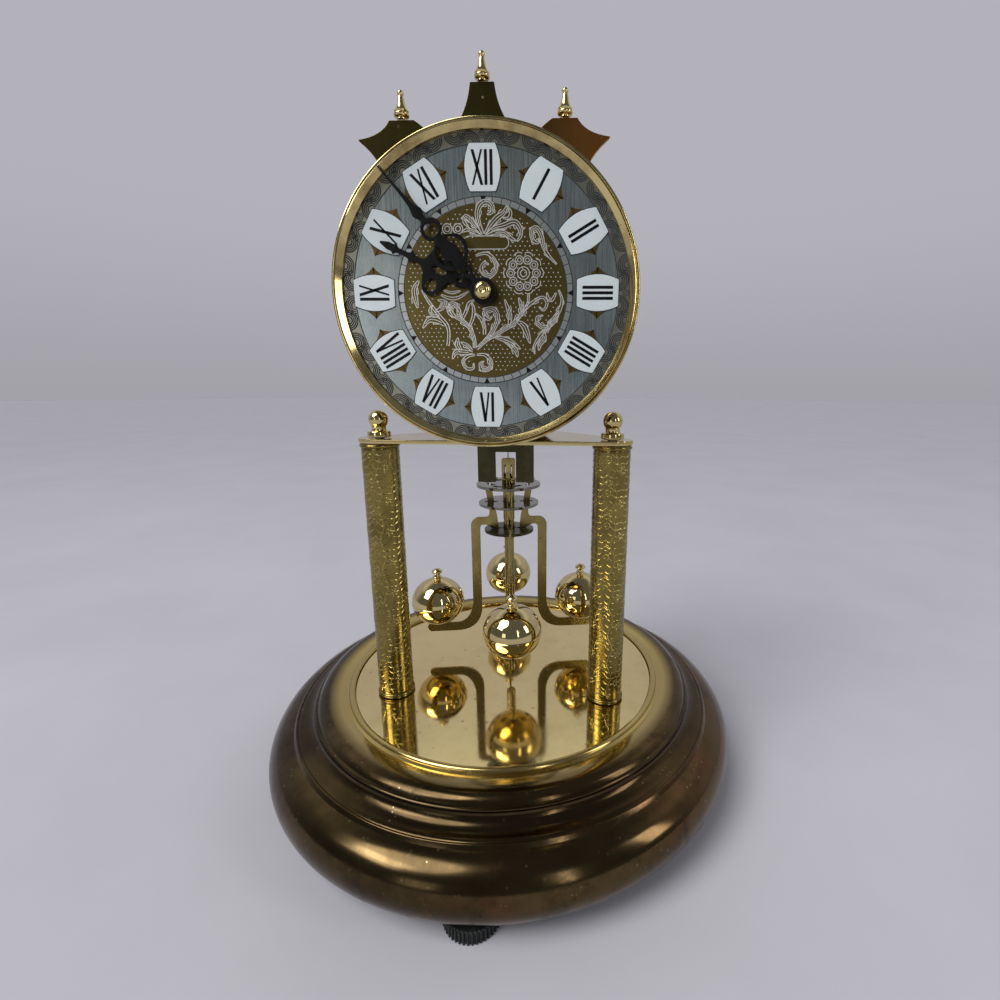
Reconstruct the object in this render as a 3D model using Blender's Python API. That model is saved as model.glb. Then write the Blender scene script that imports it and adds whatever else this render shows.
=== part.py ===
# Anniversary clock with a torsion pendulum: a round spun base, two engraved pillars, a platform
# with an open wheel train behind the dial, and four balls that turn on a hanging ribbon.
# Units are metres, +Z is up, the dial faces -Y, and the origin is on the table under the base.

import math

import bmesh
import bpy
from mathutils import Matrix, Vector

# Clearances and overruns
SEAT = 0.0003
RUNNING = 0.00035
MESH_TOLERANCE = 0.000001
CUT_OVERRUN = 0.002
WORKING_ENLARGEMENT = 1000

# Base: a spun brass shell on a steel floor
BASE_RADIUS = 0.0977
BASE_FOOT_GAP = 0.0052
SHELL_WALL = 0.0009
BULLNOSE_RADIUS = 0.0115
BULLNOSE_UNDER = math.radians(63)
BULLNOSE_OVER = math.radians(80)
LEDGE_RADIUS = 0.0867
LEDGE_HEIGHT = 0.0273
COVE_TOP_RADIUS = 0.0797
COVE_TOP_HEIGHT = 0.0325
SHOULDER_RISE = 0.0021
SHOULDER_INNER_RADIUS = 0.0679
BEAD_RADIUS = 0.0012
BEAD_RING_RADIUS = 0.0660
BEAD_START = math.radians(-10)
SEAT_FLANGE_WIDTH = 0.0050
MIRROR_TOP = 0.0348
MIRROR_THICKNESS = 0.0015
FLOOR_THICKNESS = 0.0016
FLOOR_BOTTOM = 0.0070
FLOOR_RADIUS = 0.0911

# Levelling feet
FOOT_CIRCLE = 0.0855
FOOT_COUNT = 3
FOOT_RADIUS = 0.0093
FOOT_KNURL_DEPTH = 0.0005
FOOT_KNURLS = 18
FOOT_THICKNESS = 0.0044
FOOT_COLLAR_RADIUS = 0.0042
FOOT_SCREW_RADIUS = 0.0025
FOOT_SCREW_TOP = 0.0175
FOOT_BOSS_RADIUS = 0.0044
FOOT_BOSS_HEIGHT = 0.0035

# Pillars, their tie rods and ball nuts
PILLAR_SPREAD = 0.0434
PILLAR_SETBACK = -0.0215
PILLAR_RADIUS = 0.00685
PILLAR_WALL = 0.0007
PILLAR_CAP = 0.0015
PILLAR_BEAD_RADIUS = 0.0074
PILLAR_BEAD_HEIGHT = 0.0018
TIE_ROD_RADIUS = 0.0015
TIE_NUT_RADIUS = 0.0042
TIE_NUT_HEIGHT = 0.0025
BALL_NUT_RADIUS = 0.00358
BALL_NUT_HEIGHT = 0.0100
BALL_NUT_BASE_RADIUS = 0.0043
BALL_NUT_BASE_HEIGHT = 0.0021
BALL_NUT_NECK_RADIUS = 0.0026

# Platform that the movement stands on
PLATFORM_TOP = 0.1405
PLATFORM_THICKNESS = 0.0015
PLATFORM_END_RADIUS = 0.0076
PLATFORM_BACK = 0.0112
PLATFORM_BACK_HALF_WIDTH = 0.0240

# Dial, bezel and crown, measured from the hands' axis, and forward of the base's centre.
# The hands' axis stands above the platform.
DIAL_RISE = 0.0482
DIAL_HEIGHT = PLATFORM_TOP + DIAL_RISE
DIAL_FRONT = 0.0365
DIAL_THICKNESS = 0.0008
DIAL_RADIUS = 0.0473
DIAL_HOLE_RADIUS = 0.0034
DIAL_FOOT_RADIUS = 0.0012
DIAL_FOOT_SPREAD = 0.0265
BEZEL_RADIUS = 0.0493
BEZEL_OPENING = 0.0463
BEZEL_BACK = 0.0346
BEZEL_RIM = 0.0393
BEZEL_LIP = 0.0012
CROWN_THICKNESS = 0.0012
CROWN_INNER_RADIUS = 0.0415
CROWN_OUTER_RADIUS = 0.0480
CROWN_TOP = 0.0598
CROWN_TOP_HALF_WIDTH = 0.0040
CROWN_FOOT_HALF_WIDTH = 0.0086
CROWN_SIDE_TOP = 0.0500
CROWN_SIDE_LEFT = 0.0212
CROWN_SIDE_RIGHT = 0.0288
CROWN_SIDE_FOOT = 0.0155
CROWN_TIP_ACROSS = 0.0388
CROWN_TIP_UP = 0.0449
CROWN_EDGE_ACROSS = 0.0338
CROWN_EDGE_UP = 0.0345
CROWN_HOLLOW = 0.0012
SPIRE_HEIGHT = 0.0077
SPIRE_BASE_RADIUS = 0.00235
SPIRE_TIP_RADIUS = 0.00085
SPIRE_FOOT_SHARES = ((0.5, 0), (0.5, 0.083), (1, 0.125), (1, 0.25), (0.84, 0.30), (0.62, 0.50))
SPIRE_TIP_SHARES = ((1, 0.82), (1.15, 0.88), (1, 0.95), (0, 1))

# Movement plates and the posts between them, forward of the base's centre
FRONT_PLATE_BACK = 0.0250
BACK_PLATE_FRONT = -0.0060
PLATE_THICKNESS = 0.0015
PLATE_HALF_WIDTH = 0.0320
PLATE_HEIGHT = 0.0872
PLATE_CORNER = 0.0100
PLATE_FOOT_HALF_WIDTH = 0.0155
PLATE_FOOT_RISE = 0.0115
POST_RADIUS = 0.0022
POST_INSET = 0.0050
POST_LIFT = 0.0064
POST_SPIGOT_RADIUS = 0.0011
PIVOT_RADIUS = 0.00045
ARBOR_RADIUS = 0.0006
PIVOT_SHAKE = 0.0003
PIVOT_DEPTH_SHARE = 0.8

# Wheel train: modules, tooth counts and places
LEAF_TIP_SHARE = 0.08
LEAF_ROOT_SHARE = 0.25
ADDENDUM_SHARE = 0.75
DEDENDUM_SHARE = 1.35
WHEEL_THICKNESS = 0.0010
PINION_LENGTH = 0.0032
RIM_WIDTH = 0.0019
HUB_RADIUS = 0.0021
SPOKE_HALF_WIDTH = 0.0008
SPOKE_TURN = math.radians(17)
GREAT_MODULE = 0.0008
GREAT_TEETH = 48
GREAT_PINION = 8
SLOW_MODULE = 0.0005
SLOW_TEETH = 54
SLOW_PINION = 6
CENTRE_MODULE = 0.00055
CENTRE_TEETH = 48
CENTRE_PINION = 8
FOURTH_MODULE = 0.0005
FOURTH_TEETH = 40
FOURTH_PINION = 10
BARREL_ACROSS = 0.0060
BARREL_GAP_SHARE = 0.314
BARREL_RADIUS = 0.0168
BARREL_BACK = -0.0048
BARREL_FRONT = 0.0060
GREAT_WHEEL_FRONT = 0.0080
SECOND_DIRECTION = math.radians(150)
FOURTH_DIRECTION = math.radians(48)
SECOND_WHEEL_PLANE = 0.0110
THIRD_WHEEL_PLANE = 0.0152
CENTRE_WHEEL_PLANE = 0.0194
FOURTH_WHEEL_PLANE = 0.0070
ESCAPE_WHEEL_PLANE = 0.0024

# Escapement
ESCAPE_RADIUS = 0.0090
ESCAPE_TEETH = 20
ESCAPE_TOOTH_DEPTH = 0.0018
ESCAPE_TOOTH_SHARES = ((0, 0), (0.4, 1), (0.85, 1))
ANCHOR_RISE = 0.0132
ANCHOR_HALF_SPAN = 0.0076
PALLET_DROP = 0.0062
PALLET_WIDTH = 0.0013
ANCHOR_ARM = 0.0016
ANCHOR_HUB_RADIUS = 0.0020
ANCHOR_THICKNESS = 0.0014
ANCHOR_LAP = 0.0002
ANCHOR_SHOULDER_SHARE = 0.7
ANCHOR_BEND_SHARES = (0.5, -0.4)
ANCHOR_ELBOW_SHARE = 0.2
ANCHOR_WEB_SHARE = 0.8
PALLET_FACE_SHARES = (0.3, -0.6)
CRUTCH_FORWARD = -0.0122
CRUTCH_PIN_RADIUS = 0.0005
CRUTCH_PIN_RISE = 0.0086

# Motion work between the front plate and the dial
MOTION_MODULE = 0.0006
CANNON_LEAVES = 10
MINUTE_TEETH = 30
MINUTE_LEAVES = 8
HOUR_TEETH = 32
MOTION_DIRECTION = math.radians(-45)
MOTION_STUD_RADIUS = 0.0009
CANNON_BORE = 0.0010
CANNON_TUBE = 0.0016
HOUR_BORE = 0.0020
HOUR_TUBE = 0.0026
CANNON_BACK = 0.0272
HOUR_WHEEL_PLANE = 0.0302
HOUR_HAND_BACK = 0.0380
MINUTE_HAND_BACK = 0.0400
HAND_THICKNESS = 0.0005
HAND_NUT_RADIUS = 0.0027
HAND_NUT_HEIGHT = 0.0024
HAND_NUT_DOME_SHARES = (0.75, 0.35, 0.25)
HAND_BOSS_RADIUS = 0.0040
MINUTE_HAND_LENGTH = 0.0466
MINUTE_WIDTH_SHARES = ((0.09, 0.010), (0.20, 0.014), (0.225, 0.052), (0.265, 0.088), (0.32, 0.101),
                       (0.375, 0.088), (0.41, 0.050), (0.425, 0.016), (0.465, 0.022), (0.485, 0.042),
                       (0.513, 0.050), (0.54, 0.042), (0.565, 0.018), (0.59, 0.016), (0.64, 0.034),
                       (0.69, 0.016), (0.73, 0.011), (1.0, 0.004))
MINUTE_EYE_SHARES = ((0, 0.32, 0.074, 0.072), (0, 0.513, 0.028, 0.028))
HOUR_HAND_LENGTH = 0.0360
HOUR_WIDTH_SHARES = ((0.11, 0.020), (0.29, 0.022), (0.35, 0.080), (0.42, 0.175), (0.50, 0.222),
                     (0.56, 0.180), (0.60, 0.070), (0.62, 0.024), (0.68, 0.017), (0.70, 0.050),
                     (0.72, 0.017), (0.84, 0.014), (0.86, 0.045), (0.88, 0.014), (1.0, 0.006))
HOUR_EYE_SHARES = ((-0.115, 0.49, 0.072, 0.070), (0.115, 0.49, 0.072, 0.070))
MINUTE_ANGLE = math.radians(318.6)
HOUR_ANGLE = math.radians(294.6)

# Winding work on the back plate
WINDING_SQUARE = 0.0036
WINDING_ARBOR_RADIUS = 0.0024
WINDING_LENGTH = 0.0075
RATCHET_RADIUS = 0.0082
RATCHET_TEETH = 24
RATCHET_DEPTH = 0.0011
RATCHET_TOOTH_SHARES = ((0, 0), (0.1, 1))
RATCHET_THICKNESS = 0.0013
CLICK_LENGTH = 0.0080
CLICK_WIDTH = 0.0030
CLICK_SCREW_RADIUS = 0.0022
CLICK_SPRING_THICKNESS = 0.0004
CLICK_RISE_SHARE = 0.75
CLICK_SPRING_REACH_SHARE = 1.9
CLICK_NOSE_SHARES = (0.8, 0.6)
CLICK_TIP_SHARES = (0.4, 0.5)

# Suspension: bracket, ribbon, blocks and fork, behind the back plate
PENDULUM_SETBACK = 0.0172
BRACKET_RISE = 0.0483
BRACKET_TOP = DIAL_HEIGHT + BRACKET_RISE
BRACKET_HALF_WIDTH = 0.0105
BRACKET_LEG = 0.0040
BRACKET_LEG_RISE = 0.0253
BRACKET_LEG_BOTTOM = DIAL_HEIGHT + BRACKET_LEG_RISE
BRACKET_THICKNESS = 0.0020
BRACKET_ARM_HEIGHT = 0.0050
BRACKET_ARM_HALF_WIDTH = 0.0060
BRACKET_REACH = 0.0040
BLOCK_HALF_WIDTH = 0.0013
BLOCK_DEPTH = 0.0048
TOP_BLOCK_DROP = 0.0070
TOP_BLOCK_BOTTOM = BRACKET_TOP - TOP_BLOCK_DROP
TOP_BLOCK_HEIGHT = 0.0092
BLOCK_PIN_RADIUS = 0.0008
BLOCK_PIN_HALF_LENGTH = 0.0045
RIBBON_WIDTH = 0.0007
RIBBON_THICKNESS = 0.00016
FORK_RISE = 0.0375
FORK_BOTTOM = DIAL_HEIGHT + FORK_RISE
FORK_HEIGHT = 0.0022
FORK_HALF_WIDTH = 0.0019
FORK_TINE = 0.0007
FORK_REACH = 0.0066

# Guard bracket under the platform
GUARD_FORWARD = -0.0080
GUARD_HALF_WIDTH = 0.0122
GUARD_LEG = 0.0078
GUARD_THICKNESS = 0.0012
GUARD_BAR_DROP = 0.0089
GUARD_FOOT_DROP = 0.0221
GUARD_BAR_BOTTOM = PLATFORM_TOP - GUARD_BAR_DROP
GUARD_FOOT_BOTTOM = PLATFORM_TOP - GUARD_FOOT_DROP
GUARD_FOOT_REACH = 0.0060
GUARD_FLANGE = 0.0075

# Pendulum, measured from its own axis. The hook and the discs hang below the platform,
# and the balls stay at their height over the mirror plate.
PENDULUM_TURN = math.radians(8.4)
HOOK_RADIUS = 0.0031
HOOK_DROP = 0.0128
HOOK_TOP = PLATFORM_TOP - HOOK_DROP
HOOK_FORK_DEPTH = 0.0067
HOOK_FORK_BOTTOM = HOOK_TOP - HOOK_FORK_DEPTH
BOTTOM_BLOCK_HALF_WIDTH = 0.0012
BOTTOM_BLOCK_HEIGHT = 0.0067
HOOK_PIN_RADIUS = 0.0006
ROD_RADIUS = 0.0022
ROD_RISE = 0.0232
ROD_BOTTOM = MIRROR_TOP + ROD_RISE
HUB_RADIUS_AT_DISCS = 0.0026
DISC_THICKNESS = 0.0012
REGULATOR_RADIUS = 0.0145
REGULATOR_DROP = 0.0253
REGULATOR_BOTTOM = PLATFORM_TOP - REGULATOR_DROP
MIDDLE_DISC_RADIUS = 0.0136
MIDDLE_DISC_DROP = 0.0339
MIDDLE_DISC_BOTTOM = PLATFORM_TOP - MIDDLE_DISC_DROP
LOWER_DISC_RADIUS = 0.0113
LOWER_DISC_DROP = 0.0466
LOWER_DISC_BOTTOM = PLATFORM_TOP - LOWER_DISC_DROP
ARM_COUNT = 4
ARM_THICKNESS = 0.0010
ARM_WIDTH = 0.0036
ARM_TRAVEL = 0.0009
ARM_OUTER = 0.0168
ARM_SHOULDER_DROP = 0.0399
ARM_SHOULDER_TOP = PLATFORM_TOP - ARM_SHOULDER_DROP
ARM_TIP_RADIUS = 0.0093
ARM_TIP_HALF = 0.0005
ARM_WAIST_RADIUS = 0.0069
ARM_STRIP_HALF = 0.0015
ARM_TAIL_INNER = 0.0048
ARM_TAIL_OUTER = 0.0066
ARM_CORNER = 0.0040
ARM_SWEEP_RISE = 0.0237
ARM_SWEEP_TOP = MIRROR_TOP + ARM_SWEEP_RISE
ARM_FOOT_END = 0.0393
ARM_SWEEP_END = 0.0255
REGULATOR_SWING = math.radians(30)
BALL_CIRCLE = 0.03385
BALL_RISE = 0.02545
BALL_HEIGHT = MIRROR_TOP + BALL_RISE
BALL_RADIUS = 0.01215
BALL_FLATTENING_SHARE = 0.915
BALL_SEAM_WIDTH = 0.0006
BALL_SEAM_DEPTH = 0.00025
KNOB_RADIUS = 0.0025
KNOB_HEIGHT = 0.0050
KNOB_NECK_SHARE = 0.6
KNOB_SHARES = ((0.6, 0.12), (0.85, 0.25), (0.5, 0.5), (1, 0.66), (1, 0.86), (0, 1))

# Facets
BASE_FACETS = 36
ROUND_FACETS = 28
PILLAR_FACETS = 14
SMALL_FACETS = 12
TINY_FACETS = 8
PIVOT_FACETS = 6
QUARTER_STEPS = 3
SHELL_STEPS = 2
BALL_STEPS = 4
SLOT_STEPS = 4
SLOT_END_SHARE = 1.5
SMOOTH_LIMIT = math.radians(32)


# Making meshes

def clear_scene():
    for item in list(bpy.data.objects):
        bpy.data.objects.remove(item)


def tidied(mesh):
    work = bmesh.new()
    work.from_mesh(mesh)
    bmesh.ops.remove_doubles(work, verts=work.verts, dist=MESH_TOLERANCE)
    bmesh.ops.recalc_face_normals(work, faces=work.faces)
    work.to_mesh(mesh)
    work.free()
    return mesh


def lathed(outline, facets=SMALL_FACETS):
    """Turn an outline of (radius, height) points about Z. It closes on itself or on the axis."""
    verts = []
    rings = []
    for radius, height in outline:
        if radius == 0:
            rings.append([len(verts)] * facets)
            verts.append((0, 0, height))
            continue
        ring = []
        for index in range(facets):
            angle = math.tau * index / facets
            ring.append(len(verts))
            verts.append((radius * math.cos(angle), radius * math.sin(angle), height))
        rings.append(ring)
    closed = outline[0][0] > 0 or outline[-1][0] > 0
    last = len(rings) if closed else len(rings) - 1
    faces = []
    for row in range(last):
        low = rings[row]
        high = rings[(row + 1) % len(rings)]
        for index in range(facets):
            after = (index + 1) % facets
            corners = [low[index], low[after], high[after], high[index]]
            faces.append(list(dict.fromkeys(corners)))
    mesh = bpy.data.meshes.new("lathed")
    mesh.from_pydata(verts, [], [face for face in faces if len(face) > 2])
    return tidied(mesh)


def stamped(outlines, thickness):
    """Cut a flat sheet to the first outline, with the other outlines as holes, from Z 0 up."""
    curve = bpy.data.curves.new("stamped", "CURVE")
    curve.dimensions = "2D"
    curve.fill_mode = "BOTH"
    curve.extrude = thickness / 2 * WORKING_ENLARGEMENT
    curve.render_resolution_u = 0
    for outline in outlines:
        spline = curve.splines.new("POLY")
        spline.points.add(len(outline) - 1)
        for point, (x, y) in zip(spline.points, outline):
            point.co = (x * WORKING_ENLARGEMENT, y * WORKING_ENLARGEMENT, 0, 1)
        spline.use_cyclic_u = True
    holder = bpy.data.objects.new("stamped", curve)
    mesh = bpy.data.meshes.new_from_object(holder)
    bpy.data.objects.remove(holder)
    bpy.data.curves.remove(curve)
    mesh.transform(Matrix.Scale(1 / WORKING_ENLARGEMENT, 4))
    mesh.transform(Matrix.Translation((0, 0, thickness / 2)))
    return tidied(mesh)


def block(low, high):
    """A box from one corner to the other."""
    low = Vector(low)
    high = Vector(high)
    mesh = bpy.data.meshes.new("block")
    work = bmesh.new()
    bmesh.ops.create_cube(work, size=1)
    size = high - low
    bmesh.ops.scale(work, vec=size, verts=work.verts)
    bmesh.ops.translate(work, vec=(low + high) / 2, verts=work.verts)
    work.to_mesh(mesh)
    work.free()
    return mesh


def rod(radius, bottom, top, facets=TINY_FACETS):
    return lathed([(0, bottom), (radius, bottom), (radius, top), (0, top)], facets)


def moved(mesh, offset=(0, 0, 0), turn=None):
    if turn is not None:
        mesh.transform(turn)
    mesh.transform(Matrix.Translation(offset))
    return mesh


def combined(first, others, operation):
    """Join or cut solids, enlarged for the work so that small teeth keep their shape."""
    for mesh in (first, *others):
        mesh.transform(Matrix.Scale(WORKING_ENLARGEMENT, 4))
    base = bpy.data.objects.new("base", first)
    bpy.context.scene.collection.objects.link(base)
    tools = []
    for mesh in others:
        tool = bpy.data.objects.new("tool", mesh)
        bpy.context.scene.collection.objects.link(tool)
        tools.append(tool)
        change = base.modifiers.new("change", "BOOLEAN")
        change.operation = operation
        change.solver = "EXACT"
        change.object = tool
    graph = bpy.context.evaluated_depsgraph_get()
    mesh = bpy.data.meshes.new_from_object(base.evaluated_get(graph))
    for holder in [base] + tools:
        bpy.data.objects.remove(holder)
    mesh.transform(Matrix.Scale(1 / WORKING_ENLARGEMENT, 4))
    return tidied(mesh)


def joined(first, *others):
    return combined(first, others, "UNION")


def cut(first, *others):
    return combined(first, others, "DIFFERENCE")


def arc(centre, radius, start, end, steps=QUARTER_STEPS):
    points = []
    for index in range(steps + 1):
        angle = start + (end - start) * index / steps
        points.append((centre[0] + radius * math.cos(angle), centre[1] + radius * math.sin(angle)))
    return points


def hollow_curve(start, middle, end, steps=QUARTER_STEPS):
    """A smooth curve from start to end, drawn towards the middle point."""
    points = []
    for index in range(steps + 1):
        share = index / steps
        weights = ((1 - share) ** 2, 2 * share * (1 - share), share ** 2)
        x = weights[0] * start[0] + weights[1] * middle[0] + weights[2] * end[0]
        y = weights[0] * start[1] + weights[1] * middle[1] + weights[2] * end[1]
        points.append((x, y))
    return points


def circle(radius, centre=(0, 0), facets=SMALL_FACETS):
    return arc(centre, radius, 0, math.tau * (facets - 1) / facets, facets - 1)


def mirrored(points):
    """The same points on the other side of the Y axis, in reverse order."""
    return [(-x, y) for x, y in reversed(points)]


def box_outline(left, bottom, right, top):
    return [(left, bottom), (right, bottom), (right, top), (left, top)]


# Materials

def metal(name, colour, roughness, metallic=1.0):
    material = bpy.data.materials.new(name)
    material.use_nodes = True
    shader = material.node_tree.nodes["Principled BSDF"]
    shader.inputs["Base Color"].default_value = (*colour, 1)
    shader.inputs["Roughness"].default_value = roughness
    shader.inputs["Metallic"].default_value = metallic
    material.diffuse_color = (*colour, 1)
    return material


# Placing pieces

def add_piece(name, mesh, material, parent=None, place=None):
    mesh.materials.clear()
    mesh.materials.append(material)
    mesh.shade_smooth()
    mesh.set_sharp_from_angle(angle=SMOOTH_LIMIT)
    mesh.name = name
    piece = bpy.data.objects.new(name, mesh)
    bpy.context.scene.collection.objects.link(piece)
    if parent is not None:
        piece.parent = parent
    if place is not None:
        piece.matrix_local = place
    return piece


def add_axis(name, place, parent=None):
    axis = bpy.data.objects.new(name, None)
    bpy.context.scene.collection.objects.link(axis)
    axis.empty_display_size = BEAD_RADIUS
    axis.parent = parent
    axis.matrix_local = place
    return axis


def facing_front(across=0, height=0):
    """Local X runs right, local Y runs up, and local Z runs forward, out of the dial."""
    return Matrix.Translation((across, 0, height)) @ Matrix.Rotation(math.pi / 2, 4, "X")


# Base

def shell_outline(steps, beads):
    """The outer skin of the spun shell, from its bottom edge to the flange under the plate."""
    nose = (BASE_RADIUS - BULLNOSE_RADIUS, BASE_FOOT_GAP + BULLNOSE_RADIUS * math.sin(BULLNOSE_UNDER))
    skin = arc(nose, BULLNOSE_RADIUS, -BULLNOSE_UNDER, BULLNOSE_OVER, 2 * steps)
    bead = BEAD_RADIUS / 2
    if beads:
        skin.append((LEDGE_RADIUS, LEDGE_HEIGHT + bead))
    cove_start = (LEDGE_RADIUS - bead, LEDGE_HEIGHT + 2 * bead)
    cove_end = (COVE_TOP_RADIUS, COVE_TOP_HEIGHT)
    skin += hollow_curve(cove_start, (COVE_TOP_RADIUS + bead, LEDGE_HEIGHT + 2 * bead), cove_end, steps)
    shoulder_start = (COVE_TOP_RADIUS - bead, COVE_TOP_HEIGHT + bead)
    shoulder_end = (SHOULDER_INNER_RADIUS, MIRROR_TOP)
    crest = (COVE_TOP_RADIUS - 4 * bead, MIRROR_TOP + SHOULDER_RISE)
    skin += hollow_curve(shoulder_start, crest, shoulder_end, steps)
    if beads:
        bead_centre = (BEAD_RING_RADIUS, MIRROR_TOP + BEAD_RADIUS / 4)
        skin += arc(bead_centre, BEAD_RADIUS, BEAD_START, math.pi, steps + 1)
    flange = MIRROR_TOP - MIRROR_THICKNESS - SEAT
    plate_edge = BEAD_RING_RADIUS - BEAD_RADIUS
    skin.append((plate_edge, flange))
    skin.append((plate_edge - SEAT_FLANGE_WIDTH, flange))
    return skin


def offset_inside(skin, wall):
    """The same path moved by the wall's thickness to its left, away from the outside."""
    inside = []
    for index, point in enumerate(skin):
        before = skin[max(index - 1, 0)]
        after = skin[min(index + 1, len(skin) - 1)]
        along = Vector((after[0] - before[0], after[1] - before[1])).normalized()
        inside.append((point[0] - along.y * wall, point[1] + along.x * wall))
    return inside


def make_base(metals):
    skin = shell_outline(SHELL_STEPS, True)
    inside = offset_inside(shell_outline(SHELL_STEPS, False), SHELL_WALL)
    add_piece("base_shell", lathed(skin + inside[::-1], BASE_FACETS), metals["bronze"])

    rod_hole = TIE_ROD_RADIUS + RUNNING
    pillar_holes = [circle(rod_hole, (side * PILLAR_SPREAD, PILLAR_SETBACK), TINY_FACETS) for side in (-1, 1)]
    plate_radius = BEAD_RING_RADIUS - BEAD_RADIUS - SEAT
    mirror = stamped([circle(plate_radius, facets=BASE_FACETS)] + pillar_holes, MIRROR_THICKNESS)
    add_piece("mirror_plate", moved(mirror, (0, 0, MIRROR_TOP - MIRROR_THICKNESS)), metals["polished"])

    foot_holes = [circle(FOOT_SCREW_RADIUS + RUNNING, spot) for spot in foot_spots()]
    floor = stamped([circle(FLOOR_RADIUS, facets=BASE_FACETS)] + pillar_holes + foot_holes, FLOOR_THICKNESS)
    bosses = []
    for spot in foot_spots():
        rings = [circle(radius, spot) for radius in (FOOT_BOSS_RADIUS, FOOT_SCREW_RADIUS + RUNNING)]
        boss = stamped(rings, FOOT_BOSS_HEIGHT + FLOOR_THICKNESS / 2)
        bosses.append(moved(boss, (0, 0, FLOOR_THICKNESS / 2)))
    add_piece("floor_plate", moved(joined(floor, *bosses), (0, 0, FLOOR_BOTTOM)), metals["steel"])


def foot_spots():
    spots = []
    for index in range(FOOT_COUNT):
        angle = -math.pi / 2 + math.tau * index / FOOT_COUNT
        spots.append((FOOT_CIRCLE * math.cos(angle), FOOT_CIRCLE * math.sin(angle)))
    return spots


def make_feet(metals):
    for name, spot in zip(("front", "right", "left"), foot_spots()):
        knurl = []
        for index in range(2 * FOOT_KNURLS):
            angle = math.pi * index / FOOT_KNURLS
            radius = FOOT_RADIUS - FOOT_KNURL_DEPTH * (index % 2)
            knurl.append((radius * math.cos(angle), radius * math.sin(angle)))
        head = stamped([knurl], FOOT_THICKNESS)
        collar_top = FLOOR_BOTTOM - SEAT
        stem = lathed([(0, FOOT_THICKNESS / 2), (FOOT_COLLAR_RADIUS, FOOT_THICKNESS / 2),
                       (FOOT_COLLAR_RADIUS, collar_top), (FOOT_SCREW_RADIUS, collar_top),
                       (FOOT_SCREW_RADIUS, FOOT_SCREW_TOP), (0, FOOT_SCREW_TOP)])
        place = Matrix.Translation((*spot, 0))
        add_piece("levelling_foot_" + name, joined(head, stem), metals["dark"], place=place)


# Pillars

def make_pillars(metals):
    foot = MIRROR_TOP + SEAT
    head = PLATFORM_TOP - PLATFORM_THICKNESS - SEAT
    hole = TIE_ROD_RADIUS + RUNNING
    bore = PILLAR_RADIUS - PILLAR_WALL
    slope = PILLAR_BEAD_RADIUS - PILLAR_RADIUS
    outline = [(hole, foot), (PILLAR_BEAD_RADIUS, foot), (PILLAR_BEAD_RADIUS, foot + PILLAR_BEAD_HEIGHT),
               (PILLAR_RADIUS, foot + PILLAR_BEAD_HEIGHT + slope),
               (PILLAR_RADIUS, head - PILLAR_BEAD_HEIGHT - slope),
               (PILLAR_BEAD_RADIUS, head - PILLAR_BEAD_HEIGHT), (PILLAR_BEAD_RADIUS, head), (hole, head),
               (hole, head - PILLAR_CAP), (bore, head - PILLAR_CAP), (bore, foot + PILLAR_CAP),
               (hole, foot + PILLAR_CAP)]
    rod_bottom = FLOOR_BOTTOM - SEAT - TIE_NUT_HEIGHT
    rod_top = PLATFORM_TOP + BALL_NUT_HEIGHT / 2
    for name, side in (("left", -1), ("right", 1)):
        place = Matrix.Translation((side * PILLAR_SPREAD, PILLAR_SETBACK, 0))
        add_piece("pillar_" + name, lathed(outline, PILLAR_FACETS), metals["brass"], place=place)

        nut = stamped([circle(TIE_NUT_RADIUS, facets=6)], TIE_NUT_HEIGHT)
        shank = rod(TIE_ROD_RADIUS, TIE_NUT_HEIGHT / 2, rod_top - rod_bottom)
        tie = moved(joined(nut, shank), (0, 0, rod_bottom))
        add_piece("tie_rod_" + name, tie, metals["steel"], place=place)

        add_piece("ball_nut_" + name, ball_nut(hole, rod_top + SEAT), metals["polished"], place=place)


def ball_nut(hole, hole_top):
    seat = PLATFORM_TOP + SEAT
    ball = seat + BALL_NUT_HEIGHT - BALL_NUT_RADIUS
    neck = math.acos(BALL_NUT_NECK_RADIUS / BALL_NUT_RADIUS)
    step = seat + BALL_NUT_BASE_HEIGHT
    outline = [(hole, seat), (BALL_NUT_BASE_RADIUS, seat), (BALL_NUT_BASE_RADIUS, step),
               (BALL_NUT_NECK_RADIUS, step + BALL_NUT_BASE_HEIGHT / 4)]
    sphere = arc((0, ball), BALL_NUT_RADIUS, -neck, math.pi / 2, 5)
    outline += sphere[:-1]
    outline += [(0, ball + BALL_NUT_RADIUS), (0, hole_top), (hole, hole_top)]
    return lathed(outline, SMALL_FACETS)


def make_platform(metals):
    front = PILLAR_SETBACK - PLATFORM_END_RADIUS
    right = (PILLAR_SPREAD, PILLAR_SETBACK)
    side = [(0, front)] + arc(right, PLATFORM_END_RADIUS, -math.pi / 2, math.pi / 3, 2 * QUARTER_STEPS)
    side.append((PLATFORM_BACK_HALF_WIDTH, PLATFORM_BACK))
    outline = side + mirrored(side[1:])
    hole = TIE_ROD_RADIUS + RUNNING
    holes = [circle(hole, (end * PILLAR_SPREAD, PILLAR_SETBACK), TINY_FACETS) for end in (-1, 1)]
    plate = stamped([outline] + holes, PLATFORM_THICKNESS)
    place = Matrix.Translation((0, 0, PLATFORM_TOP - PLATFORM_THICKNESS))
    add_piece("platform", plate, metals["polished"], place=place)


# Dial, bezel and crown

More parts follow.
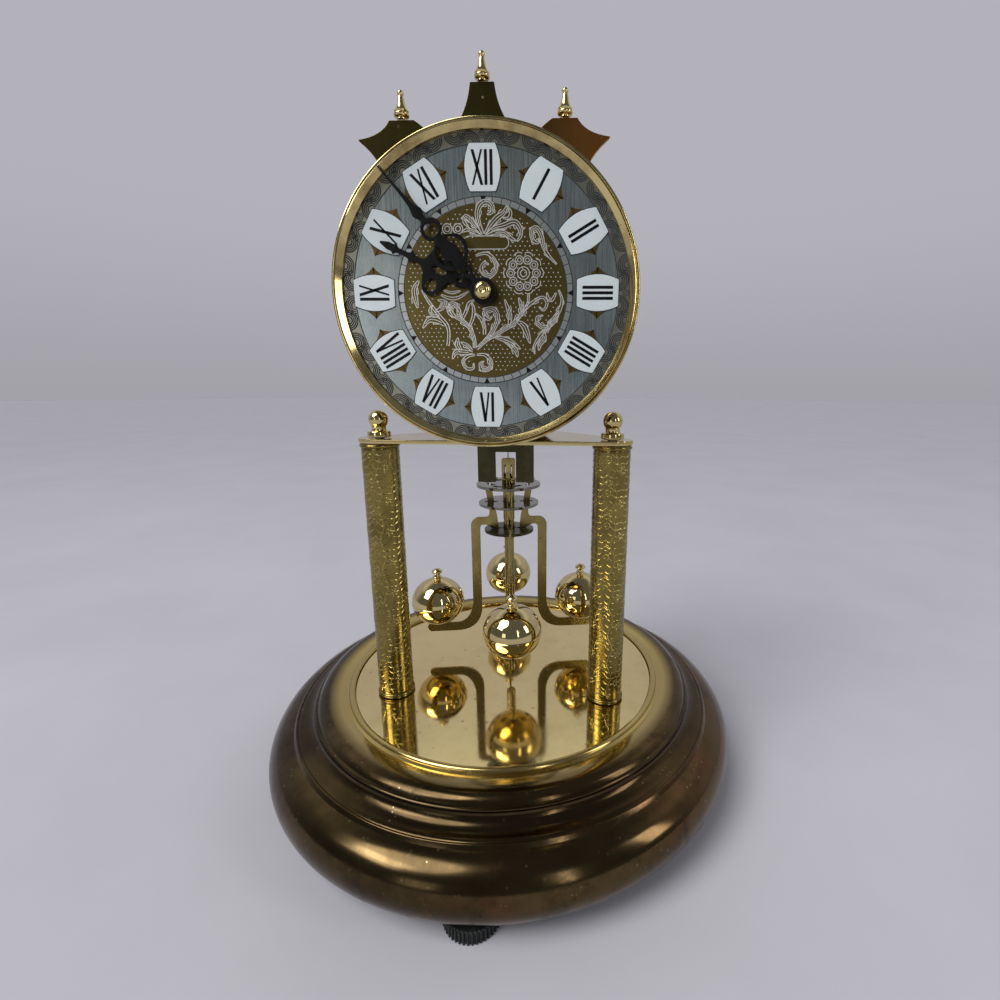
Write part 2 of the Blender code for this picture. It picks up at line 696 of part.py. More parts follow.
def make_dial(metals):
    front = facing_front(0, DIAL_HEIGHT)
    rebate = DIAL_RADIUS + SEAT
    lip = DIAL_FRONT + SEAT
    groove = BEZEL_LIP / 3
    outline = [(rebate, BEZEL_BACK), (BEZEL_RADIUS, BEZEL_BACK), (BEZEL_RADIUS, BEZEL_RIM - BEZEL_LIP),
               (BEZEL_RADIUS - groove, BEZEL_RIM), (BEZEL_RADIUS - BEZEL_LIP + groove / 2, BEZEL_RIM),
               (BEZEL_RADIUS - BEZEL_LIP, BEZEL_RIM - groove), (BEZEL_OPENING, lip + BEZEL_LIP / 2),
               (BEZEL_OPENING, lip), (rebate, lip)]
    add_piece("bezel", lathed(outline, BASE_FACETS), metals["polished"], place=front)

    dial = stamped([circle(DIAL_RADIUS, facets=BASE_FACETS), circle(DIAL_HOLE_RADIUS)], DIAL_THICKNESS)
    dial = moved(dial, (0, 0, DIAL_FRONT - DIAL_THICKNESS))
    feet = []
    for spot in dial_foot_spots():
        bottom = FRONT_PLATE_BACK + PLATE_THICKNESS + SEAT
        foot = rod(DIAL_FOOT_RADIUS, bottom, DIAL_FRONT - DIAL_THICKNESS / 2, TINY_FACETS)
        feet.append(moved(foot, (*spot, 0)))
    add_piece("dial", joined(dial, *feet), metals["silver"], place=front)


def dial_foot_spots():
    return [(side * DIAL_FOOT_SPREAD, level * DIAL_FOOT_SPREAD) for side in (-1, 1) for level in (-1, 1)]


def crown_outline():
    hollow = CROWN_HOLLOW
    side = [(CROWN_TOP_HALF_WIDTH, CROWN_TOP)]
    foot = (CROWN_FOOT_HALF_WIDTH, math.sqrt(CROWN_OUTER_RADIUS ** 2 - CROWN_FOOT_HALF_WIDTH ** 2))
    bend = (CROWN_TOP_HALF_WIDTH + hollow, (CROWN_TOP + foot[1]) / 2 - hollow)
    side += hollow_curve(side[0], bend, foot)[1:]
    start = math.atan2(CROWN_FOOT_HALF_WIDTH, foot[1])
    end = math.asin(CROWN_SIDE_FOOT / CROWN_OUTER_RADIUS)
    side += arc((0, 0), CROWN_OUTER_RADIUS, math.pi / 2 - start, math.pi / 2 - end, 2)[1:]
    inner = (CROWN_SIDE_LEFT, CROWN_SIDE_TOP)
    side += hollow_curve(side[-1], (CROWN_SIDE_LEFT - 2 * hollow, CROWN_SIDE_TOP - hollow), inner, 3)[1:]
    outer = (CROWN_SIDE_RIGHT, CROWN_SIDE_TOP)
    tip = (CROWN_TIP_ACROSS, CROWN_TIP_UP)
    bend = (CROWN_SIDE_RIGHT + 2 * hollow, CROWN_TIP_UP + hollow)
    side += hollow_curve(outer, bend, tip)
    side.append((CROWN_EDGE_ACROSS, CROWN_EDGE_UP))
    low = math.atan2(CROWN_EDGE_UP, CROWN_EDGE_ACROSS)
    side += arc((0, 0), CROWN_INNER_RADIUS, low, math.pi / 2, 6)
    return side + mirrored(side[:-1])


def make_crown(metals):
    front = facing_front(0, DIAL_HEIGHT)
    plate = stamped([crown_outline()], CROWN_THICKNESS)
    plane = BEZEL_BACK - SEAT - CROWN_THICKNESS
    add_piece("crown_plate", moved(plate, (0, 0, plane)), metals["bronze"], place=front)

    outline = [(0, 0)]
    for radius, shares in ((SPIRE_BASE_RADIUS, SPIRE_FOOT_SHARES), (SPIRE_TIP_RADIUS, SPIRE_TIP_SHARES)):
        outline += [(radius * across, SPIRE_HEIGHT * up) for across, up in shares]
    side_middle = (CROWN_SIDE_LEFT + CROWN_SIDE_RIGHT) / 2
    spots = (("left", -side_middle, CROWN_SIDE_TOP), ("centre", 0, CROWN_TOP),
             ("right", side_middle, CROWN_SIDE_TOP))
    for name, across, level in spots:
        spot = (across, -(plane + CROWN_THICKNESS / 2), DIAL_HEIGHT + level + SEAT)
        place = Matrix.Translation(spot)
        add_piece("spire_" + name, lathed(outline, TINY_FACETS), metals["polished"], place=place)


# Wheel train

def gear_outline(teeth, module, phase=0.0, leaves=False):
    """Pointed teeth for a wheel, or the broader leaves of a pinion, with a tooth at the phase."""
    tip = module * (teeth / 2 + ADDENDUM_SHARE)
    root = module * (teeth / 2 - DEDENDUM_SHARE)
    pitch = math.tau / teeth
    corners = ((-0.5, root), (0, tip))
    if leaves:
        corners = ((-LEAF_ROOT_SHARE, root), (-LEAF_TIP_SHARE, tip),
                   (LEAF_TIP_SHARE, tip), (LEAF_ROOT_SHARE, root))
    points = []
    for index in range(teeth):
        for turn_share, radius in corners:
            angle = phase + (index + turn_share) * pitch
            points.append((radius * math.cos(angle), radius * math.sin(angle)))
    return points


def crossings(outer, hub=HUB_RADIUS, spokes=4):
    """The windows between a wheel's spokes."""
    windows = []
    for index in range(spokes):
        middle = SPOKE_TURN + math.tau * index / spokes
        half = math.pi / spokes
        wide = half - math.asin(SPOKE_HALF_WIDTH / outer)
        narrow = half - math.asin(SPOKE_HALF_WIDTH / hub)
        window = arc((0, 0), outer, middle - wide, middle + wide, QUARTER_STEPS)
        window += arc((0, 0), hub, middle + narrow, middle - narrow, 1)
        windows.append(window)
    return windows


def wheel_disc(teeth, module, plane, phase=0.0, hub=HUB_RADIUS):
    rim = module * (teeth / 2 - DEDENDUM_SHARE) - RIM_WIDTH
    disc = stamped([gear_outline(teeth, module, phase)] + crossings(rim, hub), WHEEL_THICKNESS)
    return moved(disc, (0, 0, plane))


def pinion(leaves, module, bottom, top, phase=0.0):
    return moved(stamped([gear_outline(leaves, module, phase, True)], top - bottom), (0, 0, bottom))


def arbor(back=BACK_PLATE_FRONT, front=FRONT_PLATE_BACK):
    """A steel arbor between the plates, with a thin pivot in each plate's hole."""
    deep = PLATE_THICKNESS * PIVOT_DEPTH_SHARE
    outline = [(0, back - deep), (PIVOT_RADIUS, back - deep), (PIVOT_RADIUS, back + SEAT),
               (ARBOR_RADIUS, back + SEAT), (ARBOR_RADIUS, front - SEAT), (PIVOT_RADIUS, front - SEAT),
               (PIVOT_RADIUS, front + deep), (0, front + deep)]
    return lathed(outline, PIVOT_FACETS)


def train_places():
    """Where each arbor stands, from the hands' axis, with every pair at its meshing distance.
    The barrel stands between the centre shaft and the platform, clear of both."""
    great_tip = GREAT_MODULE * (GREAT_TEETH / 2 + ADDENDUM_SHARE)
    barrel_gap = BARREL_GAP_SHARE * (DIAL_RISE - 2 * great_tip)
    barrel = Vector((BARREL_ACROSS, great_tip + barrel_gap - DIAL_RISE))
    reach = GREAT_MODULE * (GREAT_TEETH + GREAT_PINION) / 2
    second = barrel + reach * Vector((math.cos(SECOND_DIRECTION), math.sin(SECOND_DIRECTION)))
    slow = SLOW_MODULE * (SLOW_TEETH + SLOW_PINION) / 2
    half = second.length / 2
    along = -second.normalized()
    third = second / 2 + math.sqrt(slow ** 2 - half ** 2) * Vector((-along.y, along.x))
    reach = CENTRE_MODULE * (CENTRE_TEETH + CENTRE_PINION) / 2
    fourth = reach * Vector((math.cos(FOURTH_DIRECTION), math.sin(FOURTH_DIRECTION)))
    reach = FOURTH_MODULE * (FOURTH_TEETH + FOURTH_PINION) / 2
    escape = Vector((0, fourth.y + math.sqrt(reach ** 2 - fourth.x ** 2)))
    return {"barrel": barrel, "second": second, "third": third, "centre": Vector((0, 0)),
            "fourth": fourth, "escape": escape, "anchor": escape + Vector((0, ANCHOR_RISE))}


def direction(start, end):
    return math.atan2(end.y - start.y, end.x - start.x)


def gap_towards(leaves, angle):
    """The phase that turns a gap between two leaves to this direction."""
    return angle + math.pi / leaves


def at_arbor(spot):
    return facing_front(spot.x, DIAL_HEIGHT + spot.y)


def make_train(metals):
    spots = train_places()
    drum = lathed([(0, BARREL_BACK), (BARREL_RADIUS, BARREL_BACK),
                   (BARREL_RADIUS, GREAT_WHEEL_FRONT - WHEEL_THICKNESS),
                   (0, GREAT_WHEEL_FRONT - WHEEL_THICKNESS)], ROUND_FACETS)
    mesh_way = direction(spots["barrel"], spots["second"])
    great = stamped([gear_outline(GREAT_TEETH, GREAT_MODULE, mesh_way)], 2 * WHEEL_THICKNESS)
    great = moved(great, (0, 0, GREAT_WHEEL_FRONT - 2 * WHEEL_THICKNESS))
    well = rod(WINDING_ARBOR_RADIUS + RUNNING, BARREL_BACK - CUT_OVERRUN, BARREL_FRONT, SMALL_FACETS)
    hub_back = BARREL_FRONT + WHEEL_THICKNESS
    hub_front = FRONT_PLATE_BACK - SEAT
    plate_front = FRONT_PLATE_BACK + PLATE_THICKNESS
    pivot = lathed([(0, hub_back), (HUB_RADIUS, hub_back), (HUB_RADIUS, hub_front), (PIVOT_RADIUS, hub_front),
                    (PIVOT_RADIUS, plate_front), (0, plate_front)])
    barrel = cut(joined(joined(drum, great), pivot), well)
    add_piece("barrel", barrel, metals["brass"], place=at_arbor(spots["barrel"]))

    def add_wheel(name, teeth, module, plane, phase, leaves, leaf_module, leaf_bottom, leaf_phase):
        disc = wheel_disc(teeth, module, plane, phase)
        leaf = pinion(leaves, leaf_module, leaf_bottom, leaf_bottom + PINION_LENGTH, leaf_phase)
        mesh = joined(disc, leaf, arbor())
        add_piece(name, mesh, metals["gear"], place=at_arbor(spots[name.split("_")[0]]))

    half_pinion = (PINION_LENGTH - WHEEL_THICKNESS) / 2
    add_wheel("second_wheel", SLOW_TEETH, SLOW_MODULE, SECOND_WHEEL_PLANE,
              direction(spots["second"], spots["third"]), GREAT_PINION, GREAT_MODULE,
              GREAT_WHEEL_FRONT - WHEEL_THICKNESS - PINION_LENGTH / 2,
              gap_towards(GREAT_PINION, direction(spots["second"], spots["barrel"])))
    add_wheel("third_wheel", SLOW_TEETH, SLOW_MODULE, THIRD_WHEEL_PLANE,
              direction(spots["third"], spots["centre"]), SLOW_PINION, SLOW_MODULE,
              SECOND_WHEEL_PLANE - half_pinion,
              gap_towards(SLOW_PINION, direction(spots["third"], spots["second"])))
    add_wheel("fourth_wheel", FOURTH_TEETH, FOURTH_MODULE, FOURTH_WHEEL_PLANE,
              direction(spots["fourth"], spots["escape"]), CENTRE_PINION, CENTRE_MODULE,
              CENTRE_WHEEL_PLANE - half_pinion,
              gap_towards(CENTRE_PINION, direction(spots["fourth"], spots["centre"])))

    centre = wheel_disc(CENTRE_TEETH, CENTRE_MODULE, CENTRE_WHEEL_PLANE,
                        direction(spots["centre"], spots["fourth"]))
    leaf = pinion(SLOW_PINION, SLOW_MODULE, THIRD_WHEEL_PLANE - half_pinion,
                  THIRD_WHEEL_PLANE + WHEEL_THICKNESS + half_pinion,
                  gap_towards(SLOW_PINION, direction(spots["centre"], spots["third"])))
    shaft_top = MINUTE_HAND_BACK + HAND_THICKNESS + HAND_NUT_HEIGHT / 2
    back = BACK_PLATE_FRONT - PLATE_THICKNESS * PIVOT_DEPTH_SHARE
    shaft = lathed([(0, back), (PIVOT_RADIUS, back), (PIVOT_RADIUS, BACK_PLATE_FRONT + SEAT),
                    (ARBOR_RADIUS, BACK_PLATE_FRONT + SEAT), (ARBOR_RADIUS, shaft_top), (0, shaft_top)],
                   PIVOT_FACETS)
    centre = joined(centre, leaf, shaft)
    add_piece("centre_wheel", centre, metals["gear"], place=at_arbor(spots["centre"]))

    make_escapement(metals, spots)


def make_escapement(metals, spots):
    pitch = math.tau / ESCAPE_TEETH
    points = []
    root = ESCAPE_RADIUS - ESCAPE_TOOTH_DEPTH
    for index in range(ESCAPE_TEETH):
        for turn_share, depth_share in ESCAPE_TOOTH_SHARES:
            radius = ESCAPE_RADIUS - depth_share * ESCAPE_TOOTH_DEPTH
            angle = math.pi / 2 + (index + turn_share) * pitch
            points.append((radius * math.cos(angle), radius * math.sin(angle)))
    disc = stamped([points] + crossings(root - RIM_WIDTH / 2), WHEEL_THICKNESS)
    leaf = pinion(FOURTH_PINION, FOURTH_MODULE, FOURTH_WHEEL_PLANE - WHEEL_THICKNESS,
                  FOURTH_WHEEL_PLANE + 2 * WHEEL_THICKNESS,
                  gap_towards(FOURTH_PINION, direction(spots["escape"], spots["fourth"])))
    wheel = joined(moved(disc, (0, 0, ESCAPE_WHEEL_PLANE)), leaf, arbor())
    add_piece("escape_wheel", wheel, metals["gear"], place=at_arbor(spots["escape"]))

    hub = ANCHOR_HUB_RADIUS
    upper_bend, lower_bend = ANCHOR_BEND_SHARES
    side = [(0, hub), (hub, hub * ANCHOR_SHOULDER_SHARE)]
    elbow = (ANCHOR_HALF_SPAN, -ANCHOR_RISE * ANCHOR_ELBOW_SHARE)
    side += hollow_curve(side[-1], (ANCHOR_HALF_SPAN, hub * upper_bend), elbow, 3)[1:]
    side += [(ANCHOR_HALF_SPAN + PALLET_WIDTH * share, -PALLET_DROP) for share in PALLET_FACE_SHARES]
    side += hollow_curve((elbow[0] - ANCHOR_ARM, elbow[1]), (ANCHOR_HALF_SPAN - ANCHOR_ARM, hub * lower_bend),
                         (0, -hub * ANCHOR_WEB_SHARE), 3)
    outline = side[1:-1] + mirrored(side)
    anchor = moved(stamped([outline], ANCHOR_THICKNESS), (0, 0, ESCAPE_WHEEL_PLANE - ANCHOR_LAP))
    back_end = CRUTCH_FORWARD - CRUTCH_PIN_RADIUS
    front_end = FRONT_PLATE_BACK + PLATE_THICKNESS * PIVOT_DEPTH_SHARE
    staff = lathed([(0, back_end), (ARBOR_RADIUS, back_end), (ARBOR_RADIUS, FRONT_PLATE_BACK - SEAT),
                    (PIVOT_RADIUS, FRONT_PLATE_BACK - SEAT), (PIVOT_RADIUS, front_end), (0, front_end)],
                   PIVOT_FACETS)
    pin = rod(CRUTCH_PIN_RADIUS, 0, CRUTCH_PIN_RISE, 8)
    pin = moved(pin, (0, 0, CRUTCH_FORWARD), Matrix.Rotation(-math.pi / 2, 4, "X"))
    place = at_arbor(spots["anchor"])
    add_piece("anchor", joined(anchor, staff, pin), metals["steel"], place=place)


def make_motion_work(metals):
    spots = train_places()
    reach = MOTION_MODULE * (CANNON_LEAVES + MINUTE_TEETH) / 2
    minute_spot = reach * Vector((math.cos(MOTION_DIRECTION), math.sin(MOTION_DIRECTION)))
    front = facing_front(0, DIAL_HEIGHT)
    leaf_top = CANNON_BACK + 2 * WHEEL_THICKNESS
    leaves = pinion(CANNON_LEAVES, MOTION_MODULE, CANNON_BACK, leaf_top,
                    gap_towards(CANNON_LEAVES, MOTION_DIRECTION))
    tube = rod(CANNON_TUBE, CANNON_BACK, MINUTE_HAND_BACK - SEAT, SMALL_FACETS)
    bore = rod(CANNON_BORE, CANNON_BACK - CUT_OVERRUN, MINUTE_HAND_BACK + CUT_OVERRUN, TINY_FACETS)
    add_piece("cannon_pinion", cut(joined(leaves, tube), bore), metals["steel"], place=front)

    stud_hole = MOTION_STUD_RADIUS + RUNNING
    minute_plane = CANNON_BACK + SEAT
    disc = wheel_disc(MINUTE_TEETH, MOTION_MODULE, minute_plane, MOTION_DIRECTION + math.pi)
    way = MOTION_DIRECTION + math.pi
    leaf = pinion(MINUTE_LEAVES, MOTION_MODULE, minute_plane + WHEEL_THICKNESS / 2,
                  HOUR_WHEEL_PLANE + 2 * WHEEL_THICKNESS, gap_towards(MINUTE_LEAVES, way))
    hole = rod(stud_hole, CANNON_BACK - CUT_OVERRUN, HOUR_WHEEL_PLANE + CUT_OVERRUN + 2 * WHEEL_THICKNESS)
    place = facing_front(minute_spot.x, DIAL_HEIGHT + minute_spot.y)
    add_piece("minute_wheel", cut(joined(disc, leaf), hole), metals["gear"], place=place)

    hub = HOUR_TUBE + SPOKE_HALF_WIDTH
    disc = wheel_disc(HOUR_TEETH, MOTION_MODULE, HOUR_WHEEL_PLANE, MOTION_DIRECTION, hub)
    pipe = rod(HOUR_TUBE, HOUR_WHEEL_PLANE, HOUR_HAND_BACK - SEAT, SMALL_FACETS)
    bore = rod(HOUR_BORE, HOUR_WHEEL_PLANE - CUT_OVERRUN, HOUR_HAND_BACK + CUT_OVERRUN, SMALL_FACETS)
    add_piece("hour_wheel", cut(joined(disc, pipe), bore), metals["gear"], place=front)
    return minute_spot


# Movement plates

def plate_outline():
    bottom = PLATFORM_TOP + SEAT - DIAL_HEIGHT
    top = bottom + PLATE_HEIGHT
    corner = PLATE_CORNER
    side = [(PLATE_FOOT_HALF_WIDTH, bottom), (PLATE_HALF_WIDTH, bottom + PLATE_FOOT_RISE)]
    side += arc((PLATE_HALF_WIDTH - corner, top - corner), corner, 0, math.pi / 2, QUARTER_STEPS)
    return side + mirrored(side)


def post_spots():
    bottom = PLATFORM_TOP + SEAT - DIAL_HEIGHT + POST_INSET + POST_LIFT
    top = bottom + PLATE_HEIGHT - 2 * POST_INSET - POST_LIFT - PLATE_CORNER / 3
    across = PLATE_HALF_WIDTH - POST_INSET
    upper = across - PLATE_CORNER / 3
    return [(-across, bottom), (across, bottom), (-upper, top), (upper, top)]


def make_plates(metals, minute_spot):
    spots = train_places()
    front = facing_front(0, DIAL_HEIGHT)
    pivot_hole = PIVOT_RADIUS + PIVOT_SHAKE
    posts = [circle(POST_SPIGOT_RADIUS + SEAT, spot, 8) for spot in post_spots()]
    pivots = [circle(pivot_hole, spots[name], 8) for name in ("second", "third", "fourth", "escape")]

    centre_hole = circle(ARBOR_RADIUS + RUNNING, facets=TINY_FACETS)
    front_pivots = [circle(pivot_hole, spots[name], 8) for name in ("barrel", "anchor")]
    plate = stamped([plate_outline()] + posts + pivots + front_pivots + [centre_hole], PLATE_THICKNESS)
    stud = rod(MOTION_STUD_RADIUS, PLATE_THICKNESS / 2, HOUR_WHEEL_PLANE + WHEEL_THICKNESS - FRONT_PLATE_BACK)
    plate = joined(plate, moved(stud, (*minute_spot, 0)))
    add_piece("front_plate", moved(plate, (0, 0, FRONT_PLATE_BACK)), metals["brass"], place=front)

    winding = circle(WINDING_ARBOR_RADIUS + RUNNING, spots["barrel"])
    staff = circle(ARBOR_RADIUS + RUNNING, spots["anchor"], TINY_FACETS)
    centre_pivot = circle(pivot_hole, facets=8)
    plate = stamped([plate_outline()] + posts + pivots + [winding, staff, centre_pivot], PLATE_THICKNESS)
    plate = moved(plate, (0, 0, BACK_PLATE_FRONT - PLATE_THICKNESS))
    add_piece("back_plate", plate, metals["brass"], place=front)

    back = BACK_PLATE_FRONT + SEAT
    forward = FRONT_PLATE_BACK - SEAT
    spigot = PLATE_THICKNESS
    outline = [(0, back - spigot), (POST_SPIGOT_RADIUS, back - spigot), (POST_SPIGOT_RADIUS, back),
               (POST_RADIUS, back), (POST_RADIUS, forward), (POST_SPIGOT_RADIUS, forward),
               (POST_SPIGOT_RADIUS, forward + spigot), (0, forward + spigot)]
    names = ("lower_left", "lower_right", "upper_left", "upper_right")
    for name, (across, level) in zip(names, post_spots()):
        place = facing_front(across, DIAL_HEIGHT + level)
        add_piece("post_" + name, lathed(outline, TINY_FACETS), metals["brass"], place=place)


# Hands

def hand_mesh(length, bore, width_shares, eye_shares):
    """A flat pierced hand along +Y. Places along it, widths and eyes are shares of its length."""
    boss = HAND_BOSS_RADIUS
    root = width_shares[0][1] * length
    side = [(width * length, along * length) for along, width in width_shares[1:]]
    around = math.asin(root / boss)
    outline = arc((0, 0), boss, math.pi / 2 + around, math.tau + math.pi / 2 - around, 3 * QUARTER_STEPS)
    outline += side + mirrored(side)
    piercings = []
    for across, along, wide, tall in eye_shares:
        ring = circle(length, facets=TINY_FACETS)
        piercings.append([(across * length + wide * x, along * length + tall * y) for x, y in ring])
    return stamped([outline, circle(bore, facets=TINY_FACETS)] + piercings, HAND_THICKNESS)


def make_hands(metals):
    front = facing_front(0, DIAL_HEIGHT)
    minute = hand_mesh(MINUTE_HAND_LENGTH, CANNON_BORE, MINUTE_WIDTH_SHARES, MINUTE_EYE_SHARES)
    minute = moved(minute, (0, 0, MINUTE_HAND_BACK), Matrix.Rotation(-MINUTE_ANGLE, 4, "Z"))
    add_piece("minute_hand", minute, metals["black"], place=front)

    hour = hand_mesh(HOUR_HAND_LENGTH, HOUR_BORE, HOUR_WIDTH_SHARES, HOUR_EYE_SHARES)
    hour = moved(hour, (0, 0, HOUR_HAND_BACK), Matrix.Rotation(-HOUR_ANGLE, 4, "Z"))
    add_piece("hour_hand", hour, metals["black"], place=front)

    radius = HAND_NUT_RADIUS
    bottom = MINUTE_HAND_BACK + HAND_THICKNESS + SEAT
    top = bottom + HAND_NUT_HEIGHT
    hole = ARBOR_RADIUS + RUNNING
    ceiling = MINUTE_HAND_BACK + HAND_THICKNESS + HAND_NUT_HEIGHT / 2 + SEAT
    dome, crest, dimple = [radius * share for share in HAND_NUT_DOME_SHARES]
    outline = [(hole, bottom), (radius, bottom), (radius, bottom + HAND_NUT_HEIGHT / 2), (dome, top - SEAT),
               (crest, top), (dimple, top - SEAT), (0, top - SEAT), (0, ceiling), (hole, ceiling)]
    add_piece("hand_nut", lathed(outline, SMALL_FACETS), metals["polished"], place=front)


# Winding work

def make_winding(metals):
    spots = train_places()
    spot = spots["barrel"]
    back = BACK_PLATE_FRONT - PLATE_THICKNESS
    ratchet_front = back - SEAT
    ratchet_back = ratchet_front - RATCHET_THICKNESS
    pitch = math.tau / RATCHET_TEETH
    points = []
    for index in range(RATCHET_TEETH):
        for turn_share, depth_share in RATCHET_TOOTH_SHARES:
            radius = RATCHET_RADIUS - depth_share * RATCHET_DEPTH
            angle = math.pi / 2 + (index + turn_share) * pitch
            points.append((radius * math.cos(angle), radius * math.sin(angle)))
    ratchet = moved(stamped([points], RATCHET_THICKNESS), (0, 0, ratchet_back))
    shaft = rod(WINDING_ARBOR_RADIUS, ratchet_back - SEAT, BARREL_FRONT - SEAT, SMALL_FACETS)
    half = WINDING_SQUARE / 2
    square = block((-half, -half, ratchet_back - WINDING_LENGTH), (half, half, ratchet_front))
    add_piece("winding_arbor", joined(joined(ratchet, shaft), square), metals["steel"], place=at_arbor(spot))

    pivot_up = RATCHET_RADIUS + CLICK_WIDTH * CLICK_RISE_SHARE
    pivot = spot + Vector((-CLICK_LENGTH, pivot_up))
    click_shape = click_outline(pivot_up)
    click = stamped([click_shape], RATCHET_THICKNESS)
    screw = rod(CLICK_SCREW_RADIUS, -CLICK_SPRING_THICKNESS, RATCHET_THICKNESS / 2, TINY_FACETS)
    click = moved(joined(click, screw), (0, 0, ratchet_back))
    add_piece("click", click, metals["steel"], place=at_arbor(pivot))

    thin = CLICK_SPRING_THICKNESS
    bend = CLICK_WIDTH / 2 + SEAT
    low = (CLICK_SCREW_RADIUS + 2 * SEAT, bend)
    far = (CLICK_LENGTH * CLICK_SPRING_REACH_SHARE, bend + 4 * thin)
    leaf = [low, far, (far[0], far[1] + thin), (low[0], low[1] + thin)]
    foot = stamped([circle(CLICK_WIDTH / 2, far, TINY_FACETS)], RATCHET_THICKNESS)
    spring = moved(joined(stamped([leaf], RATCHET_THICKNESS), foot), (0, 0, ratchet_back))
    add_piece("click_spring", spring, metals["steel"], place=at_arbor(pivot))


def click_outline(pivot_up):
    """A bar that hooks down behind a tooth, with its pivot at the origin."""
    half = CLICK_WIDTH / 2
    back = arc((0, 0), half, math.pi / 2, 1.5 * math.pi, 4)
    nose_x = CLICK_LENGTH - 2 * SEAT
    nose_y = -pivot_up + RATCHET_RADIUS - RATCHET_DEPTH + 2 * SEAT
    nose_width, nose_root = CLICK_NOSE_SHARES
    tip_side, tip_top = CLICK_TIP_SHARES
    return back + [(nose_x - CLICK_WIDTH * nose_width, -half * nose_root), (nose_x - SEAT, nose_y),
                   (nose_x, nose_y), (CLICK_LENGTH, half * tip_side), (CLICK_LENGTH - half * tip_top, half)]


# Suspension

def make_suspension(metals):
    back = -(BACK_PLATE_FRONT - PLATE_THICKNESS) + SEAT
    arm_bottom = BRACKET_TOP - BRACKET_ARM_HEIGHT
    half = BRACKET_HALF_WIDTH
    face = back + BRACKET_THICKNESS
    yoke = stamped([[(-half, BRACKET_LEG_BOTTOM), (-half + BRACKET_LEG, BRACKET_LEG_BOTTOM),
                     (-half + BRACKET_LEG, arm_bottom), (half - BRACKET_LEG, arm_bottom),
                     (half - BRACKET_LEG, BRACKET_LEG_BOTTOM), (half, BRACKET_LEG_BOTTOM),
                     (half, BRACKET_TOP), (-half, BRACKET_TOP)]], BRACKET_THICKNESS)
    yoke = moved(yoke, (0, face, 0), Matrix.Rotation(math.pi / 2, 4, "X"))
    arm = block((-BRACKET_ARM_HALF_WIDTH, face - BRACKET_THICKNESS / 2, arm_bottom),
                (BRACKET_ARM_HALF_WIDTH, PENDULUM_SETBACK + BRACKET_REACH, BRACKET_TOP))
    slot_half = BLOCK_HALF_WIDTH + RUNNING
    slot = block((-slot_half, PENDULUM_SETBACK - BLOCK_DEPTH / 2 - RUNNING, arm_bottom - CUT_OVERRUN),
                 (slot_half, PENDULUM_SETBACK + BRACKET_REACH + CUT_OVERRUN, BRACKET_TOP + CUT_OVERRUN))
    add_piece("suspension_bracket", cut(joined(yoke, arm), slot), metals["brass"])

    pin_height = BRACKET_TOP + SEAT + BLOCK_PIN_RADIUS
    body = block((-BLOCK_HALF_WIDTH, -BLOCK_DEPTH / 2, TOP_BLOCK_BOTTOM),
                 (BLOCK_HALF_WIDTH, BLOCK_DEPTH / 2, TOP_BLOCK_BOTTOM + TOP_BLOCK_HEIGHT))
    pin = rod(BLOCK_PIN_RADIUS, -BLOCK_PIN_HALF_LENGTH, BLOCK_PIN_HALF_LENGTH)
    pin = moved(pin, (0, 0, pin_height), Matrix.Rotation(math.pi / 2, 4, "Y"))
    hang = Matrix.Translation((0, PENDULUM_SETBACK, 0))
    add_piece("top_block", joined(body, pin), metals["brass"], place=hang)

    ribbon = block((-RIBBON_WIDTH / 2, -RIBBON_THICKNESS / 2, HOOK_TOP + 2 * SEAT),
                   (RIBBON_WIDTH / 2, RIBBON_THICKNESS / 2, TOP_BLOCK_BOTTOM - SEAT))
    add_piece("suspension_ribbon", ribbon, metals["steel"], place=hang)

    reach = -FORK_REACH
    inner = CRUTCH_PIN_RADIUS + RUNNING
    outer = inner + FORK_TINE
    slot_width = RIBBON_WIDTH / 2 + SEAT
    slot_depth = RIBBON_THICKNESS / 2 + SEAT
    half = FORK_HALF_WIDTH
    shape = [(-outer, reach), (-inner, reach), (-inner, -half), (inner, -half), (inner, reach),
             (outer, reach), (half, -half), (half, half), (-half, half), (-half, -half)]
    fork = stamped([shape, box_outline(-slot_width, -slot_depth, slot_width, slot_depth)], FORK_HEIGHT)
    fork_axis = add_axis("fork_axis", hang @ Matrix.Translation((0, 0, FORK_BOTTOM)))
    add_piece("fork", fork, metals["brass"], parent=fork_axis)


def make_guard(metals):
    half = GUARD_HALF_WIDTH
    leg = GUARD_LEG
    top = PLATFORM_TOP - PLATFORM_THICKNESS - SEAT
    foot = GUARD_FOOT_BOTTOM
    face = -GUARD_FORWARD
    sheet = stamped([[(-half, foot), (-half + leg, foot), (-half + leg, GUARD_BAR_BOTTOM),
                      (half - leg, GUARD_BAR_BOTTOM), (half - leg, foot), (half, foot),
                      (half, top), (-half, top)]], GUARD_THICKNESS)
    sheet = moved(sheet, (0, face + GUARD_THICKNESS, 0), Matrix.Rotation(math.pi / 2, 4, "X"))
    middle = face + GUARD_THICKNESS / 2
    flange = block((-half, face - GUARD_FLANGE, top - GUARD_THICKNESS), (half, middle, top))
    feet = [block((left, middle, foot), (left + leg, face + GUARD_FOOT_REACH, foot + GUARD_THICKNESS))
            for left in (-half, half - leg)]
    add_piece("guard_bracket", joined(sheet, flange, *feet), metals["dark_brass"])


# Pendulum

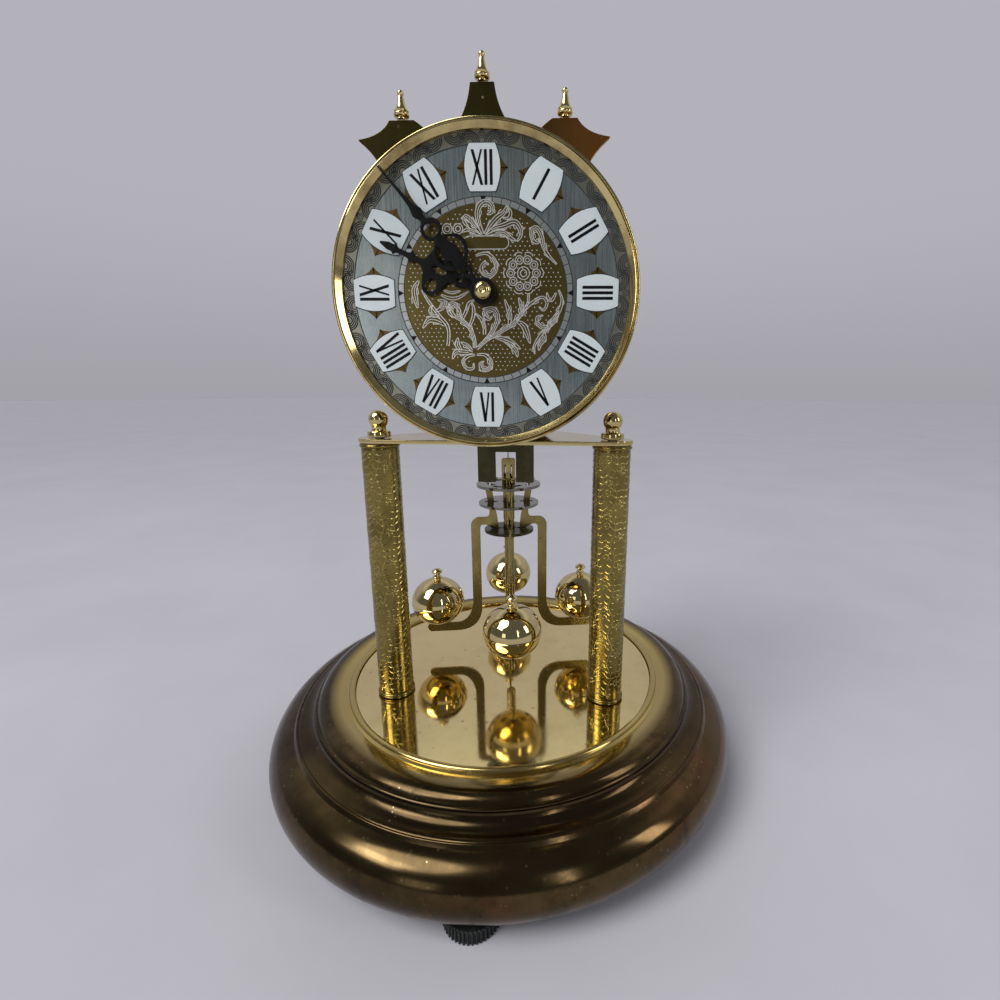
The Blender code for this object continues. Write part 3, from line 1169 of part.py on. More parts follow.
def make_pendulum(metals):
    axis = add_axis("pendulum_axis", Matrix.Translation((0, PENDULUM_SETBACK, 0))
                    @ Matrix.Rotation(PENDULUM_TURN, 4, "Z"))
    hub = HUB_RADIUS_AT_DISCS
    hole = hub + RUNNING
    collar = hole + DISC_THICKNESS / 2
    collar_top = LOWER_DISC_BOTTOM - SEAT
    collar_bottom = collar_top - DISC_THICKNESS
    hook_bottom = REGULATOR_BOTTOM + DISC_THICKNESS + SEAT
    stem = [(0, ROD_BOTTOM), (ROD_RADIUS, ROD_BOTTOM), (ROD_RADIUS, collar_bottom), (collar, collar_bottom),
            (collar, collar_top), (hub, collar_top), (hub, hook_bottom), (HOOK_RADIUS, hook_bottom),
            (HOOK_RADIUS, HOOK_TOP - SEAT), (HOOK_RADIUS - SEAT, HOOK_TOP), (0, HOOK_TOP)]
    slot_half = BOTTOM_BLOCK_HALF_WIDTH + RUNNING
    slot = block((-slot_half, -HOOK_RADIUS - CUT_OVERRUN, HOOK_FORK_BOTTOM),
                 (slot_half, HOOK_RADIUS + CUT_OVERRUN, HOOK_TOP + CUT_OVERRUN))
    pin_height = (HOOK_FORK_BOTTOM + HOOK_TOP) / 2
    pin_hole = moved(rod(HOOK_PIN_RADIUS + RUNNING, -CUT_OVERRUN - HOOK_RADIUS, CUT_OVERRUN + HOOK_RADIUS, 8),
                     (0, 0, pin_height), Matrix.Rotation(math.pi / 2, 4, "Y"))
    add_piece("pendulum_rod", cut(lathed(stem, SMALL_FACETS), slot, pin_hole), metals["brass"], parent=axis)

    low = HOOK_FORK_BOTTOM + SEAT
    half = BOTTOM_BLOCK_HALF_WIDTH
    body = block((-half, -half, low), (half, half, low + BOTTOM_BLOCK_HEIGHT))
    pin = moved(rod(HOOK_PIN_RADIUS, -HOOK_RADIUS + SEAT, HOOK_RADIUS - SEAT, 8),
                (0, 0, pin_height), Matrix.Rotation(math.pi / 2, 4, "Y"))
    add_piece("bottom_block", joined(body, pin), metals["brass"], parent=axis)

    rise = ARM_TRAVEL / REGULATOR_SWING
    slots = []
    play = ARM_TIP_HALF + RUNNING + SEAT
    spread = REGULATOR_SWING + SLOT_END_SHARE * play / ARM_TIP_RADIUS
    for arm in range(ARM_COUNT):
        middle = math.tau * arm / ARM_COUNT
        inner_edge = []
        outer_edge = []
        for step in range(SLOT_STEPS + 1):
            turn = spread * (2 * step / SLOT_STEPS - 1)
            radius = ARM_TIP_RADIUS - rise * turn
            along = Vector((math.cos(middle + turn), math.sin(middle + turn)))
            inner_edge.append(tuple((radius - play) * along))
            outer_edge.append(tuple((radius + play) * along))
        slots.append(inner_edge + outer_edge[::-1])
    regulator = stamped([circle(REGULATOR_RADIUS, facets=ROUND_FACETS), circle(hole)] + slots, DISC_THICKNESS)
    place = Matrix.Translation((0, 0, REGULATOR_BOTTOM))
    add_piece("regulating_disc", regulator, metals["nickel"], parent=axis, place=place)

    slope = (ARM_TIP_RADIUS - ARM_WAIST_RADIUS) / (REGULATOR_BOTTOM - ARM_SHOULDER_TOP)
    strip_middle = ARM_WAIST_RADIUS + slope * (MIDDLE_DISC_BOTTOM + DISC_THICKNESS / 2 - ARM_SHOULDER_TOP)
    reach = ARM_STRIP_HALF + ARM_TRAVEL + RUNNING + slope * DISC_THICKNESS / 2
    add_guide_disc("middle_disc", MIDDLE_DISC_RADIUS, MIDDLE_DISC_BOTTOM, strip_middle - reach,
                   strip_middle + reach, hole, metals["nickel"], axis)
    add_guide_disc("lower_disc", LOWER_DISC_RADIUS, LOWER_DISC_BOTTOM, ARM_TAIL_INNER - ARM_TRAVEL - RUNNING,
                   ARM_TAIL_OUTER + ARM_TRAVEL + RUNNING, hole, metals["dark_brass"], axis)

    for index in range(ARM_COUNT):
        turned = Matrix.Rotation(math.tau * index / ARM_COUNT, 4, "Z")
        upright = turned @ Matrix.Translation((0, ARM_THICKNESS / 2, 0)) @ facing_front()
        arm_mesh = stamped([arm_outline(slope)], ARM_THICKNESS)
        add_piece(f"arm_{index + 1}", arm_mesh, metals["brass"], parent=axis, place=upright)
        ball_place = turned @ Matrix.Translation((BALL_CIRCLE, 0, BALL_HEIGHT))
        add_piece(f"ball_{index + 1}", ball_mesh(), metals["polished"], parent=axis, place=ball_place)


def add_guide_disc(name, radius, bottom, slot_inner, slot_outer, hole, material, axis):
    half = ARM_THICKNESS / 2 + RUNNING
    slots = []
    for index in range(ARM_COUNT):
        turn = Matrix.Rotation(math.tau * index / ARM_COUNT, 2)
        corners = box_outline(slot_inner, -half, slot_outer, half)
        slots.append([tuple(turn @ Vector(corner)) for corner in corners])
    disc = stamped([circle(radius, facets=ROUND_FACETS), circle(hole)] + slots, DISC_THICKNESS)
    add_piece(name, disc, material, parent=axis, place=Matrix.Translation((0, 0, bottom)))


def arm_outline(slope):
    """One arm stamped from sheet: tip in the regulating disc, slanting strip, shoulder, leg and foot."""
    half = ARM_STRIP_HALF
    tip = ARM_TIP_RADIUS
    tip_top = REGULATOR_BOTTOM + DISC_THICKNESS + SEAT
    strip_top = REGULATOR_BOTTOM - SEAT
    shoulder = ARM_SHOULDER_TOP
    width = ARM_WIDTH
    corner = ARM_CORNER
    leg_inner = ARM_OUTER - width
    tail_top = LOWER_DISC_BOTTOM + DISC_THICKNESS + SEAT
    foot_top = BALL_HEIGHT - BALL_RADIUS * BALL_FLATTENING_SHARE - SEAT
    foot_middle = foot_top - width / 2
    points = [(tip - ARM_TIP_HALF, tip_top), (tip - ARM_TIP_HALF, strip_top), (tip - half, strip_top),
              (ARM_WAIST_RADIUS - half, shoulder), (ARM_TAIL_INNER, tail_top),
              (ARM_TAIL_INNER, LOWER_DISC_BOTTOM - SEAT), (ARM_TAIL_OUTER, LOWER_DISC_BOTTOM - SEAT),
              (ARM_TAIL_OUTER, tail_top), (ARM_TAIL_OUTER + half, tail_top)]
    points += hollow_curve((ARM_TAIL_OUTER + half, tail_top), (ARM_TAIL_OUTER + 2 * half, shoulder - width),
                           (leg_inner - half, shoulder - width), 2)[1:]
    points += [(leg_inner, shoulder - width - half)]
    points += hollow_curve((leg_inner, ARM_SWEEP_TOP - width), (leg_inner + half, foot_top - width),
                           (ARM_SWEEP_END, foot_top - width), 5)
    points += arc((ARM_FOOT_END - width / 2, foot_middle), width / 2, -math.pi / 2, math.pi / 2, 4)
    sweep_bend = (ARM_OUTER + half, foot_top)
    points += hollow_curve((ARM_SWEEP_END, foot_top), sweep_bend, (ARM_OUTER, ARM_SWEEP_TOP), 5)
    points += arc((ARM_OUTER - corner, shoulder - corner), corner, 0, math.pi / 2, 4)
    points += hollow_curve((ARM_WAIST_RADIUS + half + slope * width + half, shoulder),
                           (ARM_WAIST_RADIUS + half, shoulder),
                           (ARM_WAIST_RADIUS + half + slope * width, shoulder + width), 2)
    points += [(tip + half, strip_top), (tip + ARM_TIP_HALF, strip_top), (tip + ARM_TIP_HALF, tip_top)]
    return points


def ball_mesh():
    squash = BALL_FLATTENING_SHARE
    seam = math.asin(BALL_SEAM_WIDTH / 2 / BALL_RADIUS)
    outline = []
    for start, end in ((-math.pi / 2, -seam), (seam, math.pi / 2)):
        for radius, height in arc((0, 0), BALL_RADIUS, start, end, BALL_STEPS):
            outline.append((radius, height * squash))
    outline.insert(BALL_STEPS + 1, (BALL_RADIUS - BALL_SEAM_DEPTH, 0))
    top = BALL_RADIUS * squash
    outline[0] = (0, -top)
    neck = KNOB_RADIUS * KNOB_NECK_SHARE
    outline[-1] = (neck, math.sqrt(BALL_RADIUS ** 2 - neck ** 2) * squash)
    outline += [(KNOB_RADIUS * across, top + KNOB_HEIGHT * up) for across, up in KNOB_SHARES]
    return lathed(outline, SMALL_FACETS)


def main():
    clear_scene()
    metals = {
        "polished": metal("polished_brass", (0.83, 0.62, 0.27), 0.16),
        "brass": metal("engraved_brass", (0.70, 0.53, 0.22), 0.32),
        "gear": metal("wheel_brass", (0.76, 0.58, 0.28), 0.30),
        "bronze": metal("tarnished_brass", (0.30, 0.22, 0.12), 0.34),
        "dark_brass": metal("dark_brass", (0.22, 0.17, 0.08), 0.36),
        "silver": metal("silvered_dial", (0.62, 0.65, 0.66), 0.30),
        "nickel": metal("nickelled_disc", (0.62, 0.60, 0.50), 0.22),
        "steel": metal("steel", (0.48, 0.48, 0.49), 0.34),
        "dark": metal("blackened_steel", (0.035, 0.040, 0.038), 0.48),
        "black": metal("black_hands", (0.010, 0.010, 0.012), 0.42, 0.2),
    }
    make_base(metals)
    make_feet(metals)
    make_pillars(metals)
    make_platform(metals)
    make_dial(metals)
    make_crown(metals)
    make_train(metals)
    minute_spot = make_motion_work(metals)
    make_plates(metals, minute_spot)
    make_hands(metals)
    make_winding(metals)
    make_suspension(metals)
    make_guard(metals)
    make_pendulum(metals)


main()
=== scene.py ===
"""Anniversary clock with a torsion pendulum: finishes and fine shapes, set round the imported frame."""
import math

import bpy
from mathutils import Matrix, Vector


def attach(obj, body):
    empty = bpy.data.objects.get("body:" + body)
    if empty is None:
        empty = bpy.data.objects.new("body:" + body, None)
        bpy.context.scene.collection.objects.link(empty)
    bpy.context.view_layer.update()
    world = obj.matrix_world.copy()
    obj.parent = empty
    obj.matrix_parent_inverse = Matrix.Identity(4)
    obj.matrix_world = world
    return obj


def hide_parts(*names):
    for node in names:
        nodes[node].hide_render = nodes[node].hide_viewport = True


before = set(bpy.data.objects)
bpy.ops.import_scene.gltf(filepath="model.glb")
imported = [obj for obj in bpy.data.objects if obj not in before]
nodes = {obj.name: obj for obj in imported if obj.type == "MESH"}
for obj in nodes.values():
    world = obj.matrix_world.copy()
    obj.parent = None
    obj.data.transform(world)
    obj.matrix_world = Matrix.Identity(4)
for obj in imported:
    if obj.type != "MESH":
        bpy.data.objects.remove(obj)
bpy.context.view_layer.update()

mm = 0.001

# Studio: a pale grey-lilac floor and room, a wide soft lamp high on the left, a narrower one on the right,
# two small ones in front, and soft daylight. The camera stands close, a little to the right, and looks down.

CAMERA_PLACE = (28.283 * mm, -209.353 * mm, 160.281 * mm)
CAMERA_YAW = -0.0392565
CAMERA_TILT = 0.2245095
CAMERA_ROLL = -0.0055750
CAMERA_LENS = 18.2839
CAMERA_SHIFT = (-0.050923, 0.000223)
FLOOR_COLOUR = (0.55, 0.54, 0.585, 1)
SKY_COLOUR = (0.452, 0.445, 0.495, 1)
WINDOW_COLOUR = (0.62, 0.62, 0.62, 1)
HORIZON_COLOUR = (0.362, 0.357, 0.392, 1)
DARK_ROOM_COLOUR = (0.125, 0.130, 0.142, 1)
TURN_TO_BACK = (-0.30, 0.30)
HORIZON_BAND = (-0.06, 0.30)
WINDOW_BAND = (0.53, 0.68)
CEILING_BAND = (0.92, 0.70)
SUN_FROM = (-0.55, -0.45, 1.0)
SUN_POWER = 1.55
SUN_SPREAD = math.radians(34)
FLOOR_RADIUS = 6

scene = bpy.context.scene
scene.view_settings.view_transform = "Standard"


def deselect_all():
    if bpy.context.mode != "OBJECT":
        bpy.ops.object.mode_set(mode="OBJECT")
    bpy.ops.object.select_all(action="DESELECT")


def add_node(tree, kind, place=(0, 0), **settings):
    """A shader node with its properties set, and its sockets set or linked by name or number."""
    node = tree.nodes.new(kind)
    node.location = place
    for key, value in settings.items():
        if key != "inputs":
            setattr(node, key, value)
    for key, value in settings.get("inputs", {}).items():
        if isinstance(value, bpy.types.NodeSocket):
            tree.links.new(value, node.inputs[key])
        else:
            node.inputs[key].default_value = value
    return node


def mixed(tree, share, first, second):
    """A colour between two, by a mask."""
    inputs = {"Factor": share, 6: first, 7: second}
    return add_node(tree, "ShaderNodeMix", data_type="RGBA", inputs=inputs).outputs[2]


def between(tree, value, low, high, start=0.0, end=1.0):
    """A number that runs from low to high as the value runs from start to end."""
    inputs = {"Value": value, "From Min": start, "From Max": end, "To Min": low, "To Max": high}
    return add_node(tree, "ShaderNodeMapRange", inputs=inputs).outputs["Result"]


def eased(tree, value, start, end):
    """A mask that rises smoothly from nothing to full as the value runs from start to end."""
    inputs = {"Value": value, "From Min": start, "From Max": end}
    return add_node(tree, "ShaderNodeMapRange", interpolation_type="SMOOTHSTEP",
        inputs=inputs).outputs["Result"]


def reckon(tree, operation, *values):
    """The result of one sum on masks or numbers."""
    return add_node(tree, "ShaderNodeMath", operation=operation, inputs=dict(enumerate(values))).outputs[0]


deselect_all()
bpy.ops.object.camera_add(location=CAMERA_PLACE)
camera = bpy.context.object
camera.name = "camera"
cos_tilt, sin_tilt = math.cos(CAMERA_TILT), math.sin(CAMERA_TILT)
ahead = Vector((math.sin(CAMERA_YAW) * cos_tilt, math.cos(CAMERA_YAW) * cos_tilt, -sin_tilt))
level_right = Vector((math.cos(CAMERA_YAW), -math.sin(CAMERA_YAW), 0))
level_down = ahead.cross(level_right)
cos_roll, sin_roll = math.cos(CAMERA_ROLL), math.sin(CAMERA_ROLL)
right = cos_roll * level_right + sin_roll * level_down
down = cos_roll * level_down - sin_roll * level_right
camera.matrix_world = Matrix.Translation(CAMERA_PLACE) @ Matrix((right, -down, -ahead)).transposed().to_4x4()
camera.data.sensor_width = 36
camera.data.lens = CAMERA_LENS
camera.data.shift_x, camera.data.shift_y = CAMERA_SHIFT
camera.data.clip_start = 5 * mm
scene.camera = camera

LAMPS = [
    # place, aim, width, height, watts
    ((-0.75, -0.60, 0.80), (0, 0, 0.14), 0.45, 0.35, 3.4),
    ((0.90, -0.35, 0.50), (0, 0, 0.12), 0.20, 0.50, 1.4),
    ((0.54, -0.97, 0.46), (0, 0, 0.14), 0.06, 0.56, 0.65),
    ((-0.46, -0.95, 0.27), (0, 0, 0.17), 0.24, 0.30, 0.32),
]
for place, aim, width, height, watts in LAMPS:
    bpy.ops.object.light_add(type="AREA", location=place)
    lamp = bpy.context.object
    lamp.name = "soft lamp"
    lamp.data.shape = "RECTANGLE"
    lamp.data.size, lamp.data.size_y = width, height
    lamp.data.energy = watts
    lamp.rotation_euler = (Vector(aim) - Vector(place)).to_track_quat("-Z", "Y").to_euler()

bpy.ops.object.light_add(type="SUN", location=SUN_FROM)
sun = bpy.context.object
sun.name = "soft daylight"
sun.data.energy = SUN_POWER
sun.data.angle = SUN_SPREAD
sun.rotation_euler = Vector(SUN_FROM).to_track_quat("Z", "Y").to_euler()

bpy.ops.mesh.primitive_circle_add(vertices=96, radius=FLOOR_RADIUS, fill_type="NGON", location=(0, 0, 0))
floor = bpy.context.object
floor.name = "studio floor"
floor_paint = bpy.data.materials.new("studio floor")
floor_paint.use_nodes = True
tree = floor_paint.node_tree
where = add_node(tree, "ShaderNodeTexCoord")
clouds = add_node(tree, "ShaderNodeTexNoise", inputs={"Vector": where.outputs["Object"], "Scale": 9,
    "Detail": 8, "Roughness": 0.62})
tones = between(tree, clouds.outputs["Fac"], 0.97, 1.03, 0.35, 0.65)
tinted = add_node(tree, "ShaderNodeMix", data_type="RGBA", blend_type="MULTIPLY",
    inputs={"Factor": 1, 6: FLOOR_COLOUR, 7: tones})
shader = tree.nodes["Principled BSDF"]
shader.inputs["Roughness"].default_value = 0.9
tree.links.new(tinted.outputs[2], shader.inputs["Base Color"])
floor.data.materials.append(floor_paint)

# The room is pale all round the back and darker behind the camera and overhead, as a studio is.
world = bpy.data.worlds.new("room")
scene.world = world
world.use_nodes = True
tree = world.node_tree
where = add_node(tree, "ShaderNodeTexCoord")
parts_of = add_node(tree, "ShaderNodeSeparateXYZ", inputs={"Vector": where.outputs["Generated"]})
back, height = parts_of.outputs["Y"], parts_of.outputs["Z"]
pale = reckon(tree, "MULTIPLY", eased(tree, back, *TURN_TO_BACK), eased(tree, height, *CEILING_BAND))
low_wall = mixed(tree, eased(tree, height, *HORIZON_BAND), HORIZON_COLOUR, SKY_COLOUR)
wall = mixed(tree, eased(tree, height, *WINDOW_BAND), low_wall, WINDOW_COLOUR)
tree.links.new(mixed(tree, pale, DARK_ROOM_COLOUR, wall), tree.nodes["Background"].inputs["Color"])

# Base shell: one piece of brass sheet spun on a lathe to a big round nose, a ledge with a scribed line, a
# hollow and a shoulder, with a bead round the plate. It has darkened with age; its colour is darker still in
# the hollow and a brighter gold round the inner shoulder.

SHELL_TURNS = 192
NOSE_CENTRE = (86.2, 15.45)
NOSE_RADIUS = 11.5
WALL = 0.9
PLATE_EDGE = 64.8
FLANGE = 33.0


def arc_points(centre, radius, start, end, count):
    """Points on an arc in the plane, from one angle to another in degrees, both ends included."""
    points = []
    for step in range(count + 1):
        angle = math.radians(start + (end - start) * step / count)
        points.append((centre[0] + radius * math.cos(angle), centre[1] + radius * math.sin(angle)))
    return points


def bent_points(start, middle, end, count):
    """Points on a smooth bend that leaves start and reaches end aiming at middle."""
    points = []
    for step in range(count + 1):
        share = step / count
        corners = zip(start, middle, end)
        points.append(tuple((1 - share) ** 2 * a + 2 * share * (1 - share) * b + share ** 2 * c
            for a, b, c in corners))
    return points


def take(*pieces):
    """Selects these pieces and nothing else, with the first one active."""
    deselect_all()
    for piece in pieces:
        piece.select_set(True)
    bpy.context.view_layer.objects.active = pieces[0]


def open_mesh():
    """Goes into edit mode with the whole mesh selected."""
    bpy.ops.object.mode_set(mode="EDIT")
    bpy.ops.mesh.select_all(action="SELECT")


def close_mesh():
    bpy.ops.object.mode_set(mode="OBJECT")


def turned(name, profile, turns):
    """Turns a profile of (radius, height) points in millimetres round the upright axis, as on a lathe."""
    deselect_all()
    bpy.ops.mesh.primitive_plane_add(size=1)
    piece = bpy.context.object
    piece.name = name
    open_mesh()
    bpy.ops.mesh.merge(type="CENTER")
    bpy.ops.transform.translate(value=(profile[0][0], 0, profile[0][1]))
    for (radius, height), (next_radius, next_height) in zip(profile, profile[1:]):
        step = (next_radius - radius, 0, next_height - height)
        bpy.ops.mesh.extrude_region_move(TRANSFORM_OT_translate={"value": step})
    bpy.ops.mesh.select_all(action="SELECT")
    bpy.ops.mesh.spin(steps=turns, angle=math.tau, center=(0, 0, 0), axis=(0, 0, 1))
    bpy.ops.mesh.select_all(action="SELECT")
    bpy.ops.mesh.remove_doubles(threshold=0.002)
    bpy.ops.mesh.normals_make_consistent(inside=False)
    close_mesh()
    return piece


def at_place(piece, place=Matrix()):
    """Brings a mesh drawn in millimetres to its place in the frame, and applies that to the mesh."""
    take(piece)
    piece.matrix_world = place @ Matrix.Scale(mm, 4)
    bpy.ops.object.transform_apply(location=True, rotation=True, scale=True)
    return piece


def smoothed(piece, degrees=32):
    take(piece)
    bpy.ops.object.shade_smooth_by_angle(angle=math.radians(degrees))
    flats = piece.modifiers.new("true flats", "WEIGHTED_NORMAL")
    flats.mode = "FACE_AREA"
    flats.weight = 80
    flats.keep_sharp = True
    bpy.ops.object.modifier_apply(modifier=flats.name)
    return piece


def fitted(piece, material, body, slot, *replaced):
    """Gives a finished piece its material and its body, and hides the plain nodes that it stands for."""
    piece.data.materials.clear()
    piece.data.materials.append(material)
    smoothed(piece)
    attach(piece, body)
    if replaced:
        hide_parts(*replaced)
    return piece


def new_effect(name, inputs, outputs):
    """An empty node group with named number or vector sockets, and its input and output nodes."""
    group = bpy.data.node_groups.new(name, "ShaderNodeTree")
    for socket, kind, value in inputs:
        made = group.interface.new_socket(socket, in_out="INPUT", socket_type=kind)
        if value is not None:
            made.default_value = value
    for socket, kind in outputs:
        group.interface.new_socket(socket, in_out="OUTPUT", socket_type=kind)
    return group, group.nodes.new("NodeGroupInput"), group.nodes.new("NodeGroupOutput")


NUMBER = "NodeSocketFloat"
VECTOR = "NodeSocketVector"

# Tarnish, and on the dial painted reflection: clouds of two sizes, cut at a level, so that a metal is
# bright in parts and dull in parts.
tarnish_and_reflection, given, out = new_effect("tarnish_and_reflection", [("Vector", VECTOR, None), ("Scale", NUMBER, 20.0),
    ("Cover", NUMBER, 0.5), ("Softness", NUMBER, 0.15)], [("Mask", NUMBER)])
large = add_node(tarnish_and_reflection, "ShaderNodeTexNoise", inputs={"Vector": given.outputs["Vector"],
    "Scale": given.outputs["Scale"], "Detail": 6, "Roughness": 0.6})
finer = reckon(tarnish_and_reflection, "MULTIPLY", given.outputs["Scale"], 5.3)
small = add_node(tarnish_and_reflection, "ShaderNodeTexNoise", inputs={"Vector": given.outputs["Vector"], "Scale": finer,
    "Detail": 4, "Roughness": 0.7})
both = add_node(tarnish_and_reflection, "ShaderNodeMix", inputs={"Factor": 0.35, "A": large.outputs["Fac"],
    "B": small.outputs["Fac"]})
level = reckon(tarnish_and_reflection, "SUBTRACT", 1.0, given.outputs["Cover"])
low = reckon(tarnish_and_reflection, "SUBTRACT", level, given.outputs["Softness"])
high = reckon(tarnish_and_reflection, "ADD", level, given.outputs["Softness"])
tarnish_and_reflection.links.new(eased(tarnish_and_reflection, both.outputs["Result"], low, high), out.inputs["Mask"])

# Specks: small round spots of dirt or pitting, kept in a share of the cells.
specks, given, out = new_effect("specks", [("Vector", VECTOR, None), ("Scale", NUMBER, 300.0),
    ("Share", NUMBER, 0.2), ("Size", NUMBER, 0.25)], [("Mask", NUMBER)])
cells = add_node(specks, "ShaderNodeTexVoronoi", inputs={"Vector": given.outputs["Vector"],
    "Scale": given.outputs["Scale"]})
pick = add_node(specks, "ShaderNodeSeparateColor", inputs={"Color": cells.outputs["Color"]})
kept = reckon(specks, "LESS_THAN", pick.outputs["Red"], given.outputs["Share"])
own_size = reckon(specks, "MULTIPLY", given.outputs["Size"], pick.outputs["Green"])
spot = eased(specks, cells.outputs["Distance"], own_size, 0.0)
specks.links.new(reckon(specks, "MULTIPLY", spot, kept), out.inputs["Mask"])

# Marks: fine lines left by polishing, brushing or handling, long along one way of a stretched pattern.
marks, given, out = new_effect("fine marks", [("Vector", VECTOR, None), ("Stretch", VECTOR, (1, 1, 1)),
    ("Turn", VECTOR, (0, 0, 0)), ("Density", NUMBER, 0.5)], [("Height", NUMBER), ("Scratch", NUMBER)])
way = add_node(marks, "ShaderNodeVectorRotate", rotation_type="EULER_XYZ",
    inputs={"Vector": given.outputs["Vector"], "Rotation": given.outputs["Turn"]})
drawn = add_node(marks, "ShaderNodeVectorMath", operation="MULTIPLY", inputs={0: way.outputs[0],
    1: given.outputs["Stretch"]})
grain = add_node(marks, "ShaderNodeTexNoise", inputs={"Vector": drawn.outputs[0], "Scale": 1.0,
    "Detail": 5, "Roughness": 0.65})
edge = between(marks, given.outputs["Density"], 0.80, 0.50)
lines = between(marks, grain.outputs["Fac"], 0, 1, edge, 0.85)
marks.links.new(grain.outputs["Fac"], out.inputs["Height"])
marks.links.new(lines, out.inputs["Scratch"])


def effect(tree, group, **values):
    """A shared effect placed in a material with values or masks of its own."""
    node = add_node(tree, "ShaderNodeGroup", node_tree=group)
    for key, value in values.items():
        socket = node.inputs[key.capitalize()]
        if isinstance(value, bpy.types.NodeSocket):
            tree.links.new(value, socket)
        else:
            socket.default_value = value
    return node


def new_material(name):
    """A material with its node tree, its shader and its object coordinates."""
    material = bpy.data.materials.new(name)
    material.use_nodes = True
    tree = material.node_tree
    where = add_node(tree, "ShaderNodeTexCoord").outputs["Object"]
    return material, tree, tree.nodes["Principled BSDF"], where


def surface(tree, shader, colour, rough, height, strength, depth):
    """Gives the shader its colour and roughness, and a bump of that strength and depth in millimetres."""
    bump = add_node(tree, "ShaderNodeBump", inputs={"Strength": strength, "Distance": depth * mm,
        "Height": height})
    tree.links.new(colour, shader.inputs["Base Color"])
    tree.links.new(rough, shader.inputs["Roughness"])
    tree.links.new(bump.outputs["Normal"], shader.inputs["Normal"])


def metal(name, clean, dull, polish, dull_polish, patches=30, cover=0.45, softness=0.15,
        stretch=(300, 300, 300), turn=(0, 0, 0), depth=0.05, dirt=None, dirt_scale=900, dirt_share=0.12,
        bare=1.0):
    """A metal with bright and dull patches, fine marks, and spots of dirt where they are asked for."""
    material, tree, shader, where = new_material(name)
    shader.inputs["Metallic"].default_value = bare
    dulling_and_reflection = effect(tree, tarnish_and_reflection, vector=where, scale=patches, cover=cover,
        softness=softness).outputs["Mask"]
    colour = mixed(tree, dulling_and_reflection, (*clean, 1), (*dull, 1))
    lined = effect(tree, marks, vector=where, stretch=stretch, turn=turn)
    rough = between(tree, dulling_and_reflection, polish, dull_polish)
    rough = reckon(tree, "MULTIPLY_ADD", lined.outputs["Scratch"], 0.25, rough)
    if dirt:
        spots = effect(tree, specks, vector=where, scale=dirt_scale, share=dirt_share,
            size=0.4).outputs["Mask"]
        colour = mixed(tree, spots, colour, (*dirt, 1))
        rough = reckon(tree, "MULTIPLY_ADD", spots, 0.3, rough)
    surface(tree, shader, colour, rough, lined.outputs["Height"], depth, 0.05)
    return material


outer = arc_points(NOSE_CENTRE, NOSE_RADIUS, -63, 80, 30)
outer += arc_points((87.0, 27.55), 0.55, 40, 150, 4)
outer += bent_points((86.0, 28.2), (80.6, 28.4), (79.9, 32.0), 10)
outer += arc_points((79.55, 32.75), 0.55, -40, 100, 4)
outer += bent_points((78.9, 33.5), (76.6, 37.6), (68.3, 34.9), 12)
outer += arc_points((66.0, 35.1), 1.2, 5, 180, 8)
outer += [(PLATE_EDGE, FLANGE), (PLATE_EDGE - 4.6, FLANGE)]
inner = [(PLATE_EDGE - 4.6, FLANGE - WALL), (66.2, FLANGE - WALL)]
inner += bent_points((68.3, 33.7), (76.2, 36.2), (78.2, 32.6), 8)
inner += bent_points((79.0, 31.4), (80.2, 27.4), (85.6, 27.2), 6)
inner += arc_points(NOSE_CENTRE, NOSE_RADIUS - WALL, 72, -61, 16)
shell = turned("spun_base", outer + inner + outer[:1], SHELL_TURNS)

aged_brass, tree, shader, where = new_material("aged brass")
shader.inputs["Metallic"].default_value = 1.0
across = add_node(tree, "ShaderNodeVectorMath", operation="MULTIPLY", inputs={0: where, 1: (1, 1, 0)})
radius = add_node(tree, "ShaderNodeVectorMath", operation="LENGTH",
    inputs={0: across.outputs[0]}).outputs["Value"]
# The colour is a brighter gold round the inner shoulder, broken in patches, and darker in the hollow, both
# laid out by the radius.
bright_shoulder_band = between(tree, radius, 1, 0, 70.5 * mm, 75.0 * mm)
hollow = between(tree, radius, 0, 1, 77.5 * mm, 79.5 * mm)
hollow_end = between(tree, radius, 1, 0, 85.0 * mm, 87.5 * mm)
hollow = reckon(tree, "MULTIPLY", hollow, hollow_end)
clouds = effect(tree, tarnish_and_reflection, vector=where, scale=14, cover=0.50, softness=0.14).outputs["Mask"]
streaks = effect(tree, tarnish_and_reflection, vector=where, scale=62, cover=0.40, softness=0.09).outputs["Mask"]
rusty = effect(tree, tarnish_and_reflection, vector=where, scale=9.5, cover=0.37, softness=0.12).outputs["Mask"]
colour = mixed(tree, clouds, (0.046, 0.031, 0.015, 1), (0.125, 0.084, 0.036, 1))
colour = mixed(tree, between(tree, rusty, 0, 0.75), colour, (0.165, 0.055, 0.031, 1))
colour = mixed(tree, between(tree, streaks, 0, 0.60), colour, (0.024, 0.017, 0.011, 1))
colour = mixed(tree, between(tree, hollow, 0, 0.5), colour, (0.040, 0.027, 0.014, 1))
band_patches = effect(tree, tarnish_and_reflection, vector=where, scale=130, cover=0.80, softness=0.12).outputs["Mask"]
bright_shoulder_band = reckon(tree, "MULTIPLY", bright_shoulder_band, band_patches)
colour = mixed(tree, between(tree, bright_shoulder_band, 0, 0.85), colour, (0.60, 0.46, 0.17, 1))
pits = effect(tree, specks, vector=where, scale=760, share=0.16, size=0.40).outputs["Mask"]
colour = mixed(tree, between(tree, pits, 0, 0.7), colour, (0.36, 0.31, 0.20, 1))
lined = effect(tree, marks, vector=where, stretch=(90, 90, 2600))
scuffed = effect(tree, marks, vector=where, stretch=(900, 60, 420), turn=(0.3, 0.5, 0.9)).outputs["Scratch"]
colour = mixed(tree, between(tree, scuffed, 0, 0.55), colour, (0.34, 0.28, 0.17, 1))
rough = between(tree, clouds, 0.21, 0.12)
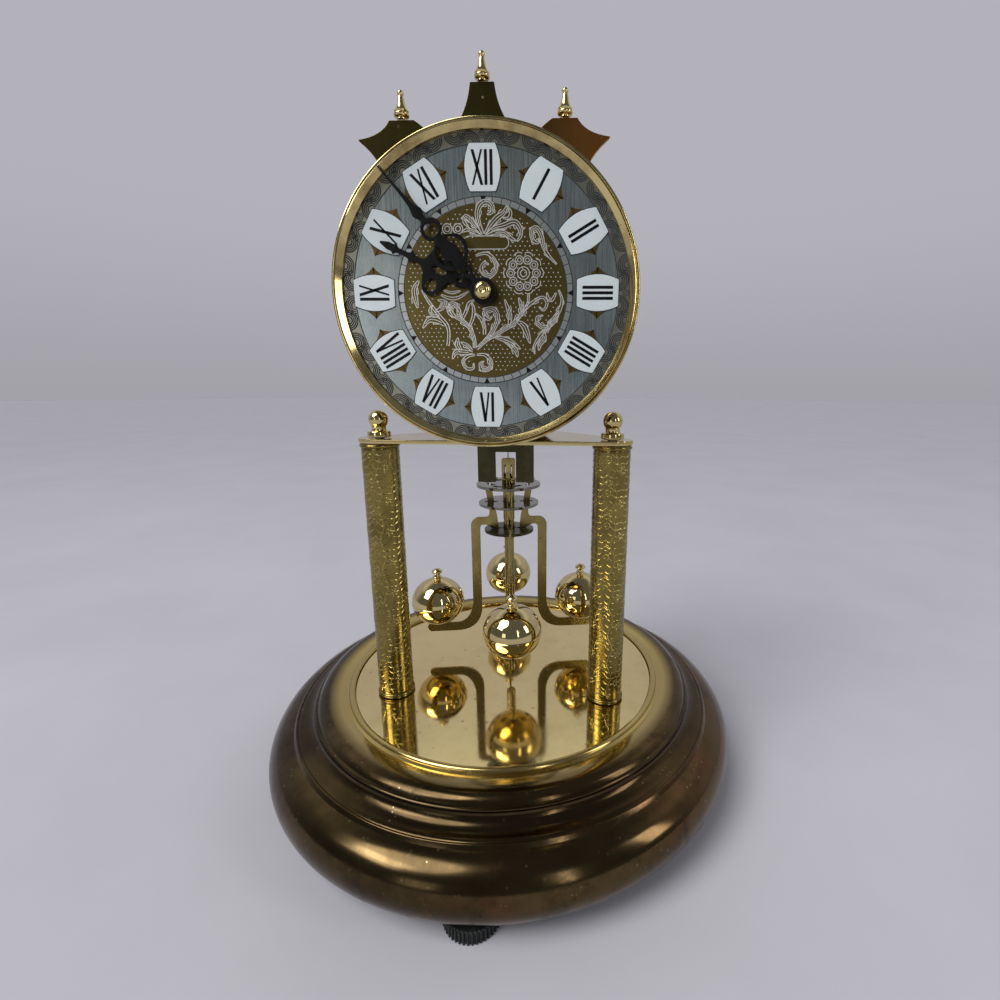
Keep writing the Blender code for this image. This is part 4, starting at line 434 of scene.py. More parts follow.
rough = reckon(tree, "MULTIPLY_ADD", streaks, 0.14, rough)
surface(tree, shader, colour, rough, lined.outputs["Height"], 0.10, 0.06)
fitted(at_place(shell), aged_brass, "case", "bronze", "base_shell")

# Mirror plate: a flat disc of polished brass let into the shell, held down by the two pillars. Its lacquer
# has small dull spots, and it shows the pendulum upside down.

PLATE_RADIUS = 64.5
PLATE_TOP = 34.8
PLATE_DEEP = 1.5
PILLAR_PLACES = ((-43.4, -21.5), (43.4, -21.5))
PILLAR_HOLE = 1.85


def ring_outline(radius, count, centre=(0, 0), turn=0.0):
    """The corners of a circle, or of a regular shape with few corners."""
    angles = [turn + math.tau * step / count for step in range(count)]
    return [(centre[0] + radius * math.cos(angle), centre[1] + radius * math.sin(angle)) for angle in angles]


def cut_sheet(name, outlines, thickness, edge=0.12, rounds=1):
    """Flat sheet cut to closed outlines in millimetres, holes included, with eased edges, on height 0."""
    curve = bpy.data.curves.new(name, "CURVE")
    curve.dimensions = "2D"
    curve.fill_mode = "BOTH"
    for outline in outlines:
        spline = curve.splines.new("POLY")
        spline.points.add(len(outline) - 1)
        for point, (x, y) in zip(spline.points, outline):
            point.co = (x, y, 0, 1)
        spline.use_cyclic_u = True
    curve.extrude = thickness / 2 - edge
    curve.bevel_depth = edge
    curve.bevel_resolution = rounds
    curve.offset = -edge
    sheet = bpy.data.objects.new(name, curve)
    scene.collection.objects.link(sheet)
    take(sheet)
    bpy.ops.object.convert(target="MESH")
    sheet = bpy.context.object
    open_mesh()
    bpy.ops.mesh.remove_doubles(threshold=0.0005)
    bpy.ops.mesh.normals_make_consistent(inside=False)
    bpy.ops.transform.translate(value=(0, 0, thickness / 2))
    close_mesh()
    return sheet


plate_outlines = [ring_outline(PLATE_RADIUS, 192)]
plate_outlines += [ring_outline(PILLAR_HOLE, 24, place, 0.1) for place in PILLAR_PLACES]
plate = cut_sheet("polished_plate", plate_outlines, PLATE_DEEP, 0.2)
mirror_brass = metal("mirror brass", (0.85, 0.69, 0.335), (0.66, 0.515, 0.225), 0.05, 0.16, patches=26,
    cover=0.40, softness=0.22, stretch=(900, 60, 900), turn=(0, 0, 0.6), depth=0.03,
    dirt=(0.42, 0.33, 0.20), dirt_scale=420, dirt_share=0.16)
at_place(plate, Matrix.Translation((0, 0, (PLATE_TOP - PLATE_DEEP) * mm)))
fitted(plate, mirror_brass, "case", "polished", "mirror_plate")

# Levelling feet: three black knurled thumb discs under the rim, each on a screw through a boss of the steel
# floor plate that closes the base from below.

FOOT_CIRCLE = 85.5
FOOT_ANGLES = {"front": -90, "right": 30, "left": 150}
FOOT_RADIUS = 9.3
FOOT_DEEP = 4.4
KNURLS = 44

notched = []
for knurl in range(KNURLS):
    for share, radius in ((0.0, FOOT_RADIUS), (0.28, FOOT_RADIUS), (0.5, FOOT_RADIUS - 0.55),
            (0.78, FOOT_RADIUS - 0.55)):
        angle = math.tau * (knurl + share) / KNURLS
        notched.append((radius * math.cos(angle), radius * math.sin(angle)))
black_steel = metal("black foot", (0.030, 0.034, 0.033), (0.060, 0.066, 0.058), 0.42, 0.62, patches=160,
    cover=0.4, depth=0.2, dirt=(0.14, 0.13, 0.10), dirt_scale=700, dirt_share=0.2)
black_steel.node_tree.nodes["Principled BSDF"].inputs["Metallic"].default_value = 0.6
foot_spots = {}
for name, degrees in FOOT_ANGLES.items():
    angle = math.radians(degrees)
    foot_spots[name] = (FOOT_CIRCLE * math.cos(angle), FOOT_CIRCLE * math.sin(angle))
    disc = cut_sheet("foot_disc", [notched], FOOT_DEEP, 0.35, 2)
    thread = [(2.15 if turn % 2 else 2.5, 7.2 + 0.35 * turn) for turn in range(29)]
    screw = turned("foot_screw_" + name, [(0, 4.0), (4.2, 4.0), (4.2, 6.4), (3.9, 6.7), (2.5, 6.7)]
        + thread + [(2.0, 17.5), (0, 17.5)], 28)
    take(screw, disc)
    bpy.ops.object.join()
    at_place(screw, Matrix.Translation((foot_spots[name][0] * mm, foot_spots[name][1] * mm, 0)))
    screw.name = "thumb_foot_" + name
    fitted(screw, black_steel, "foot_" + name, "dark", "levelling_foot_" + name)

FLOOR_PLATE_RADIUS = 91.1
FLOOR_PLATE_BOTTOM = 7.0
FLOOR_PLATE_DEEP = 1.6
BOSS_RADIUS = 4.4
SCREW_HOLE = 2.85
outlines = [ring_outline(FLOOR_PLATE_RADIUS, 160)]
outlines += [ring_outline(PILLAR_HOLE, 24, place, 0.1) for place in PILLAR_PLACES]
outlines += [ring_outline(SCREW_HOLE, 24, spot, 0.1) for spot in foot_spots.values()]
steel = metal("plain steel", (0.46, 0.46, 0.47), (0.34, 0.33, 0.32), 0.28, 0.42, patches=40,
    stretch=(500, 40, 500), depth=0.1, dirt=(0.20, 0.16, 0.12), dirt_scale=300)
under = at_place(cut_sheet("closing_plate", outlines, FLOOR_PLATE_DEEP, 0.25),
    Matrix.Translation((0, 0, FLOOR_PLATE_BOTTOM * mm)))
fitted(under, steel, "case", "steel", "floor_plate")
boss_profile = [(SCREW_HOLE, 0), (BOSS_RADIUS, 0), (BOSS_RADIUS, 3.1), (BOSS_RADIUS - 0.4, 3.5),
    (SCREW_HOLE, 3.5), (SCREW_HOLE, 0)]
boss_foot = FLOOR_PLATE_BOTTOM + FLOOR_PLATE_DEEP
for name, spot in foot_spots.items():
    boss = turned("foot_boss_" + name, boss_profile, 28)
    at_place(boss, Matrix.Translation((spot[0] * mm, spot[1] * mm, boss_foot * mm)))
    fitted(boss, steel, "case", "steel")

# Pillars: brass tube with a bead at each end, rolled all over with a raised leafy vine on a stippled
# ground. A steel tie rod runs through each, from a hexagon nut under the base to the ball nut on top.

PILLAR_RADIUS = 6.85
PILLAR_FOOT = 35.1
PILLAR_HEAD = 138.7
PILLAR_BEAD = 7.4
VINE_BOTTOM = 37.9
VINE_TOP = 135.9
VINE_ROWS = 8
VINE_COLUMNS = 4
VINE_WIDTH = math.tau * PILLAR_RADIUS / VINE_COLUMNS
VINE_HEIGHT = (VINE_TOP - VINE_BOTTOM) / VINE_ROWS
RELIEF = 0.42


def flowing(points, steps=4, closed=False):
    """A smooth run of points through the given ones, as a drawing curve passes through pegs."""
    run = []
    count = len(points)
    spans = count if closed else count - 1
    for span in range(spans):
        near = [points[(span + k) % count] if closed else points[min(max(span + k, 0), count - 1)]
            for k in (-1, 0, 1, 2)]
        for step in range(steps):
            t = step / steps
            run.append(tuple(0.5 * (2 * b + (c - a) * t + (2 * a - 5 * b + 4 * c - d) * t ** 2
                + (3 * b - a - 3 * c + d) * t ** 3) for a, b, c, d in zip(*near)))
    if not closed:
        run.append(tuple(points[-1]))
    return run


def strokes(name, lines, flatness, rounds=0, height=0.0):
    """Raised lines of (x, y, half width) points in millimetres, each a low ridge on the given height."""
    curve = bpy.data.curves.new(name, "CURVE")
    curve.dimensions = "3D"
    for line in lines:
        spline = curve.splines.new("POLY")
        spline.points.add(len(line) - 1)
        for point, (x, y, half) in zip(spline.points, line):
            point.co = (x, y, 0, 1)
            point.radius = half
    curve.bevel_depth = 1.0
    curve.bevel_resolution = rounds
    curve.use_fill_caps = True
    ridge = bpy.data.objects.new(name, curve)
    scene.collection.objects.link(ridge)
    take(ridge)
    bpy.ops.object.convert(target="MESH")
    ridge = bpy.context.object
    open_mesh()
    bpy.ops.transform.resize(value=(1, 1, flatness), center_override=(0, 0, 0))
    bpy.ops.transform.translate(value=(0, 0, height))
    close_mesh()
    return ridge


def joined(pieces, name):
    take(*pieces)
    bpy.ops.object.join()
    whole = bpy.context.object
    whole.name = name
    return whole


def copied(piece, place=Matrix(), name=None):
    """A copy with a mesh of its own, moved by a place in the piece's own units."""
    twin = piece.copy()
    twin.data = piece.data.copy()
    if name:
        twin.name = name
    scene.collection.objects.link(twin)
    twin.data.transform(place)
    return twin


def lift(piece, height):
    """Moves a mesh up its own axis, in millimetres."""
    piece.data.transform(Matrix.Translation((0, 0, height)))


def leaf_line(start, middle, end, width):
    """A leaf as one swelling stroke."""
    run = bent_points(start, middle, end, 6)
    swell = (0.25, 0.75, 1.0, 0.92, 0.68, 0.38, 0.12)
    return [(x, y, width * share) for (x, y), share in zip(run, swell)]


def scroll_line(centre, radius, start, turns, width, steps=12):
    """A tendril that winds inwards from a radius, with a bud at its end. Negative turns wind clockwise."""
    run = []
    for step in range(steps + 1):
        share = step / steps
        angle = start + math.tau * turns * share
        reach = radius * (1 - 0.78 * share)
        run.append((centre[0] + reach * math.cos(angle), centre[1] + reach * math.sin(angle),
            width * (1 - 0.35 * share)))
    run.append((run[-1][0], run[-1][1] + 0.05, width * 1.5))
    return run


LEAF_STEP = 2.15
LEAF_LONG = 2.3
LEAF_WIDE = 0.36
STEM_HALF = 0.13
vine = []
for stem_share, lean in ((0.27, 1), (0.77, -1)):
    stem = []
    for step in range(17):
        share = step / 16
        stem.append((VINE_WIDTH * stem_share + lean * 0.9 * math.sin(math.tau * share),
            VINE_HEIGHT * share, STEM_HALF))
    vine.append(stem)
    count = int(VINE_HEIGHT / LEAF_STEP)
    for step in range(count):
        y = VINE_HEIGHT * (step + 0.5) / count
        x = VINE_WIDTH * stem_share + lean * 0.9 * math.sin(math.tau * y / VINE_HEIGHT)
        for side in (-1, 1):
            rise = LEAF_LONG * (0.75 if side == lean else 0.25)
            vine.append(leaf_line((x, y), (x + side * LEAF_LONG * 0.45, y + rise * 0.2),
                (x + side * LEAF_LONG, y + rise), LEAF_WIDE))
flower = (VINE_WIDTH * 0.02 + 0.2, VINE_HEIGHT * 0.5)
vine.append([(x, y, 0.22) for x, y in ring_outline(0.75, 10, flower)]
    + [(flower[0] + 0.75, flower[1], 0.22)])
for petal in range(6):
    turn = math.tau * petal / 6
    near = (flower[0] + 1.0 * math.cos(turn), flower[1] + 1.0 * math.sin(turn))
    far = (flower[0] + 2.1 * math.cos(turn + 0.3), flower[1] + 2.1 * math.sin(turn + 0.3))
    vine.append(leaf_line(near, (near[0] + 0.4, near[1] + 0.4), far, 0.42))
for side in (-1, 1):
    start = (VINE_WIDTH * 0.52, VINE_HEIGHT * (0.5 + side * 0.36))
    vine.append(scroll_line(start, 1.5, -side * math.pi / 2, side * 1.2, 0.22, 10))
motif = strokes("vine_motif", vine, RELIEF)
copies = []
for row in range(VINE_ROWS):
    for column in range(VINE_COLUMNS):
        copies.append(copied(motif, Matrix.Translation((VINE_WIDTH * column, VINE_HEIGHT * row, 0))))
bpy.data.objects.remove(motif)
vine_sheet = joined(copies, "vine")
for vertex in vine_sheet.data.vertices:
    x, y, z = vertex.co
    angle = x / PILLAR_RADIUS
    reach = PILLAR_RADIUS - 0.02 + z
    vertex.co = (reach * math.cos(angle), reach * math.sin(angle), VINE_BOTTOM + y)

engraved_brass, tree, shader, where = new_material("rolled brass")
shader.inputs["Metallic"].default_value = 1.0
dulling_and_reflection = effect(tree, tarnish_and_reflection, vector=where, scale=70, cover=0.48, softness=0.2).outputs["Mask"]
colour = mixed(tree, dulling_and_reflection, (0.31, 0.24, 0.070, 1), (0.150, 0.115, 0.035, 1))
stipple = add_node(tree, "ShaderNodeTexVoronoi", inputs={"Vector": where, "Scale": 1500.0})
pit = between(tree, stipple.outputs["Distance"], 1, 0, 0.1, 0.5)
colour = mixed(tree, between(tree, pit, 0, 0.40), colour, (0.12, 0.085, 0.02, 1))
surface(tree, shader, colour, between(tree, dulling_and_reflection, 0.17, 0.28), stipple.outputs["Distance"], 0.25, 0.12)

vine_brass = metal("vine brass", (0.50, 0.41, 0.15), (0.27, 0.21, 0.07), 0.22, 0.34, patches=60, depth=0.05)
bright_brass = metal("bright brass", (0.66, 0.53, 0.24), (0.44, 0.33, 0.12), 0.07, 0.18, patches=45,
    cover=0.35, softness=0.2, stretch=(160, 160, 700), depth=0.03, dirt=(0.30, 0.21, 0.08), dirt_scale=600,
    dirt_share=0.08)

bead = PILLAR_BEAD
low, high = PILLAR_FOOT, PILLAR_HEAD
wall = 6.15
pillar_profile = [(PILLAR_HOLE, low), (bead - 0.25, low)]
pillar_profile += arc_points((bead - 0.75, low + 0.9), 0.75, -60, 80, 6)
pillar_profile += [(PILLAR_RADIUS, low + 1.95), (PILLAR_RADIUS, low + 2.6), (PILLAR_RADIUS, high - 2.6),
    (PILLAR_RADIUS, high - 1.95)]
pillar_profile += arc_points((bead - 0.75, high - 0.9), 0.75, -80, 60, 6)
pillar_profile += [(bead - 0.25, high), (PILLAR_HOLE, high), (PILLAR_HOLE, high - 1.5), (wall, high - 1.5),
    (wall, low + 1.5), (PILLAR_HOLE, low + 1.5), (PILLAR_HOLE, low)]
tie_profile = [(0, 6.7), (1.5, 6.7), (1.5, 145.1), (1.2, 145.5), (0, 145.5)]
nut_profile = [(1.85, 140.8), (4.1, 140.8), (4.3, 141.0), (4.3, 142.5), (4.05, 142.9), (3.3, 143.0),
    (2.75, 143.3), (2.6, 143.8), (2.75, 144.5)]
nut_profile += arc_points((0, 147.2), 3.58, -44, 90, 14)[:-1] + [(0, 150.78), (0, 145.8), (1.85, 145.8),
    (1.85, 140.8)]
for side, place in zip(("left", "right"), PILLAR_PLACES):
    spot = Matrix.Translation((place[0] * mm, place[1] * mm, 0))
    tube = at_place(turned("rolled_pillar_" + side, pillar_profile, 72), spot)
    fitted(tube, engraved_brass, "case", "brass", "pillar_" + side)
    leaves = at_place(copied(vine_sheet, name="pillar_vine_" + side), spot @ Matrix.Rotation(0.5, 4, "Z"))
    fitted(leaves, vine_brass, "case", "brass")
    ball_nut = at_place(turned("ball_topped_nut_" + side, nut_profile, 48), spot)
    fitted(ball_nut, bright_brass, "case", "polished", "ball_nut_" + side)
    rod = turned("tie_shank_" + side, tie_profile, 20)
    hexagon = cut_sheet("tie_nut", [ring_outline(4.2, 6, turn=0.2)], 2.5, 0.3)
    lift(hexagon, 4.2)
    rod = at_place(joined([rod, hexagon], "tie_bar_" + side), spot)
    fitted(rod, steel, "case", "steel", "tie_rod_" + side)
bpy.data.objects.remove(vine_sheet)

# Platform: a flat bar of polished brass with rounded ends across the pillar heads, which widens to the back
# under the movement. The guard bracket hangs from it, a dark sheet fork round the head of the pendulum.

PLATFORM_BOTTOM = 139.0
PLATFORM_DEEP = 1.5
PLATFORM_END = 7.6
PLATFORM_BACK = 11.2
PLATFORM_BACK_HALF = 24.0
side_points = [(0, PILLAR_PLACES[1][1] - PLATFORM_END)]
side_points += arc_points(PILLAR_PLACES[1], PLATFORM_END, -90, 60, 18)
side_points.append((PLATFORM_BACK_HALF, PLATFORM_BACK))
outline = side_points + [(-x, y) for x, y in side_points[:0:-1]]
bar = cut_sheet("head_bar", [outline] + [ring_outline(PILLAR_HOLE, 24, place, 0.1)
    for place in PILLAR_PLACES], PLATFORM_DEEP, 0.2)
at_place(bar, Matrix.Translation((0, 0, PLATFORM_BOTTOM * mm)))
fitted(bar, bright_brass, "case", "polished", "platform")


def eased_copy(node, name, width=0.14, rounds=2):
    """A copy of a plain node with its edges eased by a file's width in millimetres."""
    twin = copied(nodes[node], name=name)
    twin.parent = None
    for key in list(twin.keys()):
        if key.startswith("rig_"):
            del twin[key]
    twin.matrix_world = Matrix()
    twin.hide_render = False
    take(twin)
    open_mesh()
    bpy.ops.mesh.remove_doubles(threshold=0.000002)
    bpy.ops.mesh.dissolve_limited(angle_limit=math.radians(1))
    close_mesh()
    bevel = twin.modifiers.new("eased edges", "BEVEL")
    bevel.width = width * mm
    bevel.segments = rounds
    bevel.limit_method = "ANGLE"
    bevel.angle_limit = math.radians(35)
    bpy.ops.object.modifier_apply(modifier=bevel.name)
    return twin


dark_brass = metal("dark brass", (0.085, 0.078, 0.034), (0.045, 0.042, 0.022), 0.20, 0.34, patches=60,
    cover=0.5, softness=0.2, stretch=(60, 60, 1200), depth=0.06)
fitted(eased_copy("guard_bracket", "guard_fork"), dark_brass, "case", "dark_brass", "guard_bracket")

# Dial: a round plate of brushed, silvered brass. It carries a gold-coloured centre with engraved scrolls
# and a small plain panel, a minute ring, twelve white enamelled panels with black numerals over bronze
# points, and a border of waves between small rings.

DIAL_CENTRE = 188.7
DIAL_RADIUS = 47.2
DIAL_BACK = 35.7
DIAL_DEEP = 0.8
DIAL_HOLE = 3.4
DIAL_FOOT_SPREAD = 26.5
GOLD_DEEP = 0.14
TRACK_DEEP = 0.08
BORDER_DEEP = 0.05
GOLD_RADIUS = 26.1
TRACK_OUTER = 28.2
PANEL_CENTRE = 36.0
PANEL_LONG = 13.2
PANEL_WIDE = 11.0
PANEL_END = 7.9
POINT_REACH = 8.0
BORDER_INNER = 42.5
BORDER_OUTER = 46.2
BORDER_RING = 45.0
DIAL_FRONT = DIAL_BACK + DIAL_DEEP


def facing(across, height, forward=0.0):
    """The place of a piece drawn flat that stands facing the viewer, this far forward and this high."""
    stood_up = Matrix.Rotation(math.pi / 2, 4, "X")
    return Matrix.Translation((across * mm, -forward * mm, height * mm)) @ stood_up


def on_axis(piece):
    """Brings a piece drawn round the hands' axis to its place in the frame."""
    return at_place(piece, facing(0, DIAL_CENTRE))


brushed_silver, tree, shader, where = new_material("brushed silver")
shader.inputs["Metallic"].default_value = 1.0
# Painted reflection: random patches of light teal, dark teal and warm grey in the silver's colour stand in
# for the room reflected in the brushed dial.
dulling_and_reflection = effect(tree, tarnish_and_reflection, vector=where, scale=20, cover=0.48, softness=0.22).outputs["Mask"]
warm_reflection = effect(tree, tarnish_and_reflection, vector=where, scale=11, cover=0.42, softness=0.14).outputs["Mask"]
drawn = effect(tree, marks, vector=where, stretch=(5200, 200, 55))
colour = mixed(tree, dulling_and_reflection, (0.42, 0.50, 0.50, 1), (0.17, 0.22, 0.225, 1))
colour = mixed(tree, between(tree, warm_reflection, 0, 0.8), colour, (0.33, 0.305, 0.25, 1))
colour = mixed(tree, between(tree, drawn.outputs["Height"], 0, 0.38, 0.38, 0.62), colour,
    (0.58, 0.61, 0.60, 1))
surface(tree, shader, colour, between(tree, drawn.outputs["Height"], 0.22, 0.36, 0.3, 0.7),
    drawn.outputs["Height"], 0.10, 0.03)

gold = metal("gold lacquer", (0.225, 0.170, 0.052), (0.155, 0.118, 0.038), 0.24, 0.36, patches=120,
    cover=0.5, softness=0.25, stretch=(1800, 200, 90), depth=0.06)
bright_line = metal("bright line", (0.93, 0.92, 0.86), (0.66, 0.64, 0.54), 0.26, 0.38, patches=45,
    cover=0.42, softness=0.2, bare=0.72)
bronze_paint = metal("bronze paint", (0.175, 0.110, 0.038), (0.120, 0.078, 0.030), 0.34, 0.48, patches=90)
track_silver = metal("track silver", (0.66, 0.68, 0.65), (0.46, 0.48, 0.46), 0.28, 0.38, patches=60,
    stretch=(3200, 200, 90))


def paint(name, colour, worn, roughness, gloss, shine=0.5):
    """A stoved paint or enamel with the least unevenness of colour and surface, under a clear gloss."""
    material, tree, shader, where = new_material(name)
    uneven = effect(tree, tarnish_and_reflection, vector=where, scale=150, cover=0.5, softness=0.3).outputs["Mask"]
    shader.inputs["Coat Weight"].default_value = gloss
    shader.inputs["Specular IOR Level"].default_value = shine
    shader.inputs["Coat Roughness"].default_value = 0.08
    lined = effect(tree, marks, vector=where, stretch=(700, 700, 700))
    rough = between(tree, uneven, roughness, roughness + 0.10)
    surface(tree, shader, mixed(tree, uneven, (*colour, 1), (*worn, 1)), rough, lined.outputs["Height"],
        0.03, 0.03)
    return material


white_enamel = paint("white enamel", (0.72, 0.79, 0.79), (0.67, 0.74, 0.75), 0.20, 0.5)
black_paint = paint("black paint", (0.0015, 0.0015, 0.0015), (0.004, 0.0038, 0.0036), 0.30, 0.0, 0.25)
dial_ink = paint("dial ink", (0.012, 0.014, 0.014), (0.026, 0.030, 0.028), 0.55, 0.0)

face = cut_sheet("dial_sheet", [ring_outline(DIAL_RADIUS, 192), ring_outline(DIAL_HOLE, 40, turn=0.05)],
    DIAL_DEEP, 0.1)
lift(face, DIAL_BACK)
dial_pieces = [face]
for sx, sy in ((-1, -1), (1, -1), (-1, 1), (1, 1)):
    foot = turned("dial_foot", [(0, 26.8), (0.9, 26.8), (1.2, 27.1), (1.2, 35.2), (1.6, DIAL_BACK + 0.1),
        (0, DIAL_BACK + 0.1)], 20)
    foot.data.transform(Matrix.Translation((sx * DIAL_FOOT_SPREAD, sy * DIAL_FOOT_SPREAD, 0)))
    dial_pieces.append(foot)
face = on_axis(joined(dial_pieces, "silvered_dial"))
fitted(face, brushed_silver, "case", "silver", "dial")

centre_disc = cut_sheet("gold_centre", [ring_outline(GOLD_RADIUS, 160), ring_outline(DIAL_HOLE + 0.05, 40,
    turn=0.05)], GOLD_DEEP, 0.03)
lift(centre_disc, DIAL_FRONT)
fitted(on_axis(centre_disc), gold, "case", "brass")

track = cut_sheet("minute_ring", [ring_outline(TRACK_OUTER, 160), ring_outline(GOLD_RADIUS + 0.03, 160,
    turn=0.01)], TRACK_DEEP, 0.02)
lift(track, DIAL_FRONT)
fitted(on_axis(track), track_silver, "case", "silver")

border_band = cut_sheet("border_band", [ring_outline(BORDER_OUTER, 160), ring_outline(BORDER_INNER, 160,
    turn=0.01)], BORDER_DEEP, 0.01)
lift(border_band, DIAL_FRONT)
border_olive = metal("border olive", (0.400, 0.395, 0.320), (0.235, 0.230, 0.175), 0.28, 0.40, patches=22,
    cover=0.48, softness=0.2, stretch=(3200, 200, 90), depth=0.06)
fitted(on_axis(border_band), border_olive, "case", "silver")


def circle_line(radius, half, count=120, centre=(0, 0)):
    run = ring_outline(radius, count, centre)
    return [(x, y, half) for x, y in run + run[:2]]


ink_lines = [circle_line(GOLD_RADIUS + 0.15, 0.16), circle_line(TRACK_OUTER - 0.05, 0.16),
    circle_line(BORDER_INNER, 0.14), circle_line(BORDER_OUTER + 0.05, 0.14)]
for minute in range(60):
    angle = math.radians(90 - 6 * minute)
    ink_lines.append([(radius * math.cos(angle), radius * math.sin(angle), 0.12)
        for radius in (GOLD_RADIUS + 0.2, TRACK_OUTER - 0.1)])
WAVE_HALF = 0.20
WAVE_MIDDLE = 44.4
wave_height = BORDER_OUTER - BORDER_INNER
# Each half of an hour has arcs that rise from the inner edge and arcs that hang from the outer one: the place
# along the border, the height they start from, their way up or down, and their radii.
WAVES = ((3.9, 0.35, 1, (1.2, 1.85, 2.5, 3.1)), (8.1, wave_height - 0.3, -1, (1.1, 1.75, 2.4, 3.0)))
for hour in range(12):
    middle_angle = math.radians(90 - 30 * hour)
    ring_centre = (BORDER_RING * math.cos(middle_angle), BORDER_RING * math.sin(middle_angle))
    ink_lines.append(circle_line(0.95, 0.12, 18, ring_centre))
    ink_lines.append(circle_line(0.45, 0.10, 12, ring_centre))
    for side in (-1, 1):
        for along, base, up, radii in WAVES:
            for radius in radii:
                run = []
                for step in range(11):
                    turn = math.pi * step / 10
                    s = along + radius * math.cos(turn)
                    t = base + up * radius * math.sin(turn) * 0.98
                    angle = middle_angle + side * s / WAVE_MIDDLE
                    reach = BORDER_INNER + min(max(t, 0.15), wave_height - 0.1)
                    run.append((reach * math.cos(angle), reach * math.sin(angle), WAVE_HALF))
                ink_lines.append(run)
ink = strokes("border_lines", ink_lines, 0.35, 0, DIAL_FRONT + 0.085)
fitted(on_axis(ink), dial_ink, "case", "silver")

half_long, half_wide, half_end = PANEL_LONG / 2, PANEL_WIDE / 2, PANEL_END / 2
right_side = bent_points((half_end, -half_long), (2 * half_wide - half_end, 0), (half_end, half_long), 14)
panel_outline = right_side + [(-x, y) for x, y in right_side[::-1]]
grown_outline = [(x * 1.055, y * 1.03) for x, y in panel_outline]
star = []
for sx, sy in ((1, 1), (-1, 1), (-1, -1), (1, -1)):
    corner = bent_points((sx * 4.15, sy * 6.1), (sx * 5.75, sy * 1.5), (sx * POINT_REACH, 0), 10)
    star += corner if sx * sy > 0 else corner[::-1]
star_outline = []
for point in star:
    if not star_outline or (Vector(point) - Vector(star_outline[-1])).length > 0.02:
        star_outline.append(point)

# Numerals: each letter is drawn in upright or slanting bars, and the four is written with four bars.
NUMERALS = {1: "I", 2: "II", 3: "III", 4: "IIII", 5: "V", 6: "VI", 7: "VII", 8: "VIII", 9: "IX", 10: "X",
    11: "XI", 12: "XII"}
LETTER_WIDTH = {"I": 1.65, "V": 3.5, "X": 3.7}
LETTER_HALF = 4.85
THICK = 0.90
THIN = 0.58


def slanted_bar(x0, y0, x1, y1, width):
    half = width / 2
    return [(x0 - half, y0), (x0 + half, y0), (x1 + half, y1), (x1 - half, y1)]


def numeral_bars(text):
    """The closed outlines of one numeral, centred, with thick and thin strokes as a pen gives them."""
    total = sum(LETTER_WIDTH[letter] for letter in text)
    x = -total / 2
    bars = []
    top, bottom = LETTER_HALF, -LETTER_HALF
    for letter in text:
        width = LETTER_WIDTH[letter]
        left, right, mid = x + 0.45, x + width - 0.45, x + width / 2
        if letter == "I":
            bars.append(slanted_bar(mid, bottom, mid, top, THICK))
        elif letter == "V":
            bars.append(slanted_bar(mid + 0.05, bottom, left, top, THICK))
            bars.append(slanted_bar(mid + 0.05, bottom, right, top, THIN))
        else:
            bars.append(slanted_bar(right, bottom, left, top, THICK))
            bars.append(slanted_bar(left, bottom, right, top, THIN))
        x += width
    return bars


panel = cut_sheet("panel", [panel_outline], 0.30, 0.10, 2)
rim_under = cut_sheet("panel_rim", [grown_outline], 0.12, 0.03)
points_under = cut_sheet("panel_points", [star_outline], 0.07, 0.02)
panels, rims, points, numerals = [], [], [], []
for hour, text in NUMERALS.items():
    angle = math.radians(90 - 30 * hour)
    outward = Matrix.Rotation(angle - math.pi / 2, 4, "Z") @ Matrix.Translation((0, PANEL_CENTRE,
        DIAL_FRONT))
    panels.append(copied(panel, outward))
    rims.append(copied(rim_under, outward))
    points.append(copied(points_under, outward))
    upright = Matrix() if 9 <= hour or hour <= 3 else Matrix.Rotation(math.pi, 4, "Z")
    for bar_outline in numeral_bars(text):
        bar = cut_sheet("numeral_bar", [bar_outline], 0.07, 0.01, 0)
        bar.data.transform(outward @ Matrix.Translation((0, 0, 0.285)) @ upright)
        numerals.append(bar)
    tip = cut_sheet("hour_mark", [[(-0.95, TRACK_OUTER - 0.05), (0.95, TRACK_OUTER - 0.05),
        (0, GOLD_RADIUS + 0.25)]], 0.07, 0.01, 0)
    tip.data.transform(Matrix.Rotation(angle - math.pi / 2, 4, "Z")
        @ Matrix.Translation((0, 0, DIAL_FRONT + 0.06)))
    numerals.append(tip)
for spare in (panel, rim_under, points_under):
    bpy.data.objects.remove(spare)
for pieces, name, material, slot in ((panels, "enamel_panels", white_enamel, "silver"),
        (rims, "panel_rims", dial_ink, "silver"), (points, "panel_points", bronze_paint, "bronze"),
        (numerals, "numerals", black_paint, "black")):
    fitted(on_axis(joined(pieces, name)), material, "case", slot)

